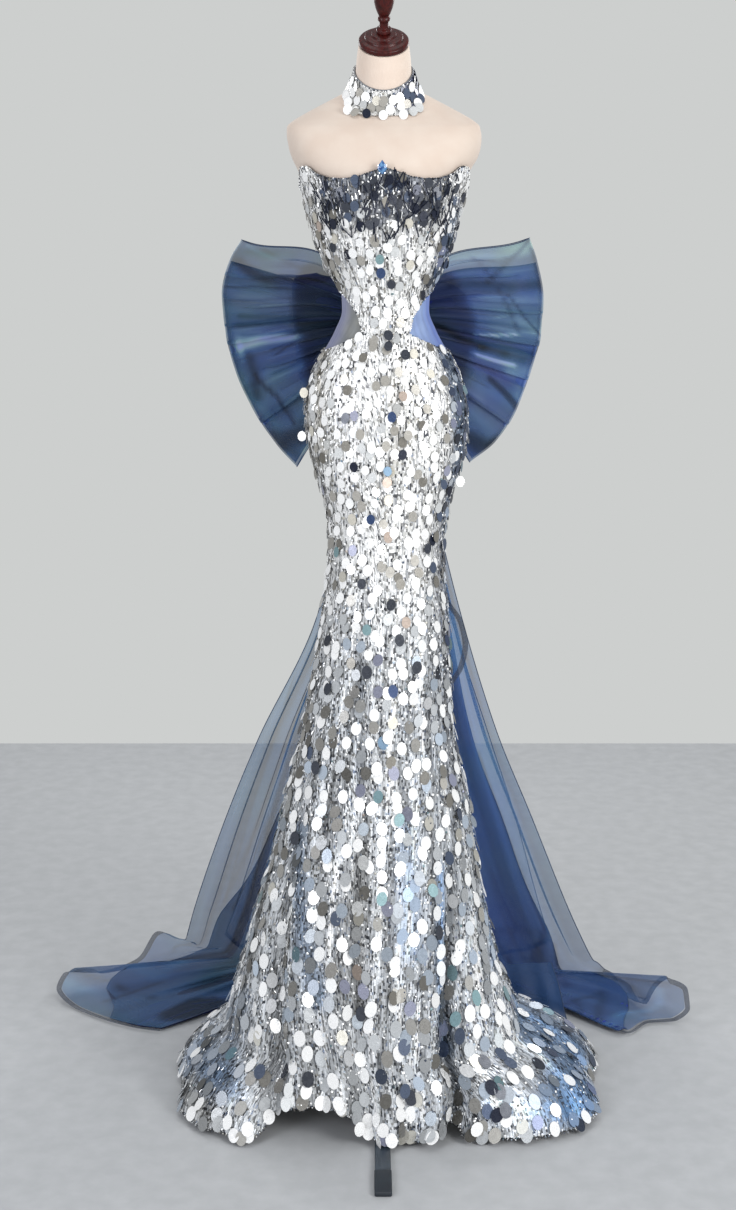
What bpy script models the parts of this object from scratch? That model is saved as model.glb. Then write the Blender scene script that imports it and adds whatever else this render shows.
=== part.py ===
"""Strapless evening gown with a bow and trailing tails, on a limbless dress form with its stand.

Units are metres, +Z is up and the gown faces -Y. Everything is first laid out about the form's
upright axis (x = 0, y = 0) and then moved so that the middle of its bounding box stands at the origin.
A bearing is an angle round the body: 0 at the centre front (-Y), +90 degrees at +X, 180 at the back.
"""
import math

import bpy
import numpy as np
from mathutils import Matrix, Vector

# ------------------------------------------------------------------ driving dimensions
SEAM_GAP = 0.0003          # clearance between pieces that meet
GOWN_WALL = 0.0020         # sequinned cloth with its backing
MESH_WALL = 0.0010         # stretch mesh of the waist insets and the zip tape
ORGANZA_WALL = 0.0012      # organza of the bow and tails
BRAID_WIDTH = 0.010        # stiff braid along the hems of the tails
BRAID_WALL = 0.0020
FORM_EASE = 0.0070         # from the gown's outer face in to the form

TUCK_EASE = 0.0010         # extra depth of what is tucked under a panel
FORM_BASE = 0.800          # flat underside of the form's torso
KNEE_FLARE = 0.450         # height below which the fold lines stop spreading
HEM_CLEARANCE = 0.014      # lowest edge of the hem above the floor
ZIP_END = 1.165            # lower end of the centre back zip
ZIP_SLOT = 0.0040          # width of the slot between the back edges along the zip

FRONT_SEAM_LEFT = -52.0    # bearings of the skirt's long seams, degrees
FRONT_SEAM_RIGHT = 46.0
BACK_SEAM = 112.0
BODICE_SIDE_SEAM = 88.0
BRIDGE_HALF = 26.0         # half the bearing covered by the strip between the two waist cut-outs

NECK_TILT = 34.0           # forward tilt of the neck's top, the cap and the finial, degrees
CHOKER_LOW = 1.7235        # section heights of the choker's edges at the sides of the neck
CHOKER_HIGH = 1.7550
CHOKER_FRONT_DROP = 0.0235  # how much lower its foot lies at the centre front
CHOKER_WALL = 0.0020
CHOKER_EASE = 0.0010

SLIDER_HALF = 0.0040       # half the height of the zip slider's body
SLIDER_BACK = 0.0010       # how far its body stands out of the gown's face
SLIDER_DEPTH = 0.0020      # how far it reaches in between the edges of the slot
SLIDER_CHEEK = 0.0007      # thickness of the two cheeks that hold the pin
SLIDER_SEAT = 0.0005       # how far the cheeks' inner corners stand off the body and the pin
SLIDER_BELOW_TOP = 0.009   # from the tape's upper end down to the slider's middle
PIN_HALF = 0.0005          # half the thickness of its pin, whose middle is PIN_OUT out and PIN_UP up
PIN_OUT = 0.0029
PIN_UP = 0.0025
TAB_EYE_OUTER = 0.0015     # rolled eye of the pull tab round the pin
TAB_EYE_INNER = 0.0010
TAB_LENGTH = 0.0180        # from the pin to its lower edge
TAB_WIDTH = 0.0044
TAB_THICKNESS = 0.0010

POLE_RADIUS = 0.0125
HUB_RADIUS = 0.045
HUB_HEIGHT = 0.020
LEG_REACH = 0.336
LEG_WIDTH = 0.026
LEG_HEIGHT = 0.008
LEG_BEARINGS = (0.0, 120.0, 240.0)

JEWEL_BEARING = -1.5       # the stone sits a little off the centre front
JEWEL_SEAT = 0.003         # how far the stone's middle lies below the neckline's edge
KNOT_CENTRE = (0.0, 0.0995, 1.362)
KNOT_HALF_SIZE = (0.030, 0.0265, 0.043)
KNOT_WAIST = 0.56          # size of the knot's two ends against its middle
KNOT_CREASE = 0.045        # depth of its creases against its size
LOOP_START = 0.0012        # clearance between the knot's side and the loops
LOOP_GATHER_HALF = 0.034   # half the height of the gathered cloth at the knot
LOOP_LAYER = 0.0065        # half the distance between a loop's two layers at the knot
LOOP_SPREAD = 0.040        # half the distance between them where the loop stands open
LOOP_GATHERS = 0.0055      # depth of the gathers beside the knot
LOOP_PLEATS = 0.0085       # depth of the pleats that run out along the loop
INSET_TUCK = 0.006         # how far the waist mesh runs under the edges around it
CLASP_WALL = 0.0015

# ------------------------------------------------------------------ tables
# Outer face of the gown. Each section is a rounded oval: its centre, its half-width, how far it
# reaches to the front and to the back, and its squareness (2 is an ellipse).
GOWN_COLUMNS = ("height", "centre_x", "centre_y", "half_width", "front", "back", "squareness")
GOWN_SECTIONS = (
    (1.660, 0.003, 0.003, 0.1600, 0.0850, 0.0770, 2.60),
    (1.630, 0.003, 0.001, 0.1560, 0.0960, 0.0800, 2.45),
    (1.605, 0.001, 0.000, 0.1445, 0.1040, 0.0830, 2.30),
    (1.577, 0.001, 0.000, 0.1325, 0.1090, 0.0840, 2.15),
    (1.540, 0.001, 0.000, 0.1220, 0.1050, 0.0810, 2.10),
    (1.490, 0.002, 0.000, 0.1078, 0.0930, 0.0750, 2.10),
    (1.450, 0.003, 0.000, 0.0905, 0.0800, 0.0690, 2.05),
    (1.415, 0.004, 0.000, 0.0740, 0.0700, 0.0640, 2.00),
    (1.385, 0.004, 0.000, 0.0728, 0.0670, 0.0620, 2.00),
    (1.355, 0.004, 0.000, 0.0835, 0.0700, 0.0660, 2.00),
    (1.315, 0.004, 0.000, 0.1050, 0.0790, 0.0780, 2.00),
    (1.275, 0.005, 0.000, 0.1225, 0.0870, 0.0920, 2.05),
    (1.215, 0.006, 0.000, 0.1325, 0.0930, 0.1040, 2.10),
    (1.165, 0.007, 0.000, 0.1275, 0.0930, 0.1050, 2.10),
    (1.110, 0.007, 0.000, 0.1130, 0.0900, 0.0980, 2.10),
    (1.060, 0.007, 0.000, 0.0995, 0.0860, 0.0910, 2.10),
    (1.005, 0.006, 0.000, 0.0952, 0.0830, 0.0880, 2.10),
    (0.950, 0.005, 0.000, 0.0985, 0.0840, 0.0900, 2.10),
    (0.890, 0.004, 0.000, 0.1045, 0.0870, 0.0950, 2.10),
    (0.790, -0.001, 0.000, 0.1150, 0.0950, 0.1060, 2.10),
    (0.680, -0.008, 0.000, 0.1290, 0.1060, 0.1230, 2.10),
    (0.560, -0.010, 0.000, 0.1570, 0.1210, 0.1500, 2.10),
    (0.445, -0.015, 0.000, 0.1785, 0.1370, 0.1790, 2.10),
    (0.325, -0.020, 0.002, 0.2070, 0.1560, 0.2120, 2.10),
    (0.240, -0.020, 0.006, 0.2275, 0.1720, 0.2340, 2.10),
    (0.175, -0.016, 0.014, 0.2490, 0.1900, 0.2450, 2.10),
    (0.138, -0.012, 0.022, 0.2620, 0.2000, 0.2500, 2.10),
    (0.105, -0.002, 0.034, 0.3000, 0.2140, 0.2600, 2.30),
    (0.045, 0.009, 0.050, 0.3560, 0.2380, 0.2760, 2.95),
    (0.000, 0.013, 0.058, 0.3780, 0.2490, 0.2900, 3.60),
)

# Bearings of the same fold line at the knee and at the hem: at the front they fall straight down.
FALL_COLUMNS = ("knee_bearing", "hem_bearing")
FALL_LINES = (
    (-180.0, -180.0),
    (-150.0, -145.0),
    (-120.0, -108.0),
    (-90.0, -68.0),
    (-72.0, -44.0),
    (-52.0, -28.8),
    (-28.0, -16.8),
    (-8.0, -6.8),
    (10.0, 1.5),
    (25.0, 6.8),
    (46.0, 14.4),
    (73.0, 37.0),
    (90.0, 62.0),
    (120.0, 104.0),
    (150.0, 143.0),
    (180.0, 180.0),
)

# Folds of the flared skirt: bearing at the knee, depth at the hem (minus sinks in, plus stands out),
# half-width in bearing, and the height at which the fold begins.
FOLD_COLUMNS = ("bearing", "depth", "half_width", "start")
SKIRT_FOLDS = (
    (-166.0, -0.022, 7.0, 0.80),
    (-148.0, 0.016, 8.0, 0.70),
    (-131.0, -0.026, 7.0, 0.78),
    (-112.0, 0.012, 8.0, 0.66),
    (-94.0, -0.006, 6.5, 0.72),
    (-76.0, 0.004, 7.0, 0.60),
    (-61.0, 0.008, 5.0, 0.48),
    (-50.0, -0.026, 5.0, 0.66),
    (-37.0, 0.012, 5.0, 0.62),
    (-26.0, -0.010, 4.5, 0.58),
    (-16.0, 0.009, 4.5, 0.56),
    (-5.0, -0.014, 4.5, 0.70),
    (7.0, 0.007, 5.5, 0.60),
    (19.0, -0.009, 4.5, 0.52),
    (32.0, 0.006, 5.5, 0.62),
    (46.0, -0.045, 5.5, 0.56),
    (57.0, -0.014, 5.0, 0.52),
    (71.0, 0.002, 5.5, 0.50),
    (87.0, 0.006, 7.0, 0.60),
    (104.0, -0.010, 7.0, 0.74),
    (121.0, 0.014, 8.0, 0.66),
    (139.0, -0.026, 7.0, 0.78),
    (157.0, 0.016, 8.0, 0.68),
    (174.0, -0.018, 6.0, 0.82),
)

# Soft fullness of the bust: bearing, height, rise, half-width in bearing, half-height.
BUST_COLUMNS = ("bearing", "height", "rise", "half_width", "half_height")
BUST_SHAPE = (
    (-31.0, 1.556, 0.0055, 19.0, 0.046),
    (31.0, 1.556, 0.0055, 19.0, 0.046),
)

# Where the hem lifts off its level, as flat-topped humps over the bearing at the knee.
LIFT_COLUMNS = ("bearing", "lift", "half_width")
HEM_LIFTS = (
    (-30.5, 0.058, 22.0),
    (34.0, 0.010, 9.0),
    (46.0, 0.016, 5.0),
    (139.0, 0.012, 9.0),
    (-131.0, 0.012, 9.0),
)

# Edges of the bodice and of the skirt's top over the bearing (alike on both sides of the body).
EDGE_COLUMNS = ("bearing", "neckline", "bodice_low", "skirt_top")
EDGE_HEIGHTS = (
    (0.0, 1.6075, 1.3520, 1.3517),
    (8.0, 1.6010, 1.3520, 1.3517),
    (17.0, 1.5935, 1.3520, 1.3517),
    (26.0, 1.5905, 1.3520, 1.3517),
    (36.0, 1.5915, 1.3765, 1.3435),
    (46.0, 1.5985, 1.3915, 1.3365),
    (51.5, 1.6100, 1.3985, 1.3330),
    (60.0, 1.6085, 1.4062, 1.3280),
    (72.0, 1.5900, 1.4125, 1.3230),
    (90.0, 1.5750, 1.4160, 1.3200),
    (110.0, 1.5620, 1.4110, 1.3240),
    (130.0, 1.5500, 1.3980, 1.3330),
    (144.0, 1.5440, 1.3765, 1.3435),
    (154.0, 1.5410, 1.3520, 1.3517),
    (180.0, 1.5380, 1.3520, 1.3517),
)

# Shoulders and neck of the form, above the part that the gown hugs.
FORM_COLUMNS = ("height", "centre_x", "centre_y", "half_width", "front", "back", "squareness", "tilt")
FORM_UPPER = (
    (1.605, 0.001, 0.000, 0.1370, 0.0970, 0.0760, 2.35, 0.0),
    (1.622, 0.002, 0.001, 0.1465, 0.0910, 0.0745, 2.50, 0.0),
    (1.640, 0.002, 0.003, 0.1520, 0.0825, 0.0715, 2.70, 0.0),
    (1.658, 0.001, 0.006, 0.1540, 0.0735, 0.0670, 2.80, 1.0),
    (1.672, 0.000, 0.009, 0.1525, 0.0650, 0.0620, 2.70, 3.0),
    (1.681, 0.000, 0.011, 0.1430, 0.0600, 0.0590, 2.50, 6.0),
    (1.690, 0.000, 0.013, 0.1270, 0.0565, 0.0560, 2.35, 10.0),
    (1.700, 0.000, 0.015, 0.1060, 0.0540, 0.0540, 2.20, 16.0),
    (1.710, 0.000, 0.016, 0.0830, 0.0520, 0.0520, 2.10, 22.0),
    (1.7205, 0.000, 0.015, 0.0580, 0.0500, 0.0500, 2.00, 28.0),
    (1.735, 0.000, 0.010, 0.0480, 0.0465, 0.0465, 2.00, 32.0),
    (1.752, 0.000, 0.003, 0.0443, 0.0440, 0.0440, 2.00, 34.0),
    (1.772, 0.000, -0.007, 0.0425, 0.0420, 0.0420, 2.00, 34.0),
    (1.794, 0.000, -0.018, 0.0392, 0.0392, 0.0392, 2.00, NECK_TILT),
)

# Levels at which the form follows the gown's own sections, from its base to the bust.
FORM_LEVELS = (FORM_BASE, FORM_BASE + 0.004, 0.84, 0.95, 1.03, 1.10, 1.165, 1.225, 1.290, 1.335,
               1.365, 1.390, 1.420, 1.460, 1.510, 1.577)

# Turned profiles, radius against height above the foot of each piece.
CAP_PROFILE = (
    (0.0100, 0.0205), (0.0185, 0.0190), (0.0200, 0.0160), (0.0285, 0.0145), (0.0305, 0.0115),
    (0.0365, 0.0095), (0.0393, 0.0065), (0.0393, 0.0025), (0.0375, 0.0000),
)
FINIAL_PROFILE = (
    (0.0040, 0.0980), (0.0068, 0.0945), (0.0075, 0.0900), (0.0052, 0.0850), (0.0078, 0.0815),
    (0.0130, 0.0740), (0.0158, 0.0640), (0.0160, 0.0560), (0.0140, 0.0440), (0.0108, 0.0340),
    (0.0082, 0.0270), (0.0098, 0.0240), (0.0096, 0.0210), (0.0072, 0.0180), (0.0074, 0.0090),
    (0.0115, 0.0060), (0.0118, 0.0020), (0.0105, 0.0000),
)

# The stone at the neckline: its kite-shaped outline (across, up), and its layers (out from the face,
# scale of the outline).
JEWEL_OUTLINE = ((0.0, 0.0115), (0.0062, 0.0030), (0.0072, -0.0020), (0.0040, -0.0078),
                 (0.0, -0.0100), (-0.0040, -0.0078), (-0.0072, -0.0020), (-0.0062, 0.0030))
JEWEL_LAYERS = ((0.0022, 0.94), (0.0034, 1.00), (0.0058, 0.55))

# Free end of each bow loop from its top corner to its bottom corner: reach from the middle, height,
# how far the cloth between knot and end is lifted, and how far it stands behind the body.
LOOP_COLUMNS = ("across", "reach", "height", "lift", "behind")
LOOP_LEFT = (
    (0.00, 0.238, 1.494, 0.042, 0.150),
    (0.12, 0.258, 1.462, 0.034, 0.158),
    (0.28, 0.274, 1.404, 0.018, 0.166),
    (0.46, 0.269, 1.337, 0.006, 0.172),
    (0.64, 0.252, 1.268, -0.006, 0.172),
    (0.80, 0.220, 1.200, -0.012, 0.168),
    (0.92, 0.182, 1.144, -0.014, 0.162),
    (1.00, 0.148, 1.108, -0.014, 0.156),
)
LOOP_RIGHT = (
    (0.00, 0.248, 1.497, 0.036, 0.150),
    (0.12, 0.262, 1.460, 0.030, 0.158),
    (0.28, 0.275, 1.396, 0.016, 0.166),
    (0.46, 0.272, 1.333, 0.005, 0.172),
    (0.64, 0.256, 1.271, -0.006, 0.172),
    (0.80, 0.232, 1.205, -0.012, 0.168),
    (0.92, 0.196, 1.150, -0.014, 0.162),
    (1.00, 0.152, 1.116, -0.014, 0.156),
)

# A tail is a fan of cloth from the knot to the floor. Each row crosses it from its far edge to its
# near edge at one distance down; the last part runs out to the hem line in the next table.
TAIL_COLUMNS = ("far_x", "far_y", "far_z", "near_x", "near_y", "near_z", "fold")
TAIL_LEFT = (
    (-0.0160, 0.1015, 1.3187, -0.0020, 0.1015, 1.3187, 0.0005),
    (-0.0480, 0.1460, 1.2150, -0.0050, 0.1420, 1.2150, 0.0040),
    (-0.0740, 0.1680, 1.0600, -0.0080, 0.1540, 1.0600, 0.0070),
    (-0.1100, 0.2180, 0.8500, -0.0120, 0.1680, 0.8500, 0.0100),
    (-0.2360, 0.3600, 0.5500, -0.0250, 0.2250, 0.5500, 0.0150),
    (-0.3060, 0.4550, 0.3650, -0.0400, 0.2850, 0.3650, 0.0150),
    (-0.3840, 0.5600, 0.1300, -0.0800, 0.3700, 0.1300, 0.0110),
    (-0.4100, 0.5900, 0.0400, -0.1600, 0.4100, 0.0260, 0.0050),
)
TAIL_RIGHT = (
    (0.0160, 0.1015, 1.3187, 0.0020, 0.1015, 1.3187, 0.0005),
    (0.0500, 0.1460, 1.2150, 0.0050, 0.1420, 1.2150, 0.0040),
    (0.0860, 0.1700, 1.0600, 0.0080, 0.1540, 1.0600, 0.0070),
    (0.1380, 0.2050, 0.8500, 0.0120, 0.1680, 0.8500, 0.0100),
    (0.2160, 0.3000, 0.5900, 0.0250, 0.2250, 0.5600, 0.0150),
    (0.2900, 0.3700, 0.4000, 0.0400, 0.2850, 0.3700, 0.0150),
    (0.3960, 0.4550, 0.1300, 0.0800, 0.3700, 0.1300, 0.0110),
    (0.4380, 0.4800, 0.0420, 0.1600, 0.4100, 0.0260, 0.0050),
)
HEM_COLUMNS = ("across", "x", "y", "z")
HEM_LEFT = (
    (0.00, -0.430, 0.610, 0.034),
    (0.10, -0.470, 0.585, 0.060),
    (0.22, -0.500, 0.505, 0.036),
    (0.36, -0.575, 0.455, 0.028),
    (0.46, -0.638, 0.435, 0.024),
    (0.54, -0.648, 0.392, 0.014),
    (0.64, -0.600, 0.335, 0.005),
    (0.78, -0.505, 0.268, 0.005),
    (0.90, -0.458, 0.248, 0.005),
    (1.00, -0.425, 0.240, 0.005),
)
HEM_RIGHT = (
    (0.00, 0.462, 0.486, 0.030),
    (0.14, 0.500, 0.462, 0.026),
    (0.28, 0.545, 0.425, 0.022),
    (0.42, 0.598, 0.430, 0.030),
    (0.52, 0.625, 0.380, 0.020),
    (0.62, 0.612, 0.325, 0.005),
    (0.76, 0.560, 0.287, 0.005),
    (0.88, 0.522, 0.270, 0.005),
    (1.00, 0.488, 0.260, 0.005),
)

# A narrower second layer hangs behind each tail and ends on the floor behind it.
UNDER_LEFT = (
    (-0.0130, 0.1075, 1.3187, -0.0020, 0.1075, 1.3187, 0.0005),
    (-0.0340, 0.1640, 1.2150, -0.0060, 0.1600, 1.2150, 0.0030),
    (-0.0560, 0.1960, 1.0600, -0.0100, 0.1800, 1.0600, 0.0040),
    (-0.0850, 0.2480, 0.8500, -0.0140, 0.2060, 0.8500, 0.0060),
    (-0.1720, 0.3720, 0.5500, -0.0280, 0.2750, 0.5500, 0.0080),
    (-0.2300, 0.4600, 0.3650, -0.0420, 0.3400, 0.3650, 0.0080),
    (-0.3050, 0.5850, 0.1100, -0.0820, 0.4400, 0.1100, 0.0060),
)
UNDER_RIGHT = (
    (0.0130, 0.1075, 1.3187, 0.0020, 0.1075, 1.3187, 0.0005),
    (0.0380, 0.1640, 1.2150, 0.0060, 0.1600, 1.2150, 0.0030),
    (0.0700, 0.1960, 1.0600, 0.0100, 0.1800, 1.0600, 0.0040),
    (0.1180, 0.2460, 0.8500, 0.0140, 0.2060, 0.8500, 0.0060),
    (0.2100, 0.3800, 0.5500, 0.0280, 0.2750, 0.5500, 0.0080),
    (0.2680, 0.4650, 0.3650, 0.0420, 0.3400, 0.3650, 0.0080),
    (0.3320, 0.5650, 0.1300, 0.0820, 0.4400, 0.1100, 0.0060),
)
HEM_UNDER_LEFT = (
    (0.00, -0.330, 0.620, 0.040),
    (0.35, -0.290, 0.605, 0.012),
    (0.70, -0.200, 0.560, 0.005),
    (1.00, -0.110, 0.500, 0.005),
)
HEM_UNDER_RIGHT = (
    (0.00, 0.362, 0.598, 0.034),
    (0.35, 0.300, 0.600, 0.010),
    (0.70, 0.205, 0.555, 0.005),
    (1.00, 0.110, 0.500, 0.005),
)

# A short end of the bow hangs behind the right thigh, where its outer edge rolls out in an arc.
SHORT_END = (
    (0.0150, 0.0955, 1.3187, 0.0040, 0.0955, 1.3187, 0.0005),
    (0.0440, 0.1290, 1.2000, 0.0100, 0.1250, 1.2000, 0.0020),
    (0.0640, 0.1420, 1.0600, 0.0140, 0.1320, 1.0600, 0.0030),
    (0.0840, 0.1500, 0.9400, 0.0180, 0.1370, 0.9400, 0.0040),
    (0.1080, 0.1550, 0.8720, 0.0220, 0.1390, 0.8720, 0.0030),
    (0.1350, 0.1600, 0.8280, 0.0250, 0.1410, 0.8280, 0.0030),
    (0.1435, 0.1620, 0.7850, 0.0280, 0.1430, 0.7850, 0.0030),
    (0.1350, 0.1600, 0.7450, 0.0300, 0.1450, 0.7450, 0.0030),
    (0.1170, 0.1560, 0.7180, 0.0320, 0.1460, 0.7220, 0.0020),
)
SHORT_END_ROLL = 0.71      # share of its length at which the edge starts to roll and the braid begins

# Levels of the rows of the skirt and of the zip's tape, closer together where the hips and the
# flounce turn.
ZIP_LEVELS = (1.165, 1.225, 1.290, 1.352, 1.383, 1.414, 1.445, 1.476, 1.507, 1.534)
SKIRT_LEVELS = (0.014, 0.048, 0.082, 0.110, 0.140, 0.190, 0.270, 0.370, 0.480, 0.600, 0.720,
                0.840, 0.950, 1.030, 1.100, 1.165, 1.225, 1.290, 1.352)

MATERIALS = {
    "sequin cloth": ((0.70, 0.70, 0.69, 1.0), 0.35, 0.7),
    "stretch mesh": ((0.30, 0.36, 0.55, 1.0), 0.80, 0.0),
    "blue organza": ((0.05, 0.10, 0.38, 1.0), 0.45, 0.0),
    "navy braid": ((0.01, 0.02, 0.08, 1.0), 0.60, 0.0),
    "ivory jersey": ((0.84, 0.76, 0.66, 1.0), 0.75, 0.0),
    "mahogany": ((0.09, 0.02, 0.015, 1.0), 0.30, 0.0),
    "painted steel": ((0.03, 0.04, 0.05, 1.0), 0.45, 0.0),
    "blue crystal": ((0.10, 0.30, 0.65, 1.0), 0.05, 0.0),
    "zip metal": ((0.60, 0.60, 0.62, 1.0), 0.30, 1.0),
}


# ------------------------------------------------------------------ curves and tables
def column(table, names, name):
    """One named column of a table as an array."""
    return np.array([row[names.index(name)] for row in table], dtype=float)


def follow(knots, values, at):
    """Smooth curve through (knots, values) that never overshoots: a monotone cubic."""
    knots = np.asarray(knots, dtype=float)
    values = np.asarray(values, dtype=float)
    if knots[0] > knots[-1]:
        knots = knots[::-1]
        values = values[::-1]
    at = np.clip(at, knots[0], knots[-1])
    width = np.diff(knots)
    slope = np.diff(values) / width
    tangent = np.empty_like(values)
    tangent[0] = slope[0]
    tangent[-1] = slope[-1]
    before = slope[:-1]
    after = slope[1:]
    same_way = before * after > 0.0
    safe = np.where(same_way, before + after, 1.0)
    tangent[1:-1] = np.where(same_way, 2.0 * before * after / safe, 0.0)
    cell = np.clip(np.searchsorted(knots, at, side="right") - 1, 0, len(knots) - 2)
    t = (at - knots[cell]) / width[cell]
    t2 = t * t
    t3 = t2 * t
    return ((2 * t3 - 3 * t2 + 1) * values[cell] + (t3 - 2 * t2 + t) * width[cell] * tangent[cell]
            + (3 * t2 - 2 * t3) * values[cell + 1] + (t3 - t2) * width[cell] * tangent[cell + 1])


def ease(t):
    """Rises smoothly from 0 to 1 as t does."""
    t = np.clip(t, 0.0, 1.0)
    return t * t * (3.0 - 2.0 * t)


def wrap_degrees(angle):
    """The same angle between -180 and 180 degrees."""
    return (np.asarray(angle) + 180.0) % 360.0 - 180.0


# ------------------------------------------------------------------ shapes worked out from the tables
def oval(angle, half_width, front, back, squareness):
    """Rounded oval round (0, 0): returns x and y at an angle in radians, 0 at the front."""
    sine = np.sin(angle)
    cosine = np.cos(angle)
    size = (np.abs(sine) ** squareness + np.abs(cosine) ** squareness) ** (-1.0 / squareness)
    depth = np.where(cosine > 0.0, front, back)
    return half_width * sine * size, -depth * cosine * size


def fall_bearing(bearing, height):
    """Bearing at this height of the fold line that passes this bearing at the knee."""
    at_hem = follow(column(FALL_LINES, FALL_COLUMNS, "knee_bearing"),
                    column(FALL_LINES, FALL_COLUMNS, "hem_bearing"), wrap_degrees(bearing))
    change = wrap_degrees(at_hem - bearing)
    share = np.clip((KNEE_FLARE - height) / KNEE_FLARE, 0.0, 1.0)
    return bearing + change * share ** 1.45


def fold_depth(bearing, height):
    """How far the skirt's folds move its face out at this bearing and height."""
    total = np.zeros(np.broadcast(bearing, height).shape)
    for centre, depth, half_width, start in SKIRT_FOLDS:
        away = wrap_degrees(bearing - centre) / half_width
        growth = np.clip((start - height) / start, 0.0, 1.0) ** 1.25
        total = total + depth * growth * np.exp(-away * away)
    return total


def bust_rise(bearing, height):
    """How far the cups' fullness moves the bodice's face out."""
    total = np.zeros(np.broadcast(bearing, height).shape)
    for centre, level, rise, half_width, half_height in BUST_SHAPE:
        across = wrap_degrees(bearing - centre) / half_width
        above = (height - level) / half_height
        total = total + rise * np.exp(-across * across - above * above)
    return total


def gown_face(bearing, height):
    """Outer face of the gown at a bearing (degrees, at the knee) and a height."""
    heights = column(GOWN_SECTIONS, GOWN_COLUMNS, "height")
    size = {name: follow(heights, column(GOWN_SECTIONS, GOWN_COLUMNS, name), height)
            for name in GOWN_COLUMNS[1:]}
    angle = np.radians(fall_bearing(bearing, height))
    x, y = oval(angle, size["half_width"], size["front"], size["back"], size["squareness"])
    out_x = np.sin(angle) / size["half_width"]
    out_y = -np.cos(angle) / np.where(np.cos(angle) > 0.0, size["front"], size["back"])
    length = np.hypot(out_x, out_y)
    fold = fold_depth(bearing, height) + bust_rise(bearing, height)
    x = size["centre_x"] + x + fold * out_x / length
    y = size["centre_y"] + y + fold * out_y / length
    return np.stack(np.broadcast_arrays(x, y, height), axis=-1)


def edge_height(bearing, name):
    """Height of a named edge of the bodice or skirt at a bearing, alike on both sides."""
    return np.interp(np.abs(wrap_degrees(bearing)), column(EDGE_HEIGHTS, EDGE_COLUMNS, "bearing"),
                     column(EDGE_HEIGHTS, EDGE_COLUMNS, name))


def hem_height(bearing):
    """Height of the skirt's hem at a bearing."""
    height = np.full(np.shape(bearing), HEM_CLEARANCE)
    for centre, lift, half_width in HEM_LIFTS:
        away = wrap_degrees(bearing - centre) / half_width
        height = height + lift * np.exp(-away ** 6)
    return height


def face_normals(face, across, along):
    """Unit normals of a face, from small steps across (degrees or share) and along it."""
    step = 1e-3
    side = face(across + step, along) - face(across - step, along)
    up = face(across, along + step) - face(across, along - step)
    normal = np.cross(side, up)
    return normal / np.maximum(np.linalg.norm(normal, axis=-1, keepdims=True), 1e-12)


def grid_normals(points):
    """Unit normals of a grid of points (rows up, columns across), from neighbouring points."""
    up = np.gradient(points, axis=0)
    side = np.gradient(points, axis=1)
    normal = np.cross(side, up)
    return normal / np.maximum(np.linalg.norm(normal, axis=-1, keepdims=True), 1e-12)


# ------------------------------------------------------------------ building
def clear_scene():
    """Remove every object of the scene."""
    for item in list(bpy.data.objects):
        bpy.data.objects.remove(item, do_unlink=True)


def finish_object(item, material_name, parts, parent):
    """Give an object its own material, put it in the collection and under the parent."""
    colour, roughness, metallic = MATERIALS[material_name]
    material = bpy.data.materials.new(item.name + " " + material_name)
    material.use_nodes = True
    shader = material.node_tree.nodes["Principled BSDF"]
    shader.inputs["Base Color"].default_value = colour
    shader.inputs["Roughness"].default_value = roughness
    shader.inputs["Metallic"].default_value = metallic
    item.data.materials.clear()
    item.data.materials.append(material)
    for owner in list(item.users_collection):
        owner.objects.unlink(item)
    parts.objects.link(item)
    item.parent = parent
    return item


def object_from(name, points, faces):
    """A smooth-shaded mesh object from points and faces."""
    mesh = bpy.data.meshes.new(name)
    mesh.from_pydata([tuple(point) for point in points], [], faces)
    mesh.update()
    mesh.shade_smooth()
    mesh.set_sharp_from_angle(angle=math.radians(50.0))
    return bpy.data.objects.new(name, mesh)


def wall(name, outer, inner):
    """Closed wall between two grids of points of one size; columns run across, rows run up."""
    rows, columns = outer.shape[:2]
    back = rows * columns

    def at(row, col, skin=0):
        return skin + row * columns + col

    faces = []
    for row in range(rows - 1):
        for col in range(columns - 1):
            faces.append((at(row, col), at(row, col + 1), at(row + 1, col + 1), at(row + 1, col)))
            faces.append((at(row, col, back), at(row + 1, col, back),
                          at(row + 1, col + 1, back), at(row, col + 1, back)))
    last = rows - 1
    for col in range(columns - 1):
        faces.append((at(0, col + 1), at(0, col), at(0, col, back), at(0, col + 1, back)))
        faces.append((at(last, col), at(last, col + 1), at(last, col + 1, back), at(last, col, back)))
    edge = columns - 1
    for row in range(rows - 1):
        faces.append((at(row, 0), at(row + 1, 0), at(row + 1, 0, back), at(row, 0, back)))
        faces.append((at(row + 1, edge), at(row, edge), at(row, edge, back), at(row + 1, edge, back)))
    points = np.concatenate([outer.reshape(-1, 3), inner.reshape(-1, 3)])
    return object_from(name, points, faces)


def ring_solid(name, rings):
    """Closed solid lofted through rings of one size, flat-capped at its first and last ring."""
    rows, columns = rings.shape[:2]
    faces = []
    for row in range(rows - 1):
        for col in range(columns):
            after = (col + 1) % columns
            faces.append((row * columns + col, row * columns + after,
                          (row + 1) * columns + after, (row + 1) * columns + col))
    faces.append(tuple(reversed(range(columns))))
    faces.append(tuple((rows - 1) * columns + col for col in range(columns)))
    return object_from(name, rings.reshape(-1, 3), faces)


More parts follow.
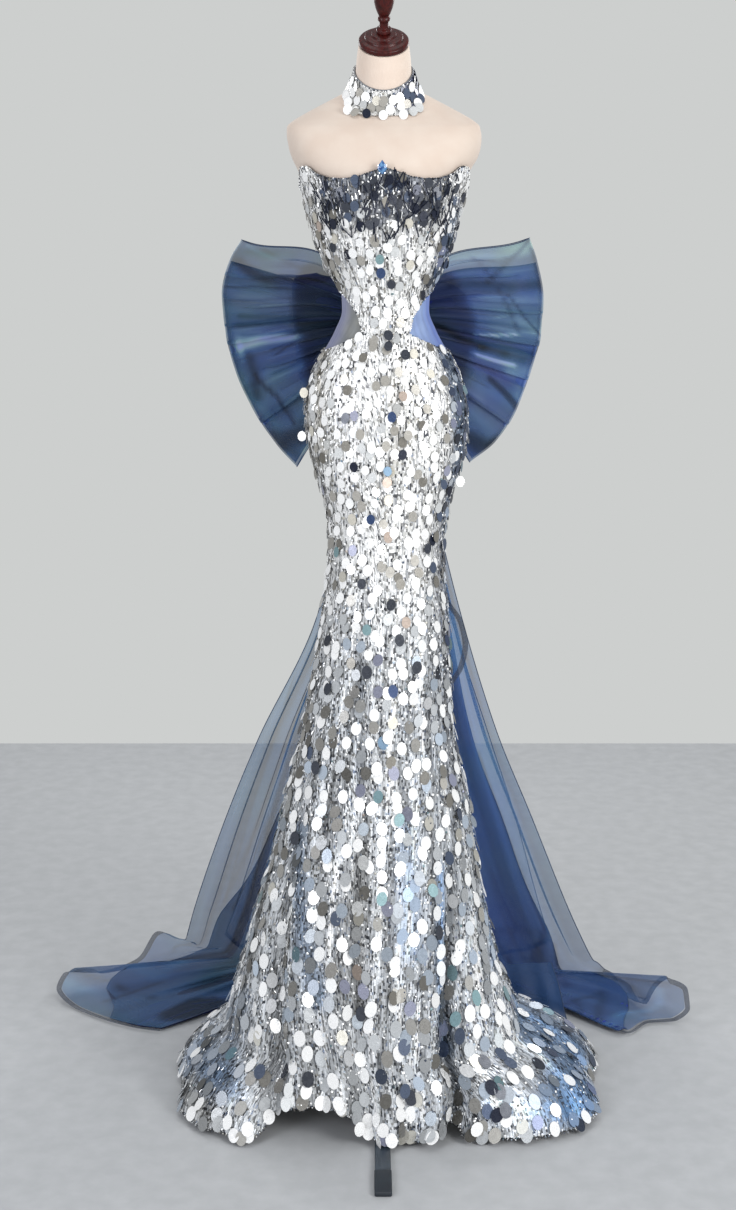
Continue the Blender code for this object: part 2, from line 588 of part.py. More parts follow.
def panel(name, left, right, bottom, top, columns, shares, gap_left, gap_right, depth=0.0,
          thickness=GOWN_WALL):
    """Cut piece of the gown between two bearings and two edges, as a wall under the gown's face.

    shares places the rows from the bottom edge (0) to the top edge (1); gap_left and gap_right give
    half the seam's clearance at a height; depth sinks the piece under the face.
    """
    across = np.linspace(left, right, columns + 1)[None, :]
    share = np.asarray(shares)[:, None]
    low = bottom(across)
    high = top(across)
    height = low + (high - low) * share
    bearing = np.broadcast_to(across, height.shape).copy()
    for edge, sign, gap in ((0, 1.0, gap_left), (-1, -1.0, gap_right)):
        step = 0.01
        pace = np.linalg.norm(gown_face(bearing[:, edge] + step, height[:, edge])
                              - gown_face(bearing[:, edge] - step, height[:, edge]), axis=-1)
        bearing[:, edge] += sign * gap(height[:, edge]) * 2.0 * step / pace
    face = gown_face(bearing, height)
    normal = face_normals(gown_face, bearing, height)
    return wall(name, face - normal * depth, face - normal * (depth + thickness))


def seam_gap(height):
    """Half the clearance at a plain seam."""
    return np.full(np.shape(height), 0.5 * SEAM_GAP)


def zip_gap(height):
    """Half the clearance at the centre back: a slot along the zip, a plain seam below it."""
    return np.where(height > ZIP_END + SEAM_GAP, 0.5 * ZIP_SLOT, 0.5 * SEAM_GAP)


def even(rows):
    """Evenly spaced shares for a number of rows."""
    return np.linspace(0.0, 1.0, rows + 1)


def make_bodice():
    """Front and two back pieces of the bodice, with the strips between the waist cut-outs."""
    def low(bearing):
        return edge_height(bearing, "bodice_low")

    def neckline(bearing):
        return edge_height(bearing, "neckline")

    side = BODICE_SIDE_SEAM
    return [
        panel("bodice_front", -side, side, low, neckline, 28, even(7), seam_gap, seam_gap),
        panel("bodice_back_right", side, 180.0, low, neckline, 11, even(6), seam_gap, zip_gap),
        panel("bodice_back_left", -180.0, -side, low, neckline, 11, even(6), zip_gap, seam_gap),
    ]


def make_insets():
    """Stretch mesh behind the two waist cut-outs, tucked under the edges of bodice and skirt."""
    sink = GOWN_WALL + SEAM_GAP + TUCK_EASE

    def low(bearing):
        return edge_height(bearing, "skirt_top") - INSET_TUCK

    def high(bearing):
        return edge_height(bearing, "bodice_low") + INSET_TUCK

    near = BRIDGE_HALF + 1.0
    far = 180.0 - near
    return [
        panel("waist_inset_right", near, far, low, high, 14, even(3), seam_gap, seam_gap, sink,
              MESH_WALL),
        panel("waist_inset_left", -far, -near, low, high, 14, even(3), seam_gap, seam_gap, sink,
              MESH_WALL),
    ]


def make_skirt():
    """Five long panels of the skirt, from the waist to the flared hem."""
    def top(bearing):
        return edge_height(bearing, "skirt_top")

    levels = np.array(SKIRT_LEVELS)
    shares = (levels - levels[0]) / (levels[-1] - levels[0])
    return [
        panel("skirt_front", FRONT_SEAM_LEFT, FRONT_SEAM_RIGHT, hem_height, top, 26, shares,
              seam_gap, seam_gap),
        panel("skirt_side_right", FRONT_SEAM_RIGHT, BACK_SEAM, hem_height, top, 15, shares,
              seam_gap, seam_gap),
        panel("skirt_back_right", BACK_SEAM, 180.0, hem_height, top, 13, shares, seam_gap, zip_gap),
        panel("skirt_back_left", -180.0, -BACK_SEAM, hem_height, top, 13, shares, zip_gap, seam_gap),
        panel("skirt_side_left", -BACK_SEAM, FRONT_SEAM_LEFT, hem_height, top, 13, shares,
              seam_gap, seam_gap),
    ]


def form_ring(row, columns):
    """One ring of the form's surface from a row of its table."""
    size = dict(zip(FORM_COLUMNS, row))
    angle = np.radians(np.linspace(0.0, 360.0, columns, endpoint=False))
    x, y = oval(angle, size["half_width"], size["front"], size["back"], size["squareness"])
    tilt = math.radians(size["tilt"])
    return np.stack([size["centre_x"] + x,
                     size["centre_y"] + y * math.cos(tilt),
                     size["height"] + y * math.sin(tilt)], axis=-1)


def form_rows():
    """Rows of the whole form: the gown's own sections less the ease, then shoulders and neck."""
    heights = column(GOWN_SECTIONS, GOWN_COLUMNS, "height")
    rows = []
    for height in FORM_LEVELS:
        size = [float(follow(heights, column(GOWN_SECTIONS, GOWN_COLUMNS, name), height))
                for name in GOWN_COLUMNS[1:]]
        centre_x, centre_y, half_width, front, back, squareness = size
        inset = FORM_EASE + (0.006 if height == FORM_BASE else 0.0)
        rows.append((height, centre_x, centre_y, half_width - inset, front - inset,
                     back - inset, squareness, 0.0))
    rows.extend(FORM_UPPER)
    return rows


def make_form():
    """Torso and neck of the form as one closed solid."""
    columns = 26
    rings = np.stack([form_ring(row, columns) for row in form_rows()])
    return ring_solid("form_body", rings)


def form_face(bearing, height):
    """Surface of the form's shoulders and neck at a bearing and a section height."""
    heights = column(FORM_UPPER, FORM_COLUMNS, "height")
    size = {name: np.interp(height, heights, column(FORM_UPPER, FORM_COLUMNS, name))
            for name in FORM_COLUMNS[1:]}
    x, y = oval(np.radians(bearing), size["half_width"], size["front"], size["back"], size["squareness"])
    tilt = np.radians(size["tilt"])
    return np.stack(np.broadcast_arrays(size["centre_x"] + x, size["centre_y"] + y * np.cos(tilt),
                                        height + y * np.sin(tilt)), axis=-1)


def make_choker():
    """Band round the foot of the neck, open by a hair at the centre back, and its clasp."""
    opening = 1.2
    across = np.linspace(-180.0 + opening, 180.0 - opening, 31)[None, :]
    share = np.linspace(0.0, 1.0, 4)[:, None]
    low = CHOKER_LOW - CHOKER_FRONT_DROP * np.maximum(np.cos(np.radians(across)), 0.0) ** 2
    height = low + (CHOKER_HIGH - 0.25 * (CHOKER_LOW - low) - low) * share
    bearing = np.broadcast_to(across, height.shape)
    face = form_face(bearing, height)
    normal = face_normals(form_face, bearing, height)
    inner = face + normal * CHOKER_EASE
    outer = face + normal * (CHOKER_EASE + CHOKER_WALL)
    band = wall("choker_band", outer, inner)
    clasp_across = np.linspace(176.0, 184.0, 5)[None, :]
    clasp_height = CHOKER_LOW + (CHOKER_HIGH - CHOKER_LOW) * np.linspace(0.30, 0.70, 3)[:, None]
    clasp_bearing, clasp_height = np.broadcast_arrays(clasp_across, clasp_height)
    face = form_face(clasp_bearing, clasp_height)
    normal = face_normals(form_face, clasp_bearing, clasp_height)
    lift = CHOKER_EASE + CHOKER_WALL + SEAM_GAP
    clasp = wall("choker_clasp", face + normal * (lift + CLASP_WALL), face + normal * lift)
    return [band, clasp]


def turned(name, profile, steps):
    """Closed turned solid from a profile listed from its top to its foot."""
    mesh = bpy.data.meshes.new(name)
    points = [(0.0, 0.0, profile[0][1])] + [(radius, 0.0, height) for radius, height in profile]
    points.append((0.0, 0.0, profile[-1][1]))
    edges = [(index, index + 1) for index in range(len(points) - 1)]
    mesh.from_pydata(points, edges, [])
    item = bpy.data.objects.new(name, mesh)
    screw = item.modifiers.new("turn", "SCREW")
    screw.steps = steps
    screw.render_steps = steps
    screw.use_merge_vertices = True
    screw.merge_threshold = 0.00005
    screw.use_smooth_shade = True
    return item


def make_neck_cap():
    """Turned wooden cap and finial, square to the tilted top of the neck."""
    top = dict(zip(FORM_COLUMNS, FORM_UPPER[-1]))
    tilt = math.radians(top["tilt"])
    upright = Vector((0.0, -math.sin(tilt), math.cos(tilt)))
    foot = Vector((top["centre_x"], top["centre_y"], top["height"])) + upright * SEAM_GAP
    turn = Matrix.Rotation(tilt, 4, "X")
    cap = turned("neck_cap", CAP_PROFILE, 28)
    cap.matrix_basis = Matrix.Translation(foot) @ turn
    finial = turned("neck_finial", FINIAL_PROFILE, 16)
    rise = CAP_PROFILE[0][1] + SEAM_GAP
    finial.matrix_basis = Matrix.Translation(foot + upright * rise) @ turn
    return [cap, finial]


def bevelled(item, width):
    """Round an object's edges."""
    bevel = item.modifiers.new("rounded edges", "BEVEL")
    bevel.width = width
    bevel.segments = 1
    return item


def box(name, size, centre, turn=0.0):
    """Box from a primitive cube, its size applied to its mesh."""
    bpy.ops.mesh.primitive_cube_add(size=1.0)
    item = bpy.context.active_object
    item.name = name
    item.data.name = name
    item.data.transform(Matrix.Diagonal((*size, 1.0)))
    item.matrix_basis = Matrix.Rotation(turn, 4, "Z") @ Matrix.Translation(centre)
    return item


def cylinder(name, radius, low, high, segments):
    """Upright cylinder about the form's axis."""
    bpy.ops.mesh.primitive_cylinder_add(vertices=segments, radius=radius, depth=high - low,
                                        location=(0.0, 0.0, 0.5 * (low + high)))
    item = bpy.context.active_object
    item.name = name
    item.data.name = name
    return item


def make_stand():
    """Hub, pole and three flat legs under the form."""
    hub = cylinder("stand_hub", HUB_RADIUS, 0.0, HUB_HEIGHT, 28)
    pole = cylinder("stand_pole", POLE_RADIUS, HUB_HEIGHT + SEAM_GAP, FORM_BASE - SEAM_GAP, 18)
    pieces = [hub, pole]
    start = HUB_RADIUS + SEAM_GAP
    middle = 0.5 * (start + LEG_REACH)
    for number, bearing in enumerate(LEG_BEARINGS, start=1):
        leg = box("stand_leg_" + str(number), (LEG_WIDTH, LEG_REACH - start, LEG_HEIGHT),
                  (0.0, -middle, 0.5 * LEG_HEIGHT), math.radians(bearing))
        pieces.append(bevelled(leg, 0.001))
    return pieces


def frame_solid(name, outer, inner):
    """Closed frame round a hole: each row of outer and inner is (x, y, z) of its low and high corner."""
    count = len(outer)
    points = np.concatenate([outer[:, 0], outer[:, 1], inner[:, 1], inner[:, 0]])
    faces = []
    for corner in range(count):
        after = (corner + 1) % count
        for skin in range(4):
            over = (skin + 1) % 4
            faces.append((skin * count + corner, skin * count + after,
                          over * count + after, over * count + corner))
    return object_from(name, points, faces)


def slider_corners(points):
    """Low and high corners of the slider's frame: as tall as its body, then tapering to its pin."""
    corners = []
    for x, y in points:
        taper = float(np.clip((y - SLIDER_BACK) / (PIN_OUT - PIN_HALF - SLIDER_BACK), 0.0, 1.0))
        low = -SLIDER_HALF + (PIN_UP - PIN_HALF + SLIDER_HALF) * taper
        high = SLIDER_HALF + (PIN_UP + PIN_HALF - SLIDER_HALF) * taper
        corners.append(((x, y, low), (x, y, high)))
    return np.array(corners)


def make_zip():
    """Tape behind the centre back slot, its slider near the top, and the tab that turns on its pin."""
    half = 10.0
    sink = GOWN_WALL + SEAM_GAP + TUCK_EASE
    levels = np.array(ZIP_LEVELS)

    def low(bearing):
        return np.full(np.shape(bearing), levels[0])

    def high(bearing):
        return np.full(np.shape(bearing), levels[-1])

    shares = (levels - levels[0]) / (levels[-1] - levels[0])
    tape = panel("back_zip", 180.0 - half, 180.0 + half, low, high, 2, shares, seam_gap, seam_gap,
                 sink, MESH_WALL)
    spot = Vector(gown_face(np.array(180.0), np.array(levels[-1] - SLIDER_BELOW_TOP)))
    side = 0.5 * ZIP_SLOT - SEAM_GAP
    eye = side - SLIDER_CHEEK
    near = PIN_OUT - PIN_HALF
    far = PIN_OUT + PIN_HALF
    outer = slider_corners(((-side, -SLIDER_DEPTH), (side, -SLIDER_DEPTH), (side, SLIDER_BACK),
                            (side, near), (side, far), (-side, far), (-side, near),
                            (-side, SLIDER_BACK)))
    inner = slider_corners(((-eye, SLIDER_BACK), (eye, SLIDER_BACK), (eye, SLIDER_BACK + SLIDER_SEAT),
                            (eye, near - SLIDER_SEAT), (eye, near), (-eye, near),
                            (-eye, near - SLIDER_SEAT), (-eye, SLIDER_BACK + SLIDER_SEAT)))
    slider = frame_solid("zip_slider", outer, inner)
    slider.location = spot
    turns = np.radians(np.arange(345.0, 0.0, -30.0))
    rim = [(-TAB_EYE_OUTER * math.sin(turn), -TAB_EYE_OUTER * math.cos(turn)) for turn in turns]
    hole = [(-TAB_EYE_INNER * math.sin(turn), -TAB_EYE_INNER * math.cos(turn)) for turn in turns]
    widths = [eye - SEAM_GAP] * len(turns)
    rim[0] = (0.5 * TAB_THICKNESS, -TAB_LENGTH)
    rim[-1] = (-0.5 * TAB_THICKNESS, -TAB_LENGTH)
    widths[0] = 0.5 * TAB_WIDTH
    widths[-1] = 0.5 * TAB_WIDTH
    outer = np.array([((-wide, y, z), (wide, y, z)) for wide, (y, z) in zip(widths, rim)])
    inner = np.array([((-eye + SEAM_GAP, y, z), (eye - SEAM_GAP, y, z)) for y, z in hole])
    tab = frame_solid("zip_pull_tab", outer, inner)
    tab.location = spot + Vector((0.0, PIN_OUT, PIN_UP))
    return [tape, slider, tab]


def make_jewel():
    """Faceted kite-shaped stone on the centre of the neckline."""
    height = float(edge_height(0.0, "neckline"))
    spot = gown_face(np.array(JEWEL_BEARING), np.array(height - JEWEL_SEAT))
    rings = np.array([[(spot[0] + x * scale, spot[1] - out, height - 0.001 + z * scale)
                       for x, z in reversed(JEWEL_OUTLINE)] for out, scale in JEWEL_LAYERS])
    return ring_solid("neckline_jewel", rings)


def loop_grid(table, side, columns, rows):
    """Middle face of a bow loop: rows run out from the knot and back, columns from top to bottom."""
    across = np.linspace(0.0, 1.0, columns + 1)[None, :]
    round_trip = np.linspace(0.0, 1.0, rows + 1)[:, None]
    size = {name: follow(column(table, LOOP_COLUMNS, "across"), column(table, LOOP_COLUMNS, name), across)
            for name in LOOP_COLUMNS[1:]}
    out = 0.5 - 0.5 * np.cos(2.0 * math.pi * round_trip)
    start_x = KNOT_HALF_SIZE[0] + LOOP_START
    start_z = KNOT_CENTRE[2] + LOOP_GATHER_HALF * (1.0 - 2.0 * across)
    layer = -np.cos(math.pi * round_trip)
    gather = np.cos(2.0 * math.pi * (3.5 * across + 0.1)) * np.exp(-((out - 0.16) / 0.30) ** 2)
    pleat = np.cos(2.0 * math.pi * (2.0 * across - 0.15)) * np.sin(math.pi * out) ** 1.2
    spread = LOOP_SPREAD * np.sin(2.0 * math.pi * round_trip) * (0.22 + 0.78 * out)
    x = side * (start_x + (size["reach"] - start_x) * out)
    y = (KNOT_CENTRE[1] + (size["behind"] - KNOT_CENTRE[1]) * out + LOOP_LAYER * layer - spread
         + LOOP_GATHERS * gather + LOOP_PLEATS * pleat)
    z = start_z + (size["height"] - start_z) * out + size["lift"] * 6.75 * out * (1.0 - out) ** 2
    return np.stack(np.broadcast_arrays(x, y, z), axis=-1)


def sheet(name, grid, thickness, normal=None):
    """Wall of even thickness about a middle face."""
    if normal is None:
        normal = grid_normals(grid)
    return wall(name, grid + normal * 0.5 * thickness, grid - normal * 0.5 * thickness)


def make_bow_loops():
    """The bow's two loops, each a band of organza that leaves the knot and comes back to it."""
    left = loop_grid(LOOP_LEFT, -1.0, 12, 16)
    right = loop_grid(LOOP_RIGHT, 1.0, 12, 16)
    return [sheet("bow_loop_left", left, ORGANZA_WALL), sheet("bow_loop_right", right, ORGANZA_WALL)]


def make_knot():
    """The bow's knot: cloth wound on itself, with soft creases along the winding."""
    columns = 16
    turns = np.radians(np.linspace(0.0, 360.0, columns, endpoint=False))[None, :]
    share = np.linspace(-1.0, 1.0, 9)[:, None]
    swell = (1.0 - np.abs(share) ** 3.0) ** (1.0 / 3.0)
    swell = KNOT_WAIST + (1.0 - KNOT_WAIST) * swell
    crease = 1.0 - KNOT_CREASE * (0.5 + 0.5 * np.cos(4.0 * turns + 1.5 * share))
    x = KNOT_HALF_SIZE[0] * swell * crease * np.sin(turns)
    y = -KNOT_HALF_SIZE[1] * swell * crease * np.cos(turns)
    z = KNOT_HALF_SIZE[2] * share + 0.0 * turns
    rings = np.stack([KNOT_CENTRE[0] + x, KNOT_CENTRE[1] + y, KNOT_CENTRE[2] + z], axis=-1)
    return ring_solid("bow_knot", rings)


def hanging_lines(table, across):
    """Lines across a hanging layer of cloth, one for each row of its table, waved by its folds."""
    lines = []
    for row in table:
        size = dict(zip(TAIL_COLUMNS, row))
        far = np.array([size["far_x"], size["far_y"], size["far_z"]])
        near = np.array([size["near_x"], size["near_y"], size["near_z"]])
        behind = np.cross(near - far, (0.0, 0.0, 1.0))
        behind = behind / np.linalg.norm(behind)
        wave = np.sin(2.0 * math.pi * (2.5 * across + 0.15 * np.sin(5.0 * across)))
        wave = size["fold"] * wave * np.sin(math.pi * across) ** 0.5
        lines.append(far + (near - far) * across[:, None] + wave[:, None] * behind)
    return lines


def lengthwise(lines, shares):
    """Rows of points along smooth curves through the lines, at shares of the way down."""
    lines = np.stack(lines)
    middle = lines[:, lines.shape[1] // 2]
    paces = np.linalg.norm(np.diff(middle, axis=0), axis=-1)
    distance = np.concatenate([[0.0], np.cumsum(paces)])
    at = distance[-1] * np.asarray(shares)
    return np.stack([np.stack([follow(distance, lines[:, col, axis], at) for axis in range(3)], axis=-1)
                     for col in range(lines.shape[1])], axis=1)


def make_tail(name, table, hem_table, columns, rows):
    """One layer of a tail with stiff braid along its hem; both share the face's slope where they meet."""
    across = np.linspace(0.0, 1.0, columns + 1)
    lines = hanging_lines(table, across)
    knots = column(hem_table, HEM_COLUMNS, "across")
    hem = np.stack([follow(knots, column(hem_table, HEM_COLUMNS, axis), across)
                    for axis in HEM_COLUMNS[1:]], axis=-1)
    along = np.gradient(hem, axis=0)
    along = along / np.linalg.norm(along, axis=-1, keepdims=True)
    inward = lines[-1] - hem
    inward = inward - along * np.sum(inward * along, axis=-1, keepdims=True)
    inward = inward / np.linalg.norm(inward, axis=-1, keepdims=True)
    lines.append(hem + inward * (BRAID_WIDTH + SEAM_GAP))
    cloth = lengthwise(lines, even(rows))
    braid = np.stack([hem + inward * BRAID_WIDTH, hem])
    normal = grid_normals(np.concatenate([cloth, braid]))
    shared = normal[rows] + normal[rows + 1]
    normal[rows] = shared / np.linalg.norm(shared, axis=-1, keepdims=True)
    normal[rows + 1] = normal[rows]
    return [sheet("bow_" + name, cloth, ORGANZA_WALL, normal[:rows + 1]),
            sheet("braid_" + name, braid, BRAID_WALL, normal[rows + 1:])]


def make_tails():
    """Two long tails and a narrower layer behind each."""
    return (make_tail("tail_left", TAIL_LEFT, HEM_LEFT, 12, 17)
            + make_tail("tail_right", TAIL_RIGHT, HEM_RIGHT, 12, 17)
            + make_tail("tail_left_under", UNDER_LEFT, HEM_UNDER_LEFT, 6, 11)
            + make_tail("tail_right_under", UNDER_RIGHT, HEM_UNDER_RIGHT, 6, 11))


def make_short_end():
    """Short end of the bow behind the right thigh, with braid along its rolled outer edge."""
    across = np.linspace(0.0, 1.0, 6)
    straight = 5
    shares = np.concatenate([SHORT_END_ROLL * even(straight),
                             SHORT_END_ROLL + (1.0 - SHORT_END_ROLL) * even(8)[1:]])
    cloth = lengthwise(hanging_lines(SHORT_END, across), shares)
    normal = grid_normals(cloth)
    edge = cloth[straight:, :1]
    outward = edge - cloth[straight:, 1:2]
    outward = outward / np.linalg.norm(outward, axis=-1, keepdims=True)
    braid = np.concatenate([edge + outward * (SEAM_GAP + BRAID_WIDTH), edge + outward * SEAM_GAP], axis=1)
    slope = np.repeat(normal[straight:, :1], 2, axis=1)
    return [sheet("bow_short_end", cloth, ORGANZA_WALL, normal),
            sheet("braid_short_end", braid, BRAID_WALL, slope)]


def stand_at_origin(pieces):
    """Move every piece so that the middle of the whole bounding box is over the origin."""
    bpy.context.view_layer.update()
    graph = bpy.context.evaluated_depsgraph_get()
    corners = []
    for item in pieces:
        seen = item.evaluated_get(graph)
        corners.extend(seen.matrix_world @ Vector(corner) for corner in seen.bound_box)
    middle = Vector(((min(c.x for c in corners) + max(c.x for c in corners)) * 0.5,
                     (min(c.y for c in corners) + max(c.y for c in corners)) * 0.5, 0.0))
    for item in pieces:
        item.location = item.location - middle
    print("form axis stands at", round(-middle.x, 5), round(-middle.y, 5))


def main():
    """Build the gown, the form and the stand."""
    clear_scene()
    parts = bpy.data.collections.new("evening_gown_on_dress_form")
    bpy.context.scene.collection.children.link(parts)
    root = bpy.data.objects.new("gown_stand", None)
    parts.objects.link(root)
    made = []
    for material_name, pieces in (
            ("sequin cloth", make_bodice() + make_skirt()),
            ("stretch mesh", make_insets()),
            ("blue organza", make_bow_loops() + [make_knot()]),
            ("ivory jersey", [make_form()]),
            ("mahogany", make_neck_cap()),
            ("painted steel", make_stand()),
            ("blue crystal", [make_jewel()])):
        for item in pieces:
            made.append(finish_object(item, material_name, parts, root))
    choker, clasp = make_choker()
    made.append(finish_object(choker, "sequin cloth", parts, root))
    made.append(finish_object(clasp, "zip metal", parts, root))
    tape, slider, tab = make_zip()
    made.append(finish_object(tape, "stretch mesh", parts, root))
    made.append(finish_object(slider, "zip metal", parts, root))
    made.append(finish_object(tab, "zip metal", parts, root))
    for item in make_tails() + make_short_end():
        material_name = "navy braid" if item.name.startswith("braid") else "blue organza"
        made.append(finish_object(item, material_name, parts, root))
    stand_at_origin(made)


main()
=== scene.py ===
"""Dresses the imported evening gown, its form and its stand for display.

Units are metres, +Z is up and the gown faces -Y. Shapes are worked out about the form's upright axis
(x = 0, y = 0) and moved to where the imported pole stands. A bearing is an angle round the body in
degrees: 0 at the centre front (-Y), +90 at +X, 180 at the back. Grids of points have rows that run up
(or out from the knot) and columns that run across.
"""
import logging
import math
from dataclasses import dataclass
from enum import Enum
from functools import cached_property
from typing import Callable, Optional, Sequence

import bpy
import numpy as np
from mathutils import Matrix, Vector


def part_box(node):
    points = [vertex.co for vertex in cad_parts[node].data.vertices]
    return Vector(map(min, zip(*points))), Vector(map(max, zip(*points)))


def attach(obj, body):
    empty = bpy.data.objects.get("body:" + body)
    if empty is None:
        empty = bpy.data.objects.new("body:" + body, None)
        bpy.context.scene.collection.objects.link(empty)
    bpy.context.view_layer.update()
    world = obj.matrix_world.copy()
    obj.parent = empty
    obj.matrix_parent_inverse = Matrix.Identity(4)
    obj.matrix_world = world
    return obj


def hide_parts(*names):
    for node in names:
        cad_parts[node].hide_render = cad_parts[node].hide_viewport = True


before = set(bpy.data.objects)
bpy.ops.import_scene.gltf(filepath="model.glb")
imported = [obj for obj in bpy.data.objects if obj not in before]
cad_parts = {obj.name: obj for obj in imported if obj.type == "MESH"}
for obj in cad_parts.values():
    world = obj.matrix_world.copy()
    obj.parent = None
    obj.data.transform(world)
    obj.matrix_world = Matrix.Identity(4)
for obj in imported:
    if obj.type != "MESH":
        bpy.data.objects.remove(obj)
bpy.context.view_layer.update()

LOG = logging.getLogger("evening_gown")
Array = np.ndarray
Edge = Callable[[Array], Array]

ROOT_BODY = "gown_and_form"

SEAM_GAP = 0.0003          # clearance between pieces that meet
GOWN_WALL = 0.0012         # sequinned net with its lining
FORM_EASE = 0.0070         # from the gown's outer face in to the form
TUCK_EASE = 0.0010         # extra depth of what is tucked under a panel
TUCK_DEPTH = GOWN_WALL + SEAM_GAP + TUCK_EASE
TUCKED_WALL = 0.0008       # waist mesh and zip tape
FORM_BASE = 0.800          # flat underside of the form's torso
FORM_BASE_ROUND = 0.006    # how far the torso's lowest edge is rounded in
KNEE_FLARE = 0.450         # height below which the fold lines stop spreading
HEM_CLEARANCE = 0.014      # lowest edge of the hem above the floor
ZIP_END = 1.165            # lower end of the centre back zip
ZIP_SLOT = 0.0040          # width of the slot between the back edges along the zip
FRONT_SEAM_LEFT = -52.0    # bearings of the skirt's long seams
FRONT_SEAM_RIGHT = 46.0
BACK_SEAM = 112.0
BODICE_SIDE_SEAM = 88.0
BRIDGE_HALF = 26.0         # half the bearing covered by the strip between the two waist cut-outs
INSET_TUCK = 0.006         # how far the waist mesh runs under the edges around it
NECK_TILT = 34.0           # forward tilt of the neck's top, the cap and the finial
CHOKER_LOW = 1.7235        # section heights of the choker's edges at the sides of the neck
CHOKER_HIGH = 1.7550
CHOKER_FRONT_DROP = 0.0235 # how far the lower edge dips at the front
CHOKER_WALL = 0.0016
CHOKER_EASE = 0.0010       # from the form's cover out to the band
CHOKER_DARK = (-13.5, 1.7130)   # bearing and section height of its one dark disc at the front
BRAID_WIDTH = 0.010        # stiff braid along the hems of the train
BRAID_WALL = 0.0014
KNOT_CENTRE = (0.0, 0.0995, 1.362)
KNOT_HALF_SIZE = (0.030, 0.0265, 0.043)
LOOP_START = 0.0012        # from the knot's side out to where a loop starts
LOOP_GATHER_HALF = 0.034   # half the height that a loop is gathered to at the knot
LOOP_LAYER = 0.0065        # half the distance between a loop's two layers at the knot
LOOP_SPREAD = 0.040        # how far they belly apart further out
LOOP_GATHERS = 0.0055      # depth of the gathers at the knot
LOOP_FLUTES = 0.0085       # depth of the soft flutes further out
LEG_REACH = 0.336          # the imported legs, from the form's axis to their ends
LEG_WIDTH = 0.026
LEG_HEIGHT = 0.008
LEG_BEARINGS = (0.0, 120.0, 240.0)
LOOSE_FROM = 74.0          # bearing past which a placed paillette hangs loose and faces the front
JEWEL_BEARING = -1.5
JEWEL_SEAT = 0.003         # how far below the neckline's peak the stone sits on the net
SHARP_ANGLE = 55.0         # a smooth piece shows an edge where its faces meet at more than this
PROBE = 1e-3               # step over which the slopes of a surface are measured
WAVE_RADIANS = 20.0        # radians in a unit of the wave texture at scale 1


# ------------------------------------------------------------------ shape tables
@dataclass(frozen=True)
class Table:
    """Rows of numbers under named columns, in the order of the first column."""

    columns: str
    rows: tuple[tuple[float, ...], ...]

    def column(self, name: str) -> Array:
        """One column by its name."""
        place = self.columns.split().index(name)
        return np.array([row[place] for row in self.rows], dtype=float)

    def at(self, places: Array) -> dict[str, Array]:
        """The other columns, on smooth curves, at places along the first."""
        first, *others = self.columns.split()
        return {name: follow(self.column(first), self.column(name), places) for name in others}


# Sections of the worn gown about its own centre, from above the bust to the floor.

GOWN_SECTIONS = Table("height centre_x centre_y half_width front back squareness", (
    (1.66, 0.003, 0.003, 0.16, 0.085, 0.077, 2.6), (1.63, 0.003, 0.001, 0.156, 0.096, 0.08, 2.45),
    (1.605, 0.001, 0.0, 0.1445, 0.104, 0.083, 2.3), (1.577, 0.001, 0.0, 0.1325, 0.109, 0.084, 2.15),
    (1.54, 0.001, 0.0, 0.122, 0.105, 0.081, 2.1), (1.49, 0.002, 0.0, 0.1078, 0.093, 0.075, 2.1),
    (1.45, 0.003, 0.0, 0.0905, 0.08, 0.069, 2.05), (1.415, 0.004, 0.0, 0.074, 0.07, 0.064, 2.0),
    (1.385, 0.004, 0.0, 0.0728, 0.067, 0.062, 2.0), (1.355, 0.004, 0.0, 0.0835, 0.07, 0.066, 2.0),
    (1.315, 0.004, 0.0, 0.105, 0.079, 0.078, 2.0), (1.275, 0.005, 0.0, 0.1225, 0.087, 0.092, 2.05),
    (1.215, 0.006, 0.0, 0.1325, 0.093, 0.104, 2.1), (1.165, 0.007, 0.0, 0.1275, 0.093, 0.105, 2.1),
    (1.11, 0.007, 0.0, 0.113, 0.09, 0.098, 2.1), (1.06, 0.007, 0.0, 0.0995, 0.086, 0.091, 2.1),
    (1.005, 0.006, 0.0, 0.0952, 0.083, 0.088, 2.1), (0.95, 0.005, 0.0, 0.0985, 0.084, 0.09, 2.1),
    (0.89, 0.004, 0.0, 0.1045, 0.087, 0.095, 2.1), (0.79, -0.001, 0.0, 0.115, 0.095, 0.106, 2.1),
    (0.68, -0.008, 0.0, 0.129, 0.106, 0.123, 2.1), (0.56, -0.01, 0.0, 0.157, 0.121, 0.15, 2.1),
    (0.445, -0.015, 0.0, 0.1785, 0.137, 0.179, 2.1), (0.325, -0.02, 0.002, 0.207, 0.156, 0.212, 2.1),
    (0.24, -0.02, 0.006, 0.2275, 0.172, 0.234, 2.1), (0.175, -0.016, 0.014, 0.249, 0.19, 0.245, 2.1),
    (0.138, -0.012, 0.022, 0.262, 0.2, 0.25, 2.1), (0.105, -0.002, 0.034, 0.3, 0.214, 0.26, 2.3),
    (0.045, 0.009, 0.05, 0.356, 0.238, 0.276, 2.95), (0.0, 0.013, 0.058, 0.378, 0.249, 0.29, 3.6),
))

# Bearings of the same fold line at the knee and at the hem: at the front they fall straight down.
FALL_LINES = Table("knee_bearing hem_bearing", (
    (-180.0, -180.0), (-150.0, -145.0), (-120.0, -108.0), (-90.0, -68.0), (-72.0, -44.0), (-52.0, -28.8),
    (-28.0, -16.8), (-8.0, -6.8), (10.0, 1.5), (25.0, 6.8), (46.0, 14.4), (73.0, 37.0), (90.0, 62.0),
    (120.0, 104.0), (150.0, 143.0), (180.0, 180.0),
))

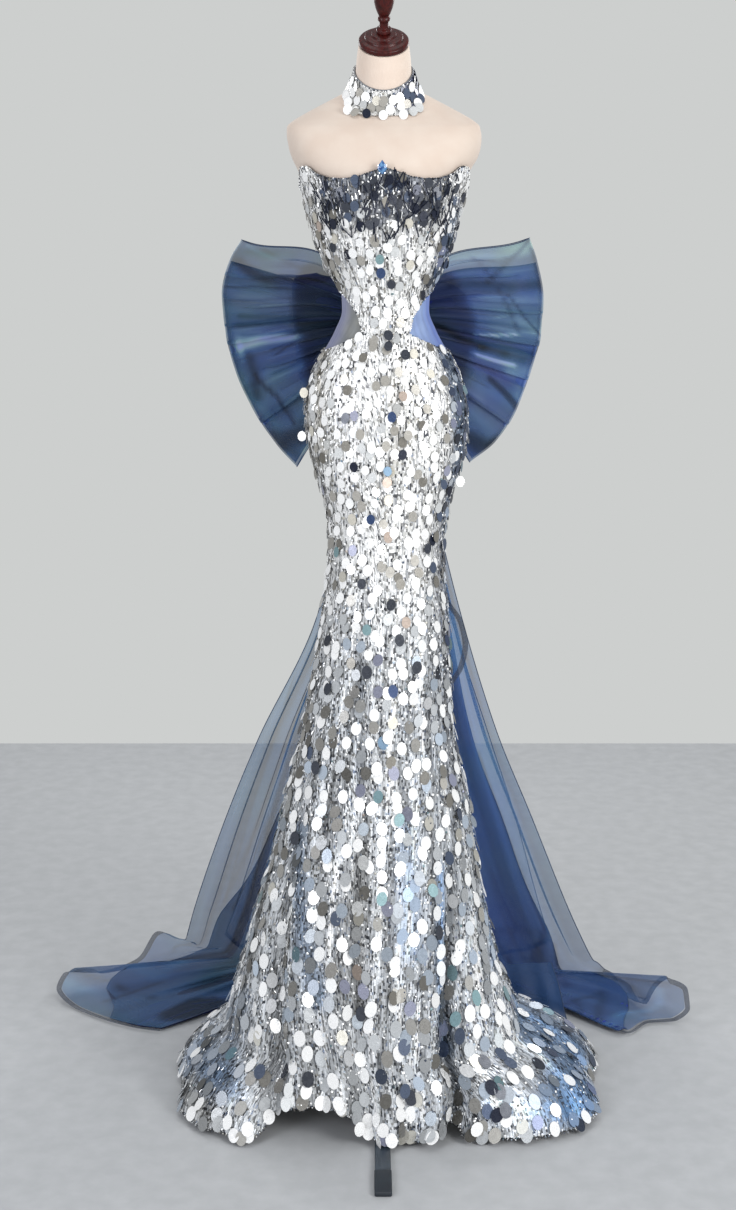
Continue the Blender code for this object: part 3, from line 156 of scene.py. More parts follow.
# Folds of the flared skirt: bearing at the knee, depth at the hem (minus sinks in, plus stands out),
# half-width in bearing, and the height at which the fold begins.
SKIRT_FOLDS = (
    (-166.0, -0.022, 7.0, 0.8), (-148.0, 0.016, 8.0, 0.7), (-131.0, -0.026, 7.0, 0.78),
    (-112.0, 0.012, 8.0, 0.66), (-94.0, -0.006, 6.5, 0.72), (-76.0, 0.004, 7.0, 0.6),
    (-61.0, 0.008, 5.0, 0.48), (-50.0, -0.026, 5.0, 0.66), (-37.0, 0.012, 5.0, 0.62),
    (-26.0, -0.01, 4.5, 0.58), (-16.0, 0.009, 4.5, 0.56), (-5.0, -0.014, 4.5, 0.7), (7.0, 0.007, 5.5, 0.6),
    (19.0, -0.009, 4.5, 0.52), (32.0, 0.006, 5.5, 0.62), (46.0, -0.045, 5.5, 0.56),
    (57.0, -0.014, 5.0, 0.52), (71.0, 0.002, 5.5, 0.5), (87.0, 0.006, 7.0, 0.6), (104.0, -0.01, 7.0, 0.74),
    (121.0, 0.014, 8.0, 0.66), (139.0, -0.026, 7.0, 0.78), (157.0, 0.016, 8.0, 0.68),
    (174.0, -0.018, 6.0, 0.82),
)

# Soft fullness of the bust: bearing, height, rise, half-width in bearing, half-height.
BUST_SHAPE = (
    (-31.0, 1.556, 0.0055, 19.0, 0.046), (31.0, 1.556, 0.0055, 19.0, 0.046),
)

# Where the hem lifts off its level, as flat-topped humps: bearing at the knee, lift, half-width.
HEM_LIFTS = (
    (-30.5, 0.058, 22.0), (34.0, 0.01, 9.0), (46.0, 0.016, 5.0), (139.0, 0.012, 9.0), (-131.0, 0.012, 9.0),
)

# Edges of the bodice and of the skirt's top over the bearing (alike on both sides of the body).
EDGE_HEIGHTS = Table("bearing neckline bodice_low skirt_top", (
    (0.0, 1.6075, 1.352, 1.3517), (8.0, 1.601, 1.352, 1.3517), (17.0, 1.5935, 1.352, 1.3517),
    (26.0, 1.5905, 1.352, 1.3517), (36.0, 1.5915, 1.3765, 1.3435), (46.0, 1.5985, 1.3915, 1.3365),
    (51.5, 1.61, 1.3985, 1.333), (60.0, 1.6085, 1.4062, 1.328), (72.0, 1.59, 1.4125, 1.323),
    (90.0, 1.575, 1.416, 1.32), (110.0, 1.562, 1.411, 1.324), (130.0, 1.55, 1.398, 1.333),
    (144.0, 1.544, 1.3765, 1.3435), (154.0, 1.541, 1.352, 1.3517), (180.0, 1.538, 1.352, 1.3517),
))

# Shoulders and neck of the form, above the part that the gown hugs.
FORM_UPPER = Table("height centre_x centre_y half_width front back squareness tilt", (
    (1.605, 0.001, 0.0, 0.137, 0.097, 0.076, 2.35, 0.0),
    (1.622, 0.002, 0.001, 0.1465, 0.091, 0.0745, 2.5, 0.0),
    (1.64, 0.002, 0.003, 0.152, 0.0825, 0.0715, 2.7, 0.0),
    (1.658, 0.001, 0.006, 0.154, 0.0735, 0.067, 2.8, 1.0),
    (1.672, 0.0, 0.009, 0.1525, 0.065, 0.062, 2.7, 3.0), (1.681, 0.0, 0.011, 0.143, 0.06, 0.059, 2.5, 6.0),
    (1.69, 0.0, 0.013, 0.127, 0.0565, 0.056, 2.35, 10.0), (1.7, 0.0, 0.015, 0.106, 0.054, 0.054, 2.2, 16.0),
    (1.71, 0.0, 0.016, 0.083, 0.052, 0.052, 2.1, 22.0), (1.7205, 0.0, 0.015, 0.058, 0.05, 0.05, 2.0, 28.0),
    (1.735, 0.0, 0.01, 0.048, 0.0465, 0.0465, 2.0, 32.0),
    (1.752, 0.0, 0.003, 0.0443, 0.044, 0.044, 2.0, 34.0),
    (1.772, 0.0, -0.007, 0.0425, 0.042, 0.042, 2.0, 34.0),
    (1.794, 0.0, -0.018, 0.0392, 0.0392, 0.0392, 2.0, NECK_TILT),
))

# Levels at which the form follows the gown's own sections, from its base to the bust.
FORM_LEVELS = (FORM_BASE, FORM_BASE + 0.004, 0.84, 0.95, 1.03, 1.10, 1.165, 1.225, 1.290, 1.335,
               1.365, 1.390, 1.420, 1.460, 1.510, 1.577)

# Turned profiles, radius against height above the foot of each piece.
CAP_PROFILE = (
    (0.01, 0.0205), (0.0185, 0.019), (0.02, 0.016), (0.0285, 0.0145), (0.0305, 0.0115), (0.0365, 0.0095),
    (0.0393, 0.0065), (0.0393, 0.0025), (0.0375, 0.0),
)
FINIAL_PROFILE = (
    (0.004, 0.098), (0.0068, 0.0945), (0.0075, 0.09), (0.0052, 0.085), (0.0078, 0.0815), (0.013, 0.074),
    (0.0158, 0.064), (0.016, 0.056), (0.014, 0.044), (0.0108, 0.034), (0.0082, 0.027), (0.0098, 0.024),
    (0.0096, 0.021), (0.0072, 0.018), (0.0074, 0.009), (0.0115, 0.006), (0.0118, 0.002), (0.0105, 0.0),
)

# Kite-shaped outline of the stone at the neckline: across, up.
JEWEL_OUTLINE = (
    (0.0, 0.0115), (0.0062, 0.003), (0.0072, -0.002), (0.004, -0.0078), (0.0, -0.01), (-0.004, -0.0078),
    (-0.0072, -0.002), (-0.0062, 0.003),
)

# Free end of each bow loop from its top corner to its bottom corner: reach from the middle, height,
# how far the cloth between knot and end is lifted, and how far it stands behind the body.
LOOP_COLUMNS = "across reach height lift behind"
LOOP_LEFT = Table(LOOP_COLUMNS, (
    (0.0, 0.238, 1.494, 0.042, 0.15), (0.12, 0.258, 1.462, 0.034, 0.158),
    (0.28, 0.274, 1.404, 0.018, 0.166), (0.46, 0.269, 1.337, 0.006, 0.172),
    (0.64, 0.252, 1.268, -0.006, 0.172), (0.8, 0.22, 1.2, -0.012, 0.168),
    (0.92, 0.182, 1.144, -0.014, 0.162), (1.0, 0.148, 1.108, -0.014, 0.156),
))
LOOP_RIGHT = Table(LOOP_COLUMNS, (
    (0.0, 0.248, 1.497, 0.036, 0.15), (0.12, 0.262, 1.46, 0.03, 0.158), (0.28, 0.275, 1.396, 0.016, 0.166),
    (0.46, 0.272, 1.333, 0.005, 0.172), (0.64, 0.256, 1.271, -0.006, 0.172),
    (0.8, 0.232, 1.205, -0.012, 0.168), (0.92, 0.196, 1.15, -0.014, 0.162),
    (1.0, 0.152, 1.116, -0.014, 0.156),
))

# A tail is a fan of cloth from the knot to the floor. Each row crosses it at one distance down: x, y
# and z of its far edge, x, y and z of its near edge, and the depth of its folds. The last part runs out
# to the hem line in the next table.
TAIL_LEFT = (
    (-0.016, 0.1015, 1.3187, -0.002, 0.1015, 1.3187, 0.0005),
    (-0.048, 0.146, 1.215, -0.005, 0.142, 1.215, 0.004), (-0.074, 0.168, 1.06, -0.008, 0.154, 1.06, 0.007),
    (-0.11, 0.218, 0.85, -0.012, 0.168, 0.85, 0.01), (-0.236, 0.36, 0.55, -0.025, 0.225, 0.55, 0.015),
    (-0.306, 0.455, 0.365, -0.04, 0.285, 0.365, 0.015), (-0.384, 0.56, 0.13, -0.08, 0.37, 0.13, 0.011),
    (-0.41, 0.59, 0.04, -0.16, 0.41, 0.026, 0.005),
)
TAIL_RIGHT = (
    (0.016, 0.1015, 1.3187, 0.002, 0.1015, 1.3187, 0.0005),
    (0.05, 0.146, 1.215, 0.005, 0.142, 1.215, 0.004), (0.086, 0.17, 1.06, 0.008, 0.154, 1.06, 0.007),
    (0.138, 0.205, 0.85, 0.012, 0.168, 0.85, 0.01), (0.216, 0.3, 0.59, 0.025, 0.225, 0.56, 0.015),
    (0.29, 0.37, 0.4, 0.04, 0.285, 0.37, 0.015), (0.396, 0.455, 0.13, 0.08, 0.37, 0.13, 0.011),
    (0.438, 0.48, 0.042, 0.16, 0.41, 0.026, 0.005),
)
HEM_COLUMNS = "across x y z"
HEM_LEFT = Table(HEM_COLUMNS, (
    (0.0, -0.43, 0.61, 0.034), (0.1, -0.47, 0.585, 0.06), (0.22, -0.5, 0.505, 0.036),
    (0.36, -0.575, 0.455, 0.028), (0.46, -0.638, 0.435, 0.036), (0.54, -0.648, 0.392, 0.024),
    (0.64, -0.6, 0.335, 0.005), (0.78, -0.505, 0.268, 0.005), (0.9, -0.458, 0.248, 0.005),
    (1.0, -0.425, 0.24, 0.005),
))
HEM_RIGHT = Table(HEM_COLUMNS, (
    (0.0, 0.452, 0.446, 0.034), (0.12, 0.479, 0.432, 0.028), (0.22, 0.502, 0.412, 0.02),
    (0.3, 0.514, 0.362, 0.008), (0.35, 0.526, 0.346, 0.01), (0.4, 0.544, 0.346, 0.044),
    (0.46, 0.57, 0.331, 0.07), (0.52, 0.599, 0.311, 0.06), (0.57, 0.602, 0.29, 0.028),
    (0.62, 0.57, 0.279, 0.006), (0.69, 0.523, 0.275, 0.005), (0.77, 0.473, 0.23, 0.005),
    (0.83, 0.433, 0.285, 0.005), (0.88, 0.399, 0.374, 0.005), (0.93, 0.361, 0.366, 0.005),
    (1.0, 0.275, 0.379, 0.005),
))

# A narrower second layer hangs behind each tail and ends on the floor behind it.
UNDER_LEFT = (
    (-0.013, 0.1075, 1.3187, -0.002, 0.1075, 1.3187, 0.0005),
    (-0.034, 0.164, 1.215, -0.006, 0.16, 1.215, 0.003), (-0.056, 0.196, 1.06, -0.01, 0.18, 1.06, 0.004),
    (-0.085, 0.248, 0.85, -0.014, 0.206, 0.85, 0.006), (-0.172, 0.372, 0.55, -0.028, 0.275, 0.55, 0.008),
    (-0.23, 0.46, 0.365, -0.042, 0.34, 0.365, 0.008), (-0.305, 0.585, 0.11, -0.082, 0.44, 0.11, 0.006),
)
UNDER_RIGHT = (
    (0.013, 0.1075, 1.3187, 0.002, 0.1075, 1.3187, 0.0005),
    (0.038, 0.164, 1.215, 0.006, 0.16, 1.215, 0.003), (0.07, 0.196, 1.06, 0.01, 0.18, 1.06, 0.004),
    (0.118, 0.246, 0.85, 0.014, 0.206, 0.85, 0.006), (0.21, 0.38, 0.55, 0.028, 0.275, 0.55, 0.008),
    (0.268, 0.465, 0.365, 0.042, 0.34, 0.365, 0.008), (0.332, 0.565, 0.13, 0.082, 0.44, 0.11, 0.006),
)
HEM_UNDER_LEFT = Table(HEM_COLUMNS, (
    (0.0, -0.33, 0.62, 0.04), (0.35, -0.29, 0.605, 0.012), (0.7, -0.2, 0.56, 0.005),
    (1.0, -0.11, 0.5, 0.005),
))
HEM_UNDER_RIGHT = Table(HEM_COLUMNS, (
    (0.0, 0.362, 0.598, 0.034), (0.35, 0.3, 0.6, 0.01), (0.7, 0.205, 0.555, 0.005), (1.0, 0.11, 0.5, 0.005),
))

# A short end of the bow hangs behind the right thigh, where its outer edge rolls out in an arc.
SHORT_END = (
    (0.015, 0.0955, 1.3187, 0.004, 0.0955, 1.3187, 0.0005), (0.044, 0.129, 1.2, 0.01, 0.125, 1.2, 0.002),
    (0.064, 0.142, 1.06, 0.014, 0.132, 1.06, 0.003), (0.084, 0.15, 0.94, 0.018, 0.137, 0.94, 0.004),
    (0.108, 0.155, 0.872, 0.022, 0.139, 0.872, 0.003), (0.135, 0.16, 0.828, 0.025, 0.141, 0.828, 0.003),
    (0.1435, 0.162, 0.785, 0.028, 0.143, 0.785, 0.003), (0.135, 0.16, 0.745, 0.03, 0.145, 0.745, 0.003),
    (0.117, 0.156, 0.718, 0.032, 0.146, 0.722, 0.002),
)
LOOP_SPAN = (0.24, 0.38)   # metres for the whole reach and height of a loop
TAIL_SPAN = (1.40, 0.30)   # metres for the whole length and mean width of a tail
LOOP_CAST = (0.505, 0.752, 0.938)  # blue that the loops' pale cloth takes in its shade
# Painted highlight and shade lines along each loop's free end, where the cloth turns over.
LOOP_RIMS = (
    (0.55, 1.6, 0.0, 2, (0.997, 0.0), (0.997, 1.0)), (-0.45, 1.8, 0.0, 2, (0.975, 0.05), (0.975, 0.95)),
)
# Painted highlights and shade lines for the fine creases of a loop's gathers, light and dark by turns.
LOOP_GATHER_LINES = tuple(
    (-0.34 if row % 2 else 0.26, 2.0, 0.0, 2,
     (0.36 + 0.12 * math.sin(1.7 * row), 0.15 + 0.047 * row + 0.010 * math.sin(2.4 * row)),
     (0.80 + 0.15 * math.cos(2.1 * row), 0.15 + 0.048 * row + 0.014 * math.sin(2.4 * row)))
    for row in range(17))
SHORT_END_ROLL = 0.71      # share of its length at which the edge starts to roll and the braid begins
ZIP_LEVELS = (1.165, 1.534)        # lower and upper ends of the zip's tape

# Soft creases of the worn cloth: bearing and height of the middle, depth (minus sinks in), half-width
# in bearing, half-height, and how far the line leans round the body over its height.
CREASES = (
    (-70.0, 1.54, -0.0022, 5.0, 0.04, 260.0), (-78.0, 1.5, 0.0018, 5.0, 0.045, 240.0),
    (-62.0, 1.47, -0.002, 4.0, 0.04, 200.0), (-84.0, 1.455, 0.0016, 5.0, 0.035, 160.0),
    (66.0, 1.535, -0.002, 5.0, 0.04, -240.0), (76.0, 1.492, 0.0018, 5.0, 0.045, -220.0),
    (60.0, 1.462, -0.0018, 4.0, 0.038, -180.0), (86.0, 1.45, 0.0015, 5.0, 0.035, -150.0),
    (-14.0, 1.372, -0.001, 4.0, 0.03, 90.0), (12.0, 1.378, -0.001, 4.0, 0.03, -70.0),
    (-40.0, 1.3, -0.0014, 6.0, 0.028, 420.0), (38.0, 1.296, -0.0014, 6.0, 0.028, -400.0),
    (-66.0, 1.262, 0.0012, 6.0, 0.03, 380.0), (64.0, 1.258, 0.0012, 6.0, 0.03, -380.0),
    (-20.0, 1.128, -0.0013, 9.0, 0.024, 700.0), (24.0, 1.12, -0.0013, 9.0, 0.024, -640.0),
    (2.0, 1.04, -0.001, 12.0, 0.02, 300.0), (-130.0, 1.42, -0.0014, 6.0, 0.04, 200.0),
    (132.0, 1.43, -0.0014, 6.0, 0.04, -200.0), (-118.0, 1.27, 0.0014, 7.0, 0.034, -340.0),
    (120.0, 1.266, 0.0014, 7.0, 0.034, 340.0), (-152.0, 1.15, -0.0018, 8.0, 0.03, -420.0),
    (150.0, 1.144, -0.0018, 8.0, 0.03, 420.0), (172.0, 1.06, -0.0015, 9.0, 0.028, 260.0),
)

# Narrow ripples between the skirt's folds: bearing at the knee, depth at the hem, half-width, start.
RIPPLES = (
    (-171.0, 0.005, 2.4, 0.6), (-157.0, -0.0045, 2.6, 0.55), (-140.0, -0.004, 2.2, 0.5),
    (-122.0, 0.005, 2.6, 0.56), (-103.0, -0.0045, 2.4, 0.52), (-85.0, 0.004, 2.6, 0.5),
    (-69.0, -0.0045, 2.2, 0.46), (-56.0, -0.0035, 1.8, 0.5), (-44.0, 0.0045, 2.0, 0.66),
    (-31.0, -0.004, 1.8, 0.7), (-21.0, 0.004, 1.7, 0.62), (-10.5, -0.0035, 1.6, 0.66),
    (1.5, 0.004, 1.7, 0.72), (12.5, -0.0045, 1.9, 0.64), (25.5, 0.0045, 2.0, 0.6),
    (37.0, -0.004, 2.0, 0.66), (52.0, 0.004, 2.0, 0.46), (64.0, -0.004, 2.2, 0.48),
    (79.0, 0.0045, 2.6, 0.5), (95.0, -0.005, 2.6, 0.56), (112.0, 0.0045, 2.4, 0.54),
    (130.0, -0.0045, 2.4, 0.6), (148.0, 0.005, 2.6, 0.58), (165.0, -0.0045, 2.4, 0.62),
)

GOWN_SPAN = (0.0030, 1.0)  # metres for a degree of bearing and for a metre of height

# Upright streaks of light on the skirt: waves round the body, drift with height, phase and strength.
STREAK_WAVES = (
    (17.0, 5.1, 0.3, 0.55), (29.0, 8.3, 1.7, 0.5), (43.0, 11.7, 2.9, 0.45), (71.0, 17.9, 4.1, 0.4),
)

# Pleats folded over themselves in gathered organza: share across, half-width and reach of the fold in
# share of the width, depth in metres, and the shares of the length where it starts and dies out.
LOOP_PLEATS_LEFT = (
    (0.09, 0.016, 0.014, 0.002, -0.2, 0.7), (0.19, 0.018, 0.022, 0.003, -0.2, 1.2),
    (0.27, 0.012, 0.01, 0.0018, -0.2, 0.6), (0.34, 0.016, 0.02, 0.003, -0.2, 0.92),
    (0.425, 0.014, 0.018, 0.0026, -0.2, 1.2), (0.505, 0.014, 0.02, 0.003, -0.2, 1.2),
    (0.58, 0.012, 0.01, 0.002, -0.2, 0.55), (0.655, 0.016, 0.02, 0.003, -0.2, 0.85),
    (0.74, 0.014, 0.014, 0.0022, -0.2, 0.62), (0.83, 0.018, 0.022, 0.003, 0.1, 1.2),
    (0.92, 0.014, 0.014, 0.002, -0.2, 0.8),
)
LOOP_PLEATS_RIGHT = (
    (0.08, 0.014, 0.012, 0.002, -0.2, 0.75), (0.17, 0.016, 0.018, 0.0026, -0.2, 0.9),
    (0.26, 0.014, 0.014, 0.0022, -0.2, 0.6), (0.345, 0.014, 0.018, 0.0028, -0.2, 1.2),
    (0.43, 0.012, 0.012, 0.0022, -0.2, 0.7), (0.5, 0.016, 0.026, 0.004, -0.2, 1.2),
    (0.585, 0.014, 0.014, 0.0022, -0.2, 0.6), (0.67, 0.018, 0.022, 0.003, -0.2, 1.2),
    (0.76, 0.014, 0.014, 0.0022, -0.2, 0.55), (0.85, 0.016, 0.018, 0.0026, -0.2, 1.2),
    (0.93, 0.014, 0.012, 0.002, -0.2, 0.8),
)
TAIL_PLEATS_LEFT = (
    (0.12, 0.014, 0.016, 0.004, 0.05, 0.9), (0.22, 0.01, 0.011, 0.003, 0.1, 0.7),
    (0.33, 0.016, 0.022, 0.006, 0.08, 0.98), (0.47, 0.014, 0.018, 0.0045, 0.05, 0.85),
    (0.58, 0.01, 0.012, 0.0035, 0.2, 0.92), (0.68, 0.016, 0.024, 0.006, 0.1, 0.97),
    (0.8, 0.014, 0.018, 0.005, 0.05, 0.95), (0.9, 0.01, 0.012, 0.003, 0.1, 0.8),
)
TAIL_PLEATS_RIGHT = (
    (0.11, 0.012, 0.013, 0.0035, 0.05, 0.88), (0.56, 0.012, 0.012, 0.003, 0.05, 0.9),
    (0.86, 0.012, 0.012, 0.003, 0.05, 0.9),
)

# Strokes of light and shade painted into the cloth's tints: light (minus is painted shade), half-width in
# mm, hue (plus is violet on organza and warm on sequins, minus is teal or cool), crispness of the edge,
# then points of the line as shares (along, across), or as (bearing, height) on the gown.
LOOP_STROKES_LEFT = (
    (-0.22, 12, -0.9, 2, (0.97, 0.05), (0.55, 0.06)), (0.45, 4.5, -0.2, 2, (0.93, 0.015), (0.62, 0.095)),
    (-0.4, 3.5, 0, 2, (0.806, 0.018), (0.583, 0.107), (0.406, 0.155)),
    (-1.25, 9.5, 0.3, 3, (0.928, 0.122), (0.802, 0.165), (0.664, 0.198), (0.484, 0.21), (0.311, 0.175),
     (0.181, 0.07)),
    (-0.4, 11, -0.8, 2, (1.0, 0.122), (0.882, 0.052), (0.722, 0.058)),
    (-0.8, 2, 0, 2, (0.996, 0.247), (0.759, 0.235), (0.458, 0.253)),
    (0.12, 17, 0.6, 2, (0.936, 0.305), (0.51, 0.312)),
    (-0.75, 5.5, -0.7, 2, (0.872, 0.383), (0.479, 0.413)),
    (-0.6, 5, -0.7, 2, (0.898, 0.425), (0.469, 0.448)),
    (-0.5, 2.8, -0.3, 2, (0.889, 0.475), (0.458, 0.505)),
    (1.1, 8.5, -0.3, 2, (0.916, 0.532), (0.718, 0.522), (0.458, 0.545)),
    (0.6, 10.0, -0.2, 2, (0.9, 0.49), (0.6, 0.5)), (0.5, 6, -0.3, 2, (0.914, 0.508), (0.911, 0.593)),
    (-1.1, 1.6, 0, 2, (0.669, 0.608), (0.547, 0.575), (0.448, 0.557)),
    (-0.8, 1.4, 0, 2, (0.689, 0.578), (0.505, 0.557)),
    (-0.9, 9, -0.2, 2, (0.864, 0.588), (0.861, 0.67), (0.916, 0.745)),
    (-1.2, 4, 0.1, 3, (0.861, 0.67), (0.835, 0.72), (0.772, 0.792), (0.759, 0.875), (0.768, 0.905)),
    (0.18, 14, -0.4, 2, (0.768, 0.688), (0.51, 0.7)),
    (0.15, 8, -0.3, 2, (0.952, 0.748), (0.901, 0.853), (0.908, 0.897)),
    (-1, 12, 0.2, 3, (0.965, 0.907), (0.823, 0.95), (0.722, 0.975)),
    (-0.5, 6, 0, 2, (0.955, 0.94), (0.908, 1.0)), (0.6, 5, -0.3, 2, (0.922, 0.998), (0.802, 1.0)),
    (-1.35, 45, 0.15, 9, (0.287, 0.19), (0.311, 0.343), (0.297, 0.545), (0.282, 0.682), (0.336, 0.845),
     (0.411, 0.975)),
    (-0.6, 10, -0.9, 2, (0.437, 0.465), (0.169, 0.48)),
    (-0.1, 12, -0.6, 2, (0.97, 0.307), (0.993, 0.583), (0.982, 0.753)),
)
LOOP_STROKES_RIGHT = (
    (-0.15, 14, 0.2, 2, (0.736, 0.052), (0.955, 0.083), (0.963, 0.158)),
    (-0.75, 3.6, 0, 2, (0.987, 0.005), (0.798, 0.088), (0.599, 0.203)),
    (-0.45, 3, 0, 2, (0.516, 0.043), (0.614, 0.145), (0.639, 0.182)),
    (-0.6, 3, 0, 2, (0.674, 0.23), (0.75, 0.338), (0.838, 0.47)),
    (-0.9, 1.8, 0, 2, (0.741, 0.258), (0.864, 0.372), (0.992, 0.458)),
    (-0.35, 2.8, 0, 2, (0.361, 0.052), (0.722, 0.098), (0.785, 0.072)),
    (-0.65, 9, -0.3, 2, (0.341, 0.198), (0.65, 0.215), (0.977, 0.22)),
    (-0.9, 4.5, 0, 2, (1.0, 0.07), (1.0, 0.185), (1.0, 0.245)),
    (0.25, 12, 0.1, 2, (0.417, 0.297), (0.713, 0.273), (0.969, 0.288)),
    (0.45, 1.2, -0.2, 2, (0.505, 0.278), (0.713, 0.268)),
    (0.6, 1.3, -0.2, 2, (0.65, 0.393), (0.736, 0.372)), (1.1, 2.6, -0.3, 2, (0.526, 0.517), (0.838, 0.463)),
    (0.3, 10, 0, 2, (0.811, 0.388), (0.989, 0.445)),
    (-1.45, 8.5, -0.6, 2, (0.255, 0.495), (0.427, 0.562), (0.6, 0.583)),
    (-0.8, 8.0, -0.6, 2, (0.6, 0.583), (0.77, 0.59)), (-0.35, 7.0, -0.5, 2, (0.77, 0.59), (0.92, 0.6)),
    (-0.35, 11, 0, 2, (0.45, 0.25), (0.76, 0.25)), (-0.55, 24, 0.3, 3, (0.48, 0.74), (0.54, 0.9)),
    (0.6, 18, 0.1, 2, (0.3, 0.04), (0.92, 0.04)), (-0.55, 9, -0.5, 2, (0.531, 0.54), (0.989, 0.562)),
    (1.6, 3.2, -0.4, 2, (0.552, 0.63), (0.727, 0.635), (0.861, 0.63)),
    (0.5, 12, -0.3, 2, (0.842, 0.67), (1.0, 0.647), (0.984, 0.753)),
    (-0.25, 12, 0.8, 2, (0.589, 0.685), (0.842, 0.705)),
    (-1.1, 5.5, 0, 3, (0.708, 0.73), (0.878, 0.765), (1.0, 0.79)),
    (0.06, 20, 0.7, 2, (0.664, 0.848), (0.974, 0.86)),
    (-1.3, 9.5, -0.1, 3, (0.819, 0.968), (0.959, 0.955), (0.999, 0.922)),
    (0.25, 6, 0, 2, (0.999, 0.905), (0.999, 0.835), (1.0, 0.78)),
    (-1.05, 45, 0.4, 9, (0.21, 0.212), (0.326, 0.443), (0.331, 0.557), (0.341, 0.7), (0.331, 0.897)),
)
TAIL_STROKES_LEFT = (
    (-0.32, 300, 0.45, 4, (0.82, 0.5), (1.0, 0.5)),
    (-0.7, 2.8, 0, 2, (0.302, 0.0), (0.422, 0.141), (0.713, 0.181)),
    (-0.6, 3.4, 0, 2, (0.352, 0.209), (0.422, 0.228), (0.603, 0.222), (0.74, 0.166)),
    (-0.85, 3.2, 0, 2, (0.417, 0.344), (0.56, 0.35), (0.723, 0.244)),
    (-0.25, 30, -0.4, 2, (0.46, 0.131), (0.562, 0.175), (0.67, 0.203)),
    (-0.6, 3, 0, 2, (0.922, 0.291), (0.91, 0.169), (0.77, 0.075)),
    (-0.5, 3, 0, 2, (0.978, 0.353), (0.963, 0.275), (0.97, 0.178)),
    (-0.15, 16, 0.35, 2, (0.988, 0.434), (0.963, 0.606), (0.91, 0.609), (0.843, 0.481), (0.755, 0.309)),
    (-1.35, 30, -0.3, 7, (0.955, 0.913), (0.92, 0.888), (0.917, 0.997), (0.94, 1.0)),
    (-0.2, 18, -0.9, 2, (0.998, 0.688), (1.0, 0.788), (1.0, 0.981)),
    (-0.35, 20, -0.9, 2, (0.883, 0.731), (0.79, 0.447)),
    (0.45, 11, -0.5, 2, (0.998, 0.509), (0.965, 0.603)),
    (-0.8, 2.6, 0, 2, (0.993, 0.441), (0.95, 0.547), (0.938, 0.694)),
    (-0.6, 2.2, 0, 2, (0.973, 0.644), (0.94, 0.628), (0.91, 0.609)),
    (0.25, 12, -0.4, 2, (0.932, 0.419), (0.905, 0.559), (0.868, 0.409)),
)
TAIL_STROKES_RIGHT = (
    (-0.38, 300, 0.4, 4, (0.82, 0.5), (1.0, 0.5)),
    (-0.8, 3.2, 0, 2, (0.48, 0.241), (0.605, 0.228), (0.74, 0.209), (0.917, 0.853)),
    (-0.4, 3, 0, 2, (0.647, 0.406), (0.733, 0.375), (0.863, 0.734)),
    (-0.45, 6, 0, 2, (0.743, 0.519), (0.745, 0.219), (0.883, 0.603)),
    (-1.2, 10, -0.3, 3, (0.875, 1.0), (0.925, 0.906)),
    (0.12, 16, 0.3, 2, (0.77, 0.197), (0.953, 0.925), (1.0, 1.0)),
    (-1, 3.6, 0, 2, (0.763, 0.181), (0.917, 0.459), (0.955, 0.569)),
    (-0.5, 5, 0, 2, (0.92, 0.834), (0.917, 0.591), (0.968, 0.781)),
    (0.5, 6, -0.3, 2, (1.0, 0.978), (0.973, 0.694), (0.973, 0.531)),
    (0.25, 10, -0.4, 2, (0.978, 0.709), (0.995, 0.694)), (-0.6, 4, 0, 2, (0.93, 0.731), (0.995, 1.0)),
)
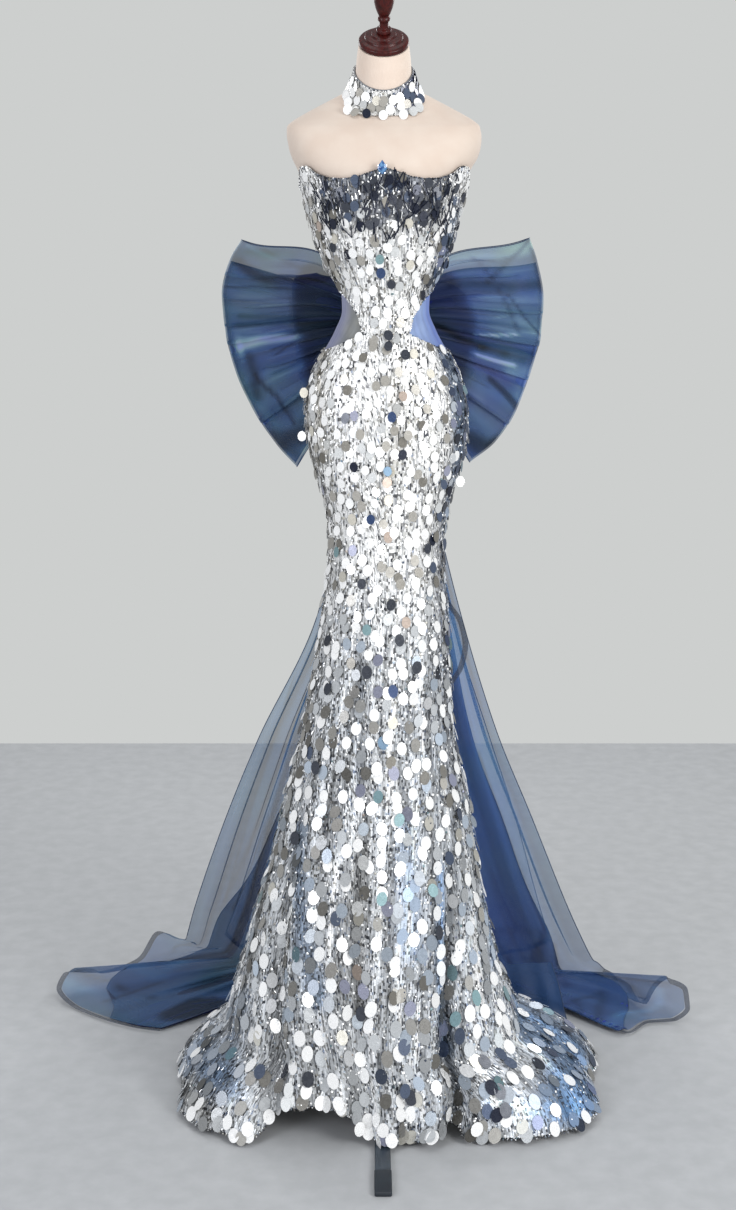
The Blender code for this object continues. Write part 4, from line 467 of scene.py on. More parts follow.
GOWN_STROKES = (
    (-1.15, 14, 0.5, 2, (-89.5, 1.285), (-76.9, 1.226), (-80.1, 1.168), (-84.1, 1.068), (-88.4, 0.974)),
    (-0.35, 15, 0.6, 2, (-69.6, 1.32), (-54.9, 1.246), (-52.1, 1.166)),
    (-1.0, 38, -1.3, 4, (67.0, 1.3), (65.0, 1.211), (72.0, 1.144), (80.0, 1.069)),
    (-0.45, 26, -0.6, 3, (80.0, 1.069), (78.0, 0.977), (84.0, 0.8)),
    (-0.35, 15, 0.3, 2, (6.1, 1.273), (9.4, 1.202), (3.2, 1.138)),
    (-0.2, 34, 0, 2, (-12.0, 1.395), (12.0, 1.38)), (0.35, 20, 0, 2, (40.8, 1.31), (36.9, 1.248)),
    (0.3, 20, 0, 2, (-32.6, 1.279), (-27.6, 1.169)),
    (-0.85, 11, 1, 2, (-64.8, 1.525), (-64.1, 1.489), (-69.8, 1.442)),
    (-0.65, 34, -1, 4, (65.0, 1.51), (68.0, 1.48), (76.0, 1.441)),
    (-0.7, 14, 0.7, 2, (-88.2, 0.94), (-80.5, 0.84), (-78.6, 0.737), (-76.9, 0.633), (-68.8, 0.533)),
    (-0.95, 13, -0.2, 2, (-18.9, 0.816), (-11.8, 0.626)), (-0.65, 15, 0, 2, (-29.0, 0.656), (-33.1, 0.486)),
    (0.3, 14, 0, 2, (-58.9, 0.915), (-40.5, 0.786)), (0.4, 20, 0, 2, (23.1, 0.989), (27.1, 0.839)),
    (-0.95, 13, 0.2, 2, (-7.9, 0.509), (-5.4, 0.23)),
    (-0.6, 17, -0.9, 2, (-51.4, 0.527), (-32.0, 0.318), (-26.5, 0.252)),
    (0.3, 14, 0.3, 2, (11.1, 0.759), (9.4, 0.593)), (0.25, 20, -0.6, 2, (17.0, 0.542), (20.8, 0.339)),
    (0.4, 22, 0, 2, (27.4, 0.239), (23.5, 0.086)),
    (-1.8, 4.5, -0.5, 2, (46.5, 0.46), (46.0, 0.306), (50.0, 0.154), (46.0, 0.045)),
    (-0.35, 10, -1.4, 2, (38.6, 0.466), (38.4, 0.315), (47.4, 0.151)),
    (0.62, 22, -0.1, 2, (60.6, 0.349), (65.8, 0.229), (74.1, 0.137)),
    (0.4, 20, 0, 3, (50.0, 1.586), (61.0, 1.574)),
    (-0.6, 50, -1.7, 6, (102.0, 0.121), (102.0, 0.072), (90.0, 0.052)),
    (0.5, 18, -0.8, 2, (60.9, 0.065), (76.9, 0.038)),
    (-0.35, 13, -1.2, 2, (91.0, 0.62), (87.9, 0.445), (82.6, 0.276)),
    (-0.8, 26, -1.15, 2, (-100.0, 0.049), (-100.0, 0.086), (-78.1, 0.081)),
    (-0.55, 18, 0.5, 2, (-86.0, 0.042), (-75.8, 0.032)), (0.3, 18, 0, 2, (-60.6, 0.07), (-53.2, 0.021)),
    (-0.35, 18, -0.6, 2, (-77.6, 0.212), (-83.8, 0.131), (-68.2, 0.074)),
    (-0.45, 16, 0.3, 2, (-76.1, 0.421), (-74.5, 0.284)),
)
# Paillettes in tones of their own at set places: bearing, height, tone.
ACCENTS = (
    (-28.9, 1.22, "CHARCOAL"), (2.4, 1.349, "CHARCOAL"), (2.1, 1.332, "CHARCOAL"), (-19.6, 1.314, "GREY"),
    (-7.6, 1.271, "WARM"), (9.4, 1.292, "WARM"), (11.4, 1.255, "PEACH"), (20.6, 1.265, "WARM"),
    (3.2, 1.223, "ROYAL"), (24.2, 1.209, "GREY"), (13.9, 1.194, "WARM"), (-1.2, 1.177, "WARM"),
    (10.4, 1.163, "NAVY"), (-0.1, 1.137, "SKY"), (-0.5, 1.119, "PEACH"), (23.1, 1.131, "WARM"),
    (48.6, 1.112, "SLATE"), (-15.0, 1.058, "ROYAL"), (1.0, 1.028, "PEACH"), (40.8, 1.006, "CHARCOAL"),
    (-26.6, 1.548, "CHARCOAL"), (5.5, 1.559, "CHARCOAL"), (22.8, 1.563, "CHARCOAL"),
    (37.2, 1.551, "CHARCOAL"), (-4.8, 1.47, "TEAL"), (-4.6, 1.448, "ROYAL"), (22.5, 1.461, "CREAM"),
    (-11.0, 1.522, "CHARCOAL"), (4.5, 0.43, "TEAL"), (32.0, 0.437, "TEAL"), (35.4, 0.364, "CHARCOAL"),
    (-2.8, 0.234, "CHARCOAL"), (15.1, 0.102, "SLATE"), (17.5, 0.089, "CHARCOAL"), (19.1, 0.177, "SLATE"),
    (11.8, 0.262, "GREY"), (63.9, 0.128, "CHARCOAL"), (72.4, 0.132, "SLATE"), (72.0, 0.117, "SLATE"),
    (60.0, 0.091, "NAVY"), (61.9, 0.084, "CHARCOAL"), (59.8, 0.05, "NAVY"), (62.0, 0.057, "CHARCOAL"),
    (-45.9, 0.77, "CHARCOAL"), (-53.5, 0.512, "CHARCOAL"), (8.9, 0.774, "ROYAL"),
    (-44.9, 0.637, "CHARCOAL"), (-12.8, 0.805, "CHARCOAL"), (17.9, 0.887, "PEACH"), (13.5, 0.56, "TEAL"),
    (-15.6, 0.875, "TEAL"), (28.1, 0.811, "CHARCOAL"), (12.5, 0.858, "CHARCOAL"), (54.2, 0.03, "WHITE"),
    (-10.2, 0.036, "WHITE"), (-86.8, 1.183, "WHITE"), (77.8, 1.111, "WHITE"), (-76.9, 1.252, "CREAM"),
    (68.0, 0.558, "WHITE"),
)

# Where the second, denser layer of each tail begins across it, over the share of the way down.
LAYER_COLUMNS = "along first"
LAYER_LEFT = Table(LAYER_COLUMNS, (
    (0.0, 0.3), (0.3, 0.38), (0.47, 0.42), (0.54, 0.38), (0.672, 0.25), (0.76, 0.18), (0.902, 0.3),
    (0.95, 0.54), (0.975, 0.69), (1.0, 0.74),
))
LAYER_RIGHT = Table(LAYER_COLUMNS, (
    (0.0, 0.14), (0.235, 0.1), (0.48, 0.235), (0.733, 0.19), (0.85, 0.32), (0.91, 0.46), (0.955, 0.64),
    (1.0, 0.78),
))
# The third layer, dense and dark, where the left tail meets the skirt on the floor: partly painted shadow.
SHADOW_LEFT = Table(LAYER_COLUMNS, (
    (0.84, 0.97), (0.9, 0.82), (0.9375, 0.735), (1.0, 0.8),
))
# The right tail's lower corner, folded forward: the columns of the tail tables.
CORNER_RIGHT = (
    (0.338, 0.364, 0.09, 0.248, 0.356, 0.09, 0.001), (0.352, 0.347, 0.05, 0.25, 0.343, 0.05, 0.002),
    (0.359, 0.315, 0.018, 0.254, 0.33, 0.018, 0.003), (0.362, 0.26, 0.006, 0.26, 0.31, 0.006, 0.002),
)

# Free ends of the shorter loops inside the large ones, with the columns of the loop tables.
INNER_LEFT = Table(LOOP_COLUMNS, (
    (0.0, 0.112, 1.44, 0.016, 0.122), (0.1, 0.146, 1.434, 0.014, 0.128), (0.22, 0.153, 1.412, 0.01, 0.132),
    (0.6, 0.149, 1.33, -0.002, 0.138), (0.85, 0.144, 1.272, -0.008, 0.136), (1.0, 0.124, 1.24, -0.01, 0.13),
))
INNER_RIGHT = Table(LOOP_COLUMNS, (
    (0.0, 0.09, 1.432, 0.014, 0.118), (0.2, 0.132, 1.412, 0.01, 0.126), (0.36, 0.156, 1.384, 0.006, 0.132),
    (0.6, 0.164, 1.34, 0.0, 0.138), (0.85, 0.158, 1.276, -0.008, 0.136), (1.0, 0.128, 1.246, -0.01, 0.13),
))


class Hold(Enum):
    """How a sheet of cloth is held."""

    STRETCHED = "stretched"
    GATHERED = "gathered"
    HUNG = "hung"


class Slot(Enum):
    """The record's material slots."""

    SEQUIN = "sequin_cloth"
    MESH = "stretch_mesh"
    TAPE = "zip_tape"
    ORGANZA = "blue_organza"
    BRAID = "navy_braid"
    JERSEY = "ivory_jersey"
    WOOD = "mahogany"
    STEEL = "painted_steel"
    CRYSTAL = "blue_crystal"
    NICKEL = "zip_metal"


class SequinTone(Enum):
    """Colours that the paillettes and beads show."""

    WHITE = "#fbfbfa"
    SILVER = "#cfd1d1"
    WARM = "#a6a39c"
    GREY = "#77746d"
    CHARCOAL = "#3a3e47"
    NAVY = "#1c2233"
    ROYAL = "#34476c"
    SKY = "#7c99b2"
    TEAL = "#7a979b"
    PEACH = "#b9a99d"
    LAVENDER = "#9496a8"
    SLATE = "#4f5a6e"
    CREAM = "#d0ccc0"
    ICE = "#b4bec8"


# ------------------------------------------------------------------ curves and colours
def linear(colour: str) -> tuple[float, float, float, float]:
    """Linear colour of an sRGB hex value.

    Args:
        colour: The value, such as "#2f4a86".

    Returns:
        Red, green, blue and an alpha of 1.
    """
    parts = [int(colour[place:place + 2], 16) / 255.0 for place in (1, 3, 5)]
    bent = [part / 12.92 if part <= 0.04045 else ((part + 0.055) / 1.055) ** 2.4 for part in parts]
    return (bent[0], bent[1], bent[2], 1.0)


def follow(knots: Array, values: Array, at: Array) -> Array:
    """Smooth curve through knots that never overshoots.

    The curve is a monotone cubic: the slope at a knot is the harmonic mean of the slopes beside it, or
    nothing where they differ in sign.

    Args:
        knots: Places of the knots, rising or falling.
        values: One value, or one row of values, at each knot.
        at: Places to work out; one dimension where values has rows.

    Returns:
        The values at those places.
    """
    knots = np.asarray(knots, dtype=float)
    values = np.asarray(values, dtype=float)
    if knots[0] > knots[-1]:
        knots = knots[::-1]
        values = values[::-1]
    at = np.clip(at, knots[0], knots[-1])
    spare = (1,) * (values.ndim - 1)
    width = np.diff(knots).reshape((-1,) + spare)
    slope = np.diff(values, axis=0) / width
    before, after = slope[:-1], slope[1:]
    same_way = before * after > 0.0
    safe = np.where(same_way, before + after, 1.0)
    inside = np.where(same_way, 2.0 * before * after / safe, 0.0)
    tangent = np.concatenate([slope[:1], inside, slope[-1:]])
    cell = np.clip(np.searchsorted(knots, at, side="right") - 1, 0, len(knots) - 2)
    t = ((at - knots[cell]) / np.diff(knots)[cell]).reshape(np.shape(at) + spare)
    pace = width[cell] if spare else np.diff(knots)[cell]
    t2 = t * t
    t3 = t2 * t
    return ((2 * t3 - 3 * t2 + 1) * values[cell] + (t3 - 2 * t2 + t) * pace * tangent[cell]
            + (3 * t2 - 2 * t3) * values[cell + 1] + (t3 - t2) * pace * tangent[cell + 1])


def ease(t: Array) -> Array:
    """Rises smoothly from 0 to 1 as t does."""
    t = np.clip(t, 0.0, 1.0)
    return t * t * (3.0 - 2.0 * t)


def wrap_degrees(angle: Array) -> Array:
    """The same angle between -180 and 180 degrees."""
    return (np.asarray(angle) + 180.0) % 360.0 - 180.0


def oval(angle: Array, half_width: Array, front: Array, back: Array, squareness: Array
         ) -> tuple[Array, Array]:
    """Rounded oval round (0, 0): a superellipse whose front and back halves have their own depths.

    Args:
        angle: Radians, 0 at the front.
        half_width: Reach to each side.
        front: Reach to the front.
        back: Reach to the back.
        squareness: Exponent; 2 is an ellipse.

    Returns:
        x and y.
    """
    sine = np.sin(angle)
    cosine = np.cos(angle)
    size = (np.abs(sine) ** squareness + np.abs(cosine) ** squareness) ** (-1.0 / squareness)
    depth = np.where(cosine > 0.0, front, back)
    return half_width * sine * size, -depth * cosine * size


def unit(vectors: Array) -> Array:
    """The same vectors at length 1."""
    return vectors / np.maximum(np.linalg.norm(vectors, axis=-1, keepdims=True), 1e-12)


def face_normals(face: Callable[[Array, Array], Array], across: Array, along: Array,
                 step: float = PROBE) -> Array:
    """Unit normals of a surface of two parameters: across-step crossed with along-step."""
    side = face(across + step, along) - face(across - step, along)
    up = face(across, along + step) - face(across, along - step)
    return unit(np.cross(side, up))


def stand_on(face: Callable[[Array, Array], Array], bearing: Array, height: Array
             ) -> tuple[Array, Array, Array, Array]:
    """Points of a face, with its sideways, upward and outward unit vectors there."""
    out = face_normals(face, bearing, height)
    up = unit(face(bearing, height + PROBE) - face(bearing, height - PROBE))
    return face(bearing, height), unit(np.cross(up, out)), up, out


def grid_normals(points: Array) -> Array:
    """Unit normals of a grid of points: its across direction crossed with its along direction."""
    return unit(np.cross(np.gradient(points, axis=1), np.gradient(points, axis=0)))


def strokes_at(along: Array, across: Array, strokes: Sequence[Sequence], size: tuple[float, float]
               ) -> tuple[Array, Array]:
    """Light and hue that strokes add up to.

    A stroke counts as exp(-(distance to its line / half-width) ** crispness).

    Args:
        along: First coordinate of the places.
        across: Second coordinate of the places.
        strokes: Rows of a stroke table.
        size: Metres for 1 of each coordinate.

    Returns:
        Light and hue at each place.
    """
    place = np.stack(np.broadcast_arrays(along * size[0], across * size[1]), axis=-1)
    light = np.zeros(place.shape[:-1])
    hue = np.zeros(place.shape[:-1])
    for strength, half_mm, tone, crisp, *path in strokes:
        knots = np.array(path) * size
        nearest = np.full(light.shape, np.inf)
        for start, end in zip(knots[:-1], knots[1:]):
            run = end - start
            part = np.clip((place - start) @ run / max(float(run @ run), 1e-12), 0.0, 1.0)
            away = np.linalg.norm(place - start - part[..., None] * run, axis=-1)
            nearest = np.minimum(nearest, away)
        weight = np.exp(-(nearest * 1000.0 / half_mm) ** crisp)
        light += strength * weight
        hue += tone * weight
    return light, hue


# ------------------------------------------------------------------ the worn gown's surface
@dataclass(frozen=True)
class GownShape:
    """Outer face of the worn gown, as a surface of bearing and height.

    Its powers say how late the fold lines turn between knee and hem, how late the folds deepen, and how
    flat-topped the hem's humps are.
    """

    turn_power: float = 1.45
    fold_power: float = 1.25
    hump_power: int = 6

    def fall_bearing(self, bearing: Array, height: Array) -> Array:
        """Bearing, at a height, of the fold line that passes a bearing at the knee.

        The change between knee and hem grows with a power of the share of the way down.

        Args:
            bearing: Bearings at the knee.
            height: Heights.

        Returns:
            Bearings at those heights.
        """
        at_hem = FALL_LINES.at(wrap_degrees(bearing))["hem_bearing"]
        share = np.clip((KNEE_FLARE - height) / KNEE_FLARE, 0.0, 1.0)
        return bearing + wrap_degrees(at_hem - bearing) * share ** self.turn_power

    def relief(self, bearing: Array, height: Array) -> Array:
        """How far folds, cups, ripples and creases move the face out.

        A fold is a Gaussian in bearing that grows from its start to the hem; a cup is a Gaussian in
        bearing and height; a crease is one whose bearing leans with height.

        Args:
            bearing: Bearings at the knee.
            height: Heights.

        Returns:
            Distances outward.
        """
        total = np.zeros(np.broadcast(bearing, height).shape)
        for centre, depth, half_width, start in SKIRT_FOLDS:
            away = wrap_degrees(bearing - centre) / half_width
            fall = np.clip((start - height) / start, 0.0, 1.0) ** self.fold_power
            total += depth * fall * np.exp(-away * away)
        for centre, level, rise, half_width, half_height in BUST_SHAPE:
            away = wrap_degrees(bearing - centre) / half_width
            above = (height - level) / half_height
            total += rise * np.exp(-away * away - above * above)
        for centre, depth, half_width, start in RIPPLES:
            away = wrap_degrees(bearing - centre) / half_width
            total += depth * np.clip((start - height) / start, 0.0, 1.0) * np.exp(-away * away)
        for centre, level, depth, half_width, half_height, lean in CREASES:
            away = wrap_degrees(bearing - centre - lean * (height - level)) / half_width
            above = (height - level) / half_height
            total += depth * np.exp(-away * away - above * above)
        return total

    def face(self, bearing: Array, height: Array) -> Array:
        """Points of the face: an oval section about its centre, moved out along its slope by the relief.

        Args:
            bearing: Bearings at the knee.
            height: Heights.

        Returns:
            Points, with x, y and z in the last axis.
        """
        size = GOWN_SECTIONS.at(height)
        angle = np.radians(self.fall_bearing(bearing, height))
        x, y = oval(angle, size["half_width"], size["front"], size["back"], size["squareness"])
        out_x = np.sin(angle) / size["half_width"]
        out_y = -np.cos(angle) / np.where(np.cos(angle) > 0.0, size["front"], size["back"])
        length = np.hypot(out_x, out_y)
        fold = self.relief(bearing, height)
        x = size["centre_x"] + x + fold * out_x / length
        y = size["centre_y"] + y + fold * out_y / length
        return np.stack(np.broadcast_arrays(x, y, height), axis=-1)

    def normals(self, bearing: Array, height: Array) -> Array:
        """Outward unit normals of the face."""
        return face_normals(self.face, bearing, height)

    def edge(self, bearing: Array, name: str) -> Array:
        """Height of a named edge of the bodice or skirt, alike on both sides of the body."""
        return np.interp(np.abs(wrap_degrees(bearing)), EDGE_HEIGHTS.column("bearing"),
                         EDGE_HEIGHTS.column(name))

    def hem(self, bearing: Array) -> Array:
        """Height of the hem: level but for flat-topped humps, exp of minus a high even power."""
        height = np.full(np.shape(bearing), HEM_CLEARANCE)
        for centre, lift, half_width in HEM_LIFTS:
            away = wrap_degrees(bearing - centre) / half_width
            height = height + lift * np.exp(-away ** self.hump_power)
        return height


GOWN = GownShape()


# ------------------------------------------------------------------ meshes
def form_axis() -> Array:
    """Where the form's upright axis stands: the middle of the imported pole."""
    low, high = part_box("stand_pole")
    return np.array([0.5 * (low[0] + high[0]), 0.5 * (low[1] + high[1]), 0.0])


AXIS = form_axis()


@dataclass
class Skin:
    """Points and faces of a mesh that is still to be made, with its map and its tints."""

    points: Array
    faces: list[Array]
    slots: Optional[Array] = None
    uv: Optional[Array] = None
    tint: Optional[Array] = None

    def piece(self, name: str, *finishes: "Finish", smooth: bool = True) -> bpy.types.Object:
        """Make the object, its place in its mesh.

        Args:
            name: The object's name.
            finishes: What it wears, in the order of the slots.
            smooth: Whether its faces are shaded smooth.

        Returns:
            The new object, linked to the scene.
        """
        mesh = bpy.data.meshes.new(name)
        placed = self.points.reshape(-1, 3) + AXIS
        mesh.vertices.add(len(placed))
        mesh.vertices.foreach_set("co", placed.astype(np.float32).ravel())
        corners = np.concatenate([group.ravel() for group in self.faces]).astype(np.int32)
        sizes = np.concatenate([np.full(len(group), group.shape[1]) for group in self.faces])
        starts = np.concatenate([[0], np.cumsum(sizes)[:-1]]).astype(np.int32)
        mesh.loops.add(len(corners))
        mesh.loops.foreach_set("vertex_index", corners)
        mesh.polygons.add(len(sizes))
        mesh.polygons.foreach_set("loop_start", starts)
        mesh.polygons.foreach_set("use_smooth", np.full(len(sizes), smooth))
        if self.slots is not None:
            mesh.polygons.foreach_set("material_index", self.slots.astype(np.int32))
        mesh.update(calc_edges=True)
        if self.uv is not None:
            layer = mesh.uv_layers.new(name="cloth_map")
            layer.data.foreach_set("uv", self.uv.reshape(-1, 2)[corners].astype(np.float32).ravel())
        if self.tint is not None:
            tints = mesh.color_attributes.new(name="tint", type="FLOAT_COLOR", domain="POINT")
            tints.data.foreach_set("color", self.tint.reshape(-1, 4).astype(np.float32).ravel())
        mesh.validate()
        for finish in finishes:
            mesh.materials.append(finish.material)
        if smooth:
            mesh.set_sharp_from_angle(angle=math.radians(SHARP_ANGLE))
        item = bpy.data.objects.new(name, mesh)
        bpy.context.scene.collection.objects.link(item)
        return item


def quads(rows: int, columns: int, first: int = 0, closed: bool = False) -> Array:
    """Faces of a grid, anticlockwise seen from the side that across crossed with along points to.

    Args:
        rows: Rows of points.
        columns: Columns of points.
        first: Number of the grid's first point.
        closed: Whether the last column joins the first.

    Returns:
        Four point numbers for each face.
    """
    index = first + np.arange(rows * columns).reshape(rows, columns)
    left = index if closed else index[:, :-1]
    right = np.roll(index, -1, axis=1) if closed else index[:, 1:]
    return np.stack([left[:-1], right[:-1], right[1:], left[1:]], axis=-1).reshape(-1, 4)


def strip(first: Array, second: Array) -> Array:
    """Faces between two lines of points of one length."""
    return np.stack([first[1:], first[:-1], second[:-1], second[1:]], axis=-1)


def wall_skin(outer: Array, inner: Array, uv: Array, tint: Optional[Array] = None) -> Skin:
    """Closed wall between two grids: two skins joined round their four edges.

    Args:
        outer: The outward grid.
        inner: The inward grid, of the same size.
        uv: Map of the grid in metres.
        tint: Colours of the grid's points.

    Returns:
        The skin; its inner faces use the second slot.
    """
    rows, columns = outer.shape[:2]
    front = quads(rows, columns)
    back = quads(rows, columns, rows * columns)[:, ::-1]
    index = np.arange(rows * columns).reshape(rows, columns)
    under = index + rows * columns
    rims = [strip(index[0], under[0]), strip(index[-1][::-1], under[-1][::-1]),
            strip(index[:, 0][::-1], under[:, 0][::-1]), strip(index[:, -1], under[:, -1])]
    faces = [front, back] + rims
    slots = np.concatenate([np.zeros(len(front)), np.ones(len(back)),
                            np.zeros(sum(len(rim) for rim in rims))])
    both = np.concatenate([uv.reshape(-1, 2)] * 2)
    tints = None if tint is None else np.concatenate([tint.reshape(-1, 4)] * 2)
    points = np.concatenate([outer.reshape(-1, 3), inner.reshape(-1, 3)])
    return Skin(points, [np.concatenate(faces)], slots, both, tints)


def ring_skin(rings: Array, uv: Optional[Array] = None) -> Skin:
    """Closed solid through rings of points, capped by one face at each end."""
    rows, columns = rings.shape[:2]
    sides = quads(rows, columns, closed=True)
    low = np.arange(columns)[::-1][None, :]
    high = ((rows - 1) * columns + np.arange(columns))[None, :]
    return Skin(rings.reshape(-1, 3), [sides, np.concatenate([low, high])], None, uv)


def run_along(path: Array) -> Array:
    """Distance along a line of points, from 0 at its start."""
    return np.concatenate([[0.0], np.cumsum(np.linalg.norm(np.diff(path, axis=0), axis=-1))])


def arc_map(points: Array) -> Array:
    """Map of a grid in metres: distance across from the middle column, and distance along."""
    across = np.linalg.norm(np.diff(points, axis=1), axis=-1)
    run = np.concatenate([np.zeros((len(points), 1)), np.cumsum(across, axis=1)], axis=1)
    run = run - run[:, points.shape[1] // 2][:, None]
    along = np.linalg.norm(np.diff(points, axis=0), axis=-1)
    rise = np.concatenate([np.zeros((1, points.shape[1])), np.cumsum(along, axis=0)], axis=0)
    return np.stack([run, rise], axis=-1)


def cut_of(points: Array) -> tuple[float, float, float]:
    """Width, length and area of a grid of cloth, in metres and square metres.

    The width is that of its widest rows without the few that follow a dented hem, and the length is
    that of its longest column.
    """
    rows = np.linalg.norm(np.diff(points, axis=1), axis=-1).sum(axis=1)
    across = np.percentile(rows, 95)
    along = np.linalg.norm(np.diff(points, axis=0), axis=-1).sum(axis=0).max()
    side = points[:-1, 1:] - points[:-1, :-1]
    up = points[1:, :-1] - points[:-1, :-1]
    return float(across), float(along), float(np.linalg.norm(np.cross(side, up), axis=-1).sum())


def settle(item: bpy.types.Object, slot: Slot, *nodes: str) -> bpy.types.Object:
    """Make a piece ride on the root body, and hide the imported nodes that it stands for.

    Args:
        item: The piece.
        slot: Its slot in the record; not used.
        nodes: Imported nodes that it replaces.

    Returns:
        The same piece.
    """
    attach(item, ROOT_BODY)
    if nodes:
        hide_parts(*nodes)
    return item


def declare(item: bpy.types.Object, points: Array, held: Hold,
            ease_share: float = 1.0) -> None:
    """Log the flat cut of a sheet: its own surface over the share that it is stretched by.

    Args:
        item: The piece.
        points: Its grid.
        held: How it is held; not used.
        ease_share: Cut size over worn size.
    """
    width, length, area = cut_of(points)
    width, length = round(width * ease_share, 3), round(length, 3)
    area = min(round(area * ease_share, 4), round(width * length, 4))
    LOG.info("cut %s %.3f x %.3f m, %.4f m2", item.name, width, length, area)


def stretched(name: str, skin: Skin, points: Array, slot: Slot, node: str, finishes: Sequence["Finish"],
              share: float = 1.0) -> bpy.types.Object:
    """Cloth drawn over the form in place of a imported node.

    Args:
        name: The piece's name.
        skin: Its skin.
        points: Grid of its outer face.
        slot: Its slot in the record.
        node: The node that it replaces.
        finishes: Its face and its back.
        share: Cut size over worn size.

    Returns:
        The piece.
    """
    item = settle(skin.piece(name, *finishes), slot, node)
    declare(item, points, Hold.STRETCHED, share)
    return item


# ------------------------------------------------------------------ finishes
def add(tree: bpy.types.NodeTree, kind: str, settings: Optional[dict] = None,
        sockets: Optional[dict] = None, links: Optional[dict] = None) -> bpy.types.Node:
    """Add a node.

    Args:
        tree: The material's node tree.
        kind: The node's type name.
        settings: Values of its properties.
        sockets: Values of its input sockets.
        links: Output sockets that feed its input sockets.

    Returns:
        The new node.
    """
    node = tree.nodes.new(kind)
    for name, value in (settings or {}).items():
        setattr(node, name, value)
    for name, value in (sockets or {}).items():
        node.inputs[name].default_value = value
    for name, source in (links or {}).items():
        tree.links.new(source, node.inputs[name])
    return node


def ramp(tree: bpy.types.NodeTree, source: bpy.types.NodeSocket,
         stops: Sequence[tuple[float, str]], stepped: bool = False) -> bpy.types.NodeSocket:
    """Colour ramp through hex stops; returns its colour socket."""
    node = add(tree, "ShaderNodeValToRGB", links={"Fac": source})
    bar = node.color_ramp
    bar.interpolation = "CONSTANT" if stepped else "LINEAR"
    while len(bar.elements) < len(stops):
        bar.elements.new(0.5)
    for element, (place, colour) in zip(bar.elements, stops):
        element.position = place
        element.color = linear(colour)
    return node.outputs["Color"]


def multiplied(tree: bpy.types.NodeTree, first: bpy.types.NodeSocket,
               second: bpy.types.NodeSocket) -> bpy.types.NodeSocket:
    """Product of two colours."""
    return add(tree, "ShaderNodeMix", {"data_type": "RGBA", "blend_type": "MULTIPLY"}, {0: 1.0},
               {6: first, 7: second}).outputs[2]


def tints_of(tree: bpy.types.NodeTree) -> bpy.types.NodeSocket:
    """The colours stored on the piece's points."""
    return add(tree, "ShaderNodeAttribute", {"attribute_name": "tint"}).outputs["Color"]


def cloth_of(tree: bpy.types.NodeTree) -> bpy.types.NodeSocket:
    """The cloth's own map, in metres."""
    return add(tree, "ShaderNodeUVMap", {"uv_map": "cloth_map"}).outputs["UV"]


def scaled(tree: bpy.types.NodeTree, source: bpy.types.NodeSocket, scale: tuple[float, float, float]
           ) -> bpy.types.NodeSocket:
    """Coordinates multiplied along each axis."""
    return add(tree, "ShaderNodeMapping", sockets={"Scale": scale},
               links={"Vector": source}).outputs["Vector"]


def noise(tree: bpy.types.NodeTree, scale: float, detail: float = 2.0,
          source: Optional[bpy.types.NodeSocket] = None, flat: bool = False) -> bpy.types.NodeSocket:
    """Noise per metre of the object's own coordinates, or of another source."""
    if source is None:
        source = add(tree, "ShaderNodeTexCoord").outputs["Object"]
    return add(tree, "ShaderNodeTexNoise", {"noise_dimensions": "2D" if flat else "3D"},
               {"Scale": scale, "Detail": detail}, {"Vector": source}).outputs["Fac"]


def waves(tree: bpy.types.NodeTree, direction: str, radian_mm: float) -> bpy.types.NodeSocket:
    """Straight waves across the cloth's map, by the millimetres in one radian of their sine."""
    scale = 1000.0 / radian_mm / WAVE_RADIANS
    return add(tree, "ShaderNodeTexWave", {"bands_direction": direction}, {"Scale": scale},
               {"Vector": cloth_of(tree)}).outputs["Fac"]


@dataclass(frozen=True)
class Finish:
    """A material: constants on the shader's own sockets, then the finish's own pattern."""

    name: str
    colour: str = "#ffffff"
    roughness: float = 0.5
    metallic: float = 0.0

    @cached_property
    def material(self) -> bpy.types.Material:
        """The material, made at its first use."""
        material = bpy.data.materials.new(self.name)
        material.use_nodes = True
        shader = material.node_tree.nodes["Principled BSDF"]
        sockets = {"Base Color": linear(self.colour), "Roughness": self.roughness,
                   "Metallic": self.metallic} | self.constants()
        for name, value in sockets.items():
            shader.inputs[name].default_value = value
        for name, source in self.pattern(material.node_tree).items():
            material.node_tree.links.new(source, shader.inputs[name])
        return material

    def constants(self) -> dict[str, float]:
        """More constants, by the name of the shader's socket."""
        return {}

    def pattern(self, tree: bpy.types.NodeTree) -> dict[str, bpy.types.NodeSocket]:
        """Nodes of the pattern; returns what feeds each of the shader's sockets."""
        raise NotImplementedError(self.name)

    @staticmethod
    def bump(tree: bpy.types.NodeTree, height: bpy.types.NodeSocket, strength: float, depth: float
             ) -> bpy.types.NodeSocket:
        """Normal of a relief with a depth in metres."""
        return add(tree, "ShaderNodeBump", sockets={"Strength": strength, "Distance": depth},
                   links={"Height": height}).outputs["Normal"]


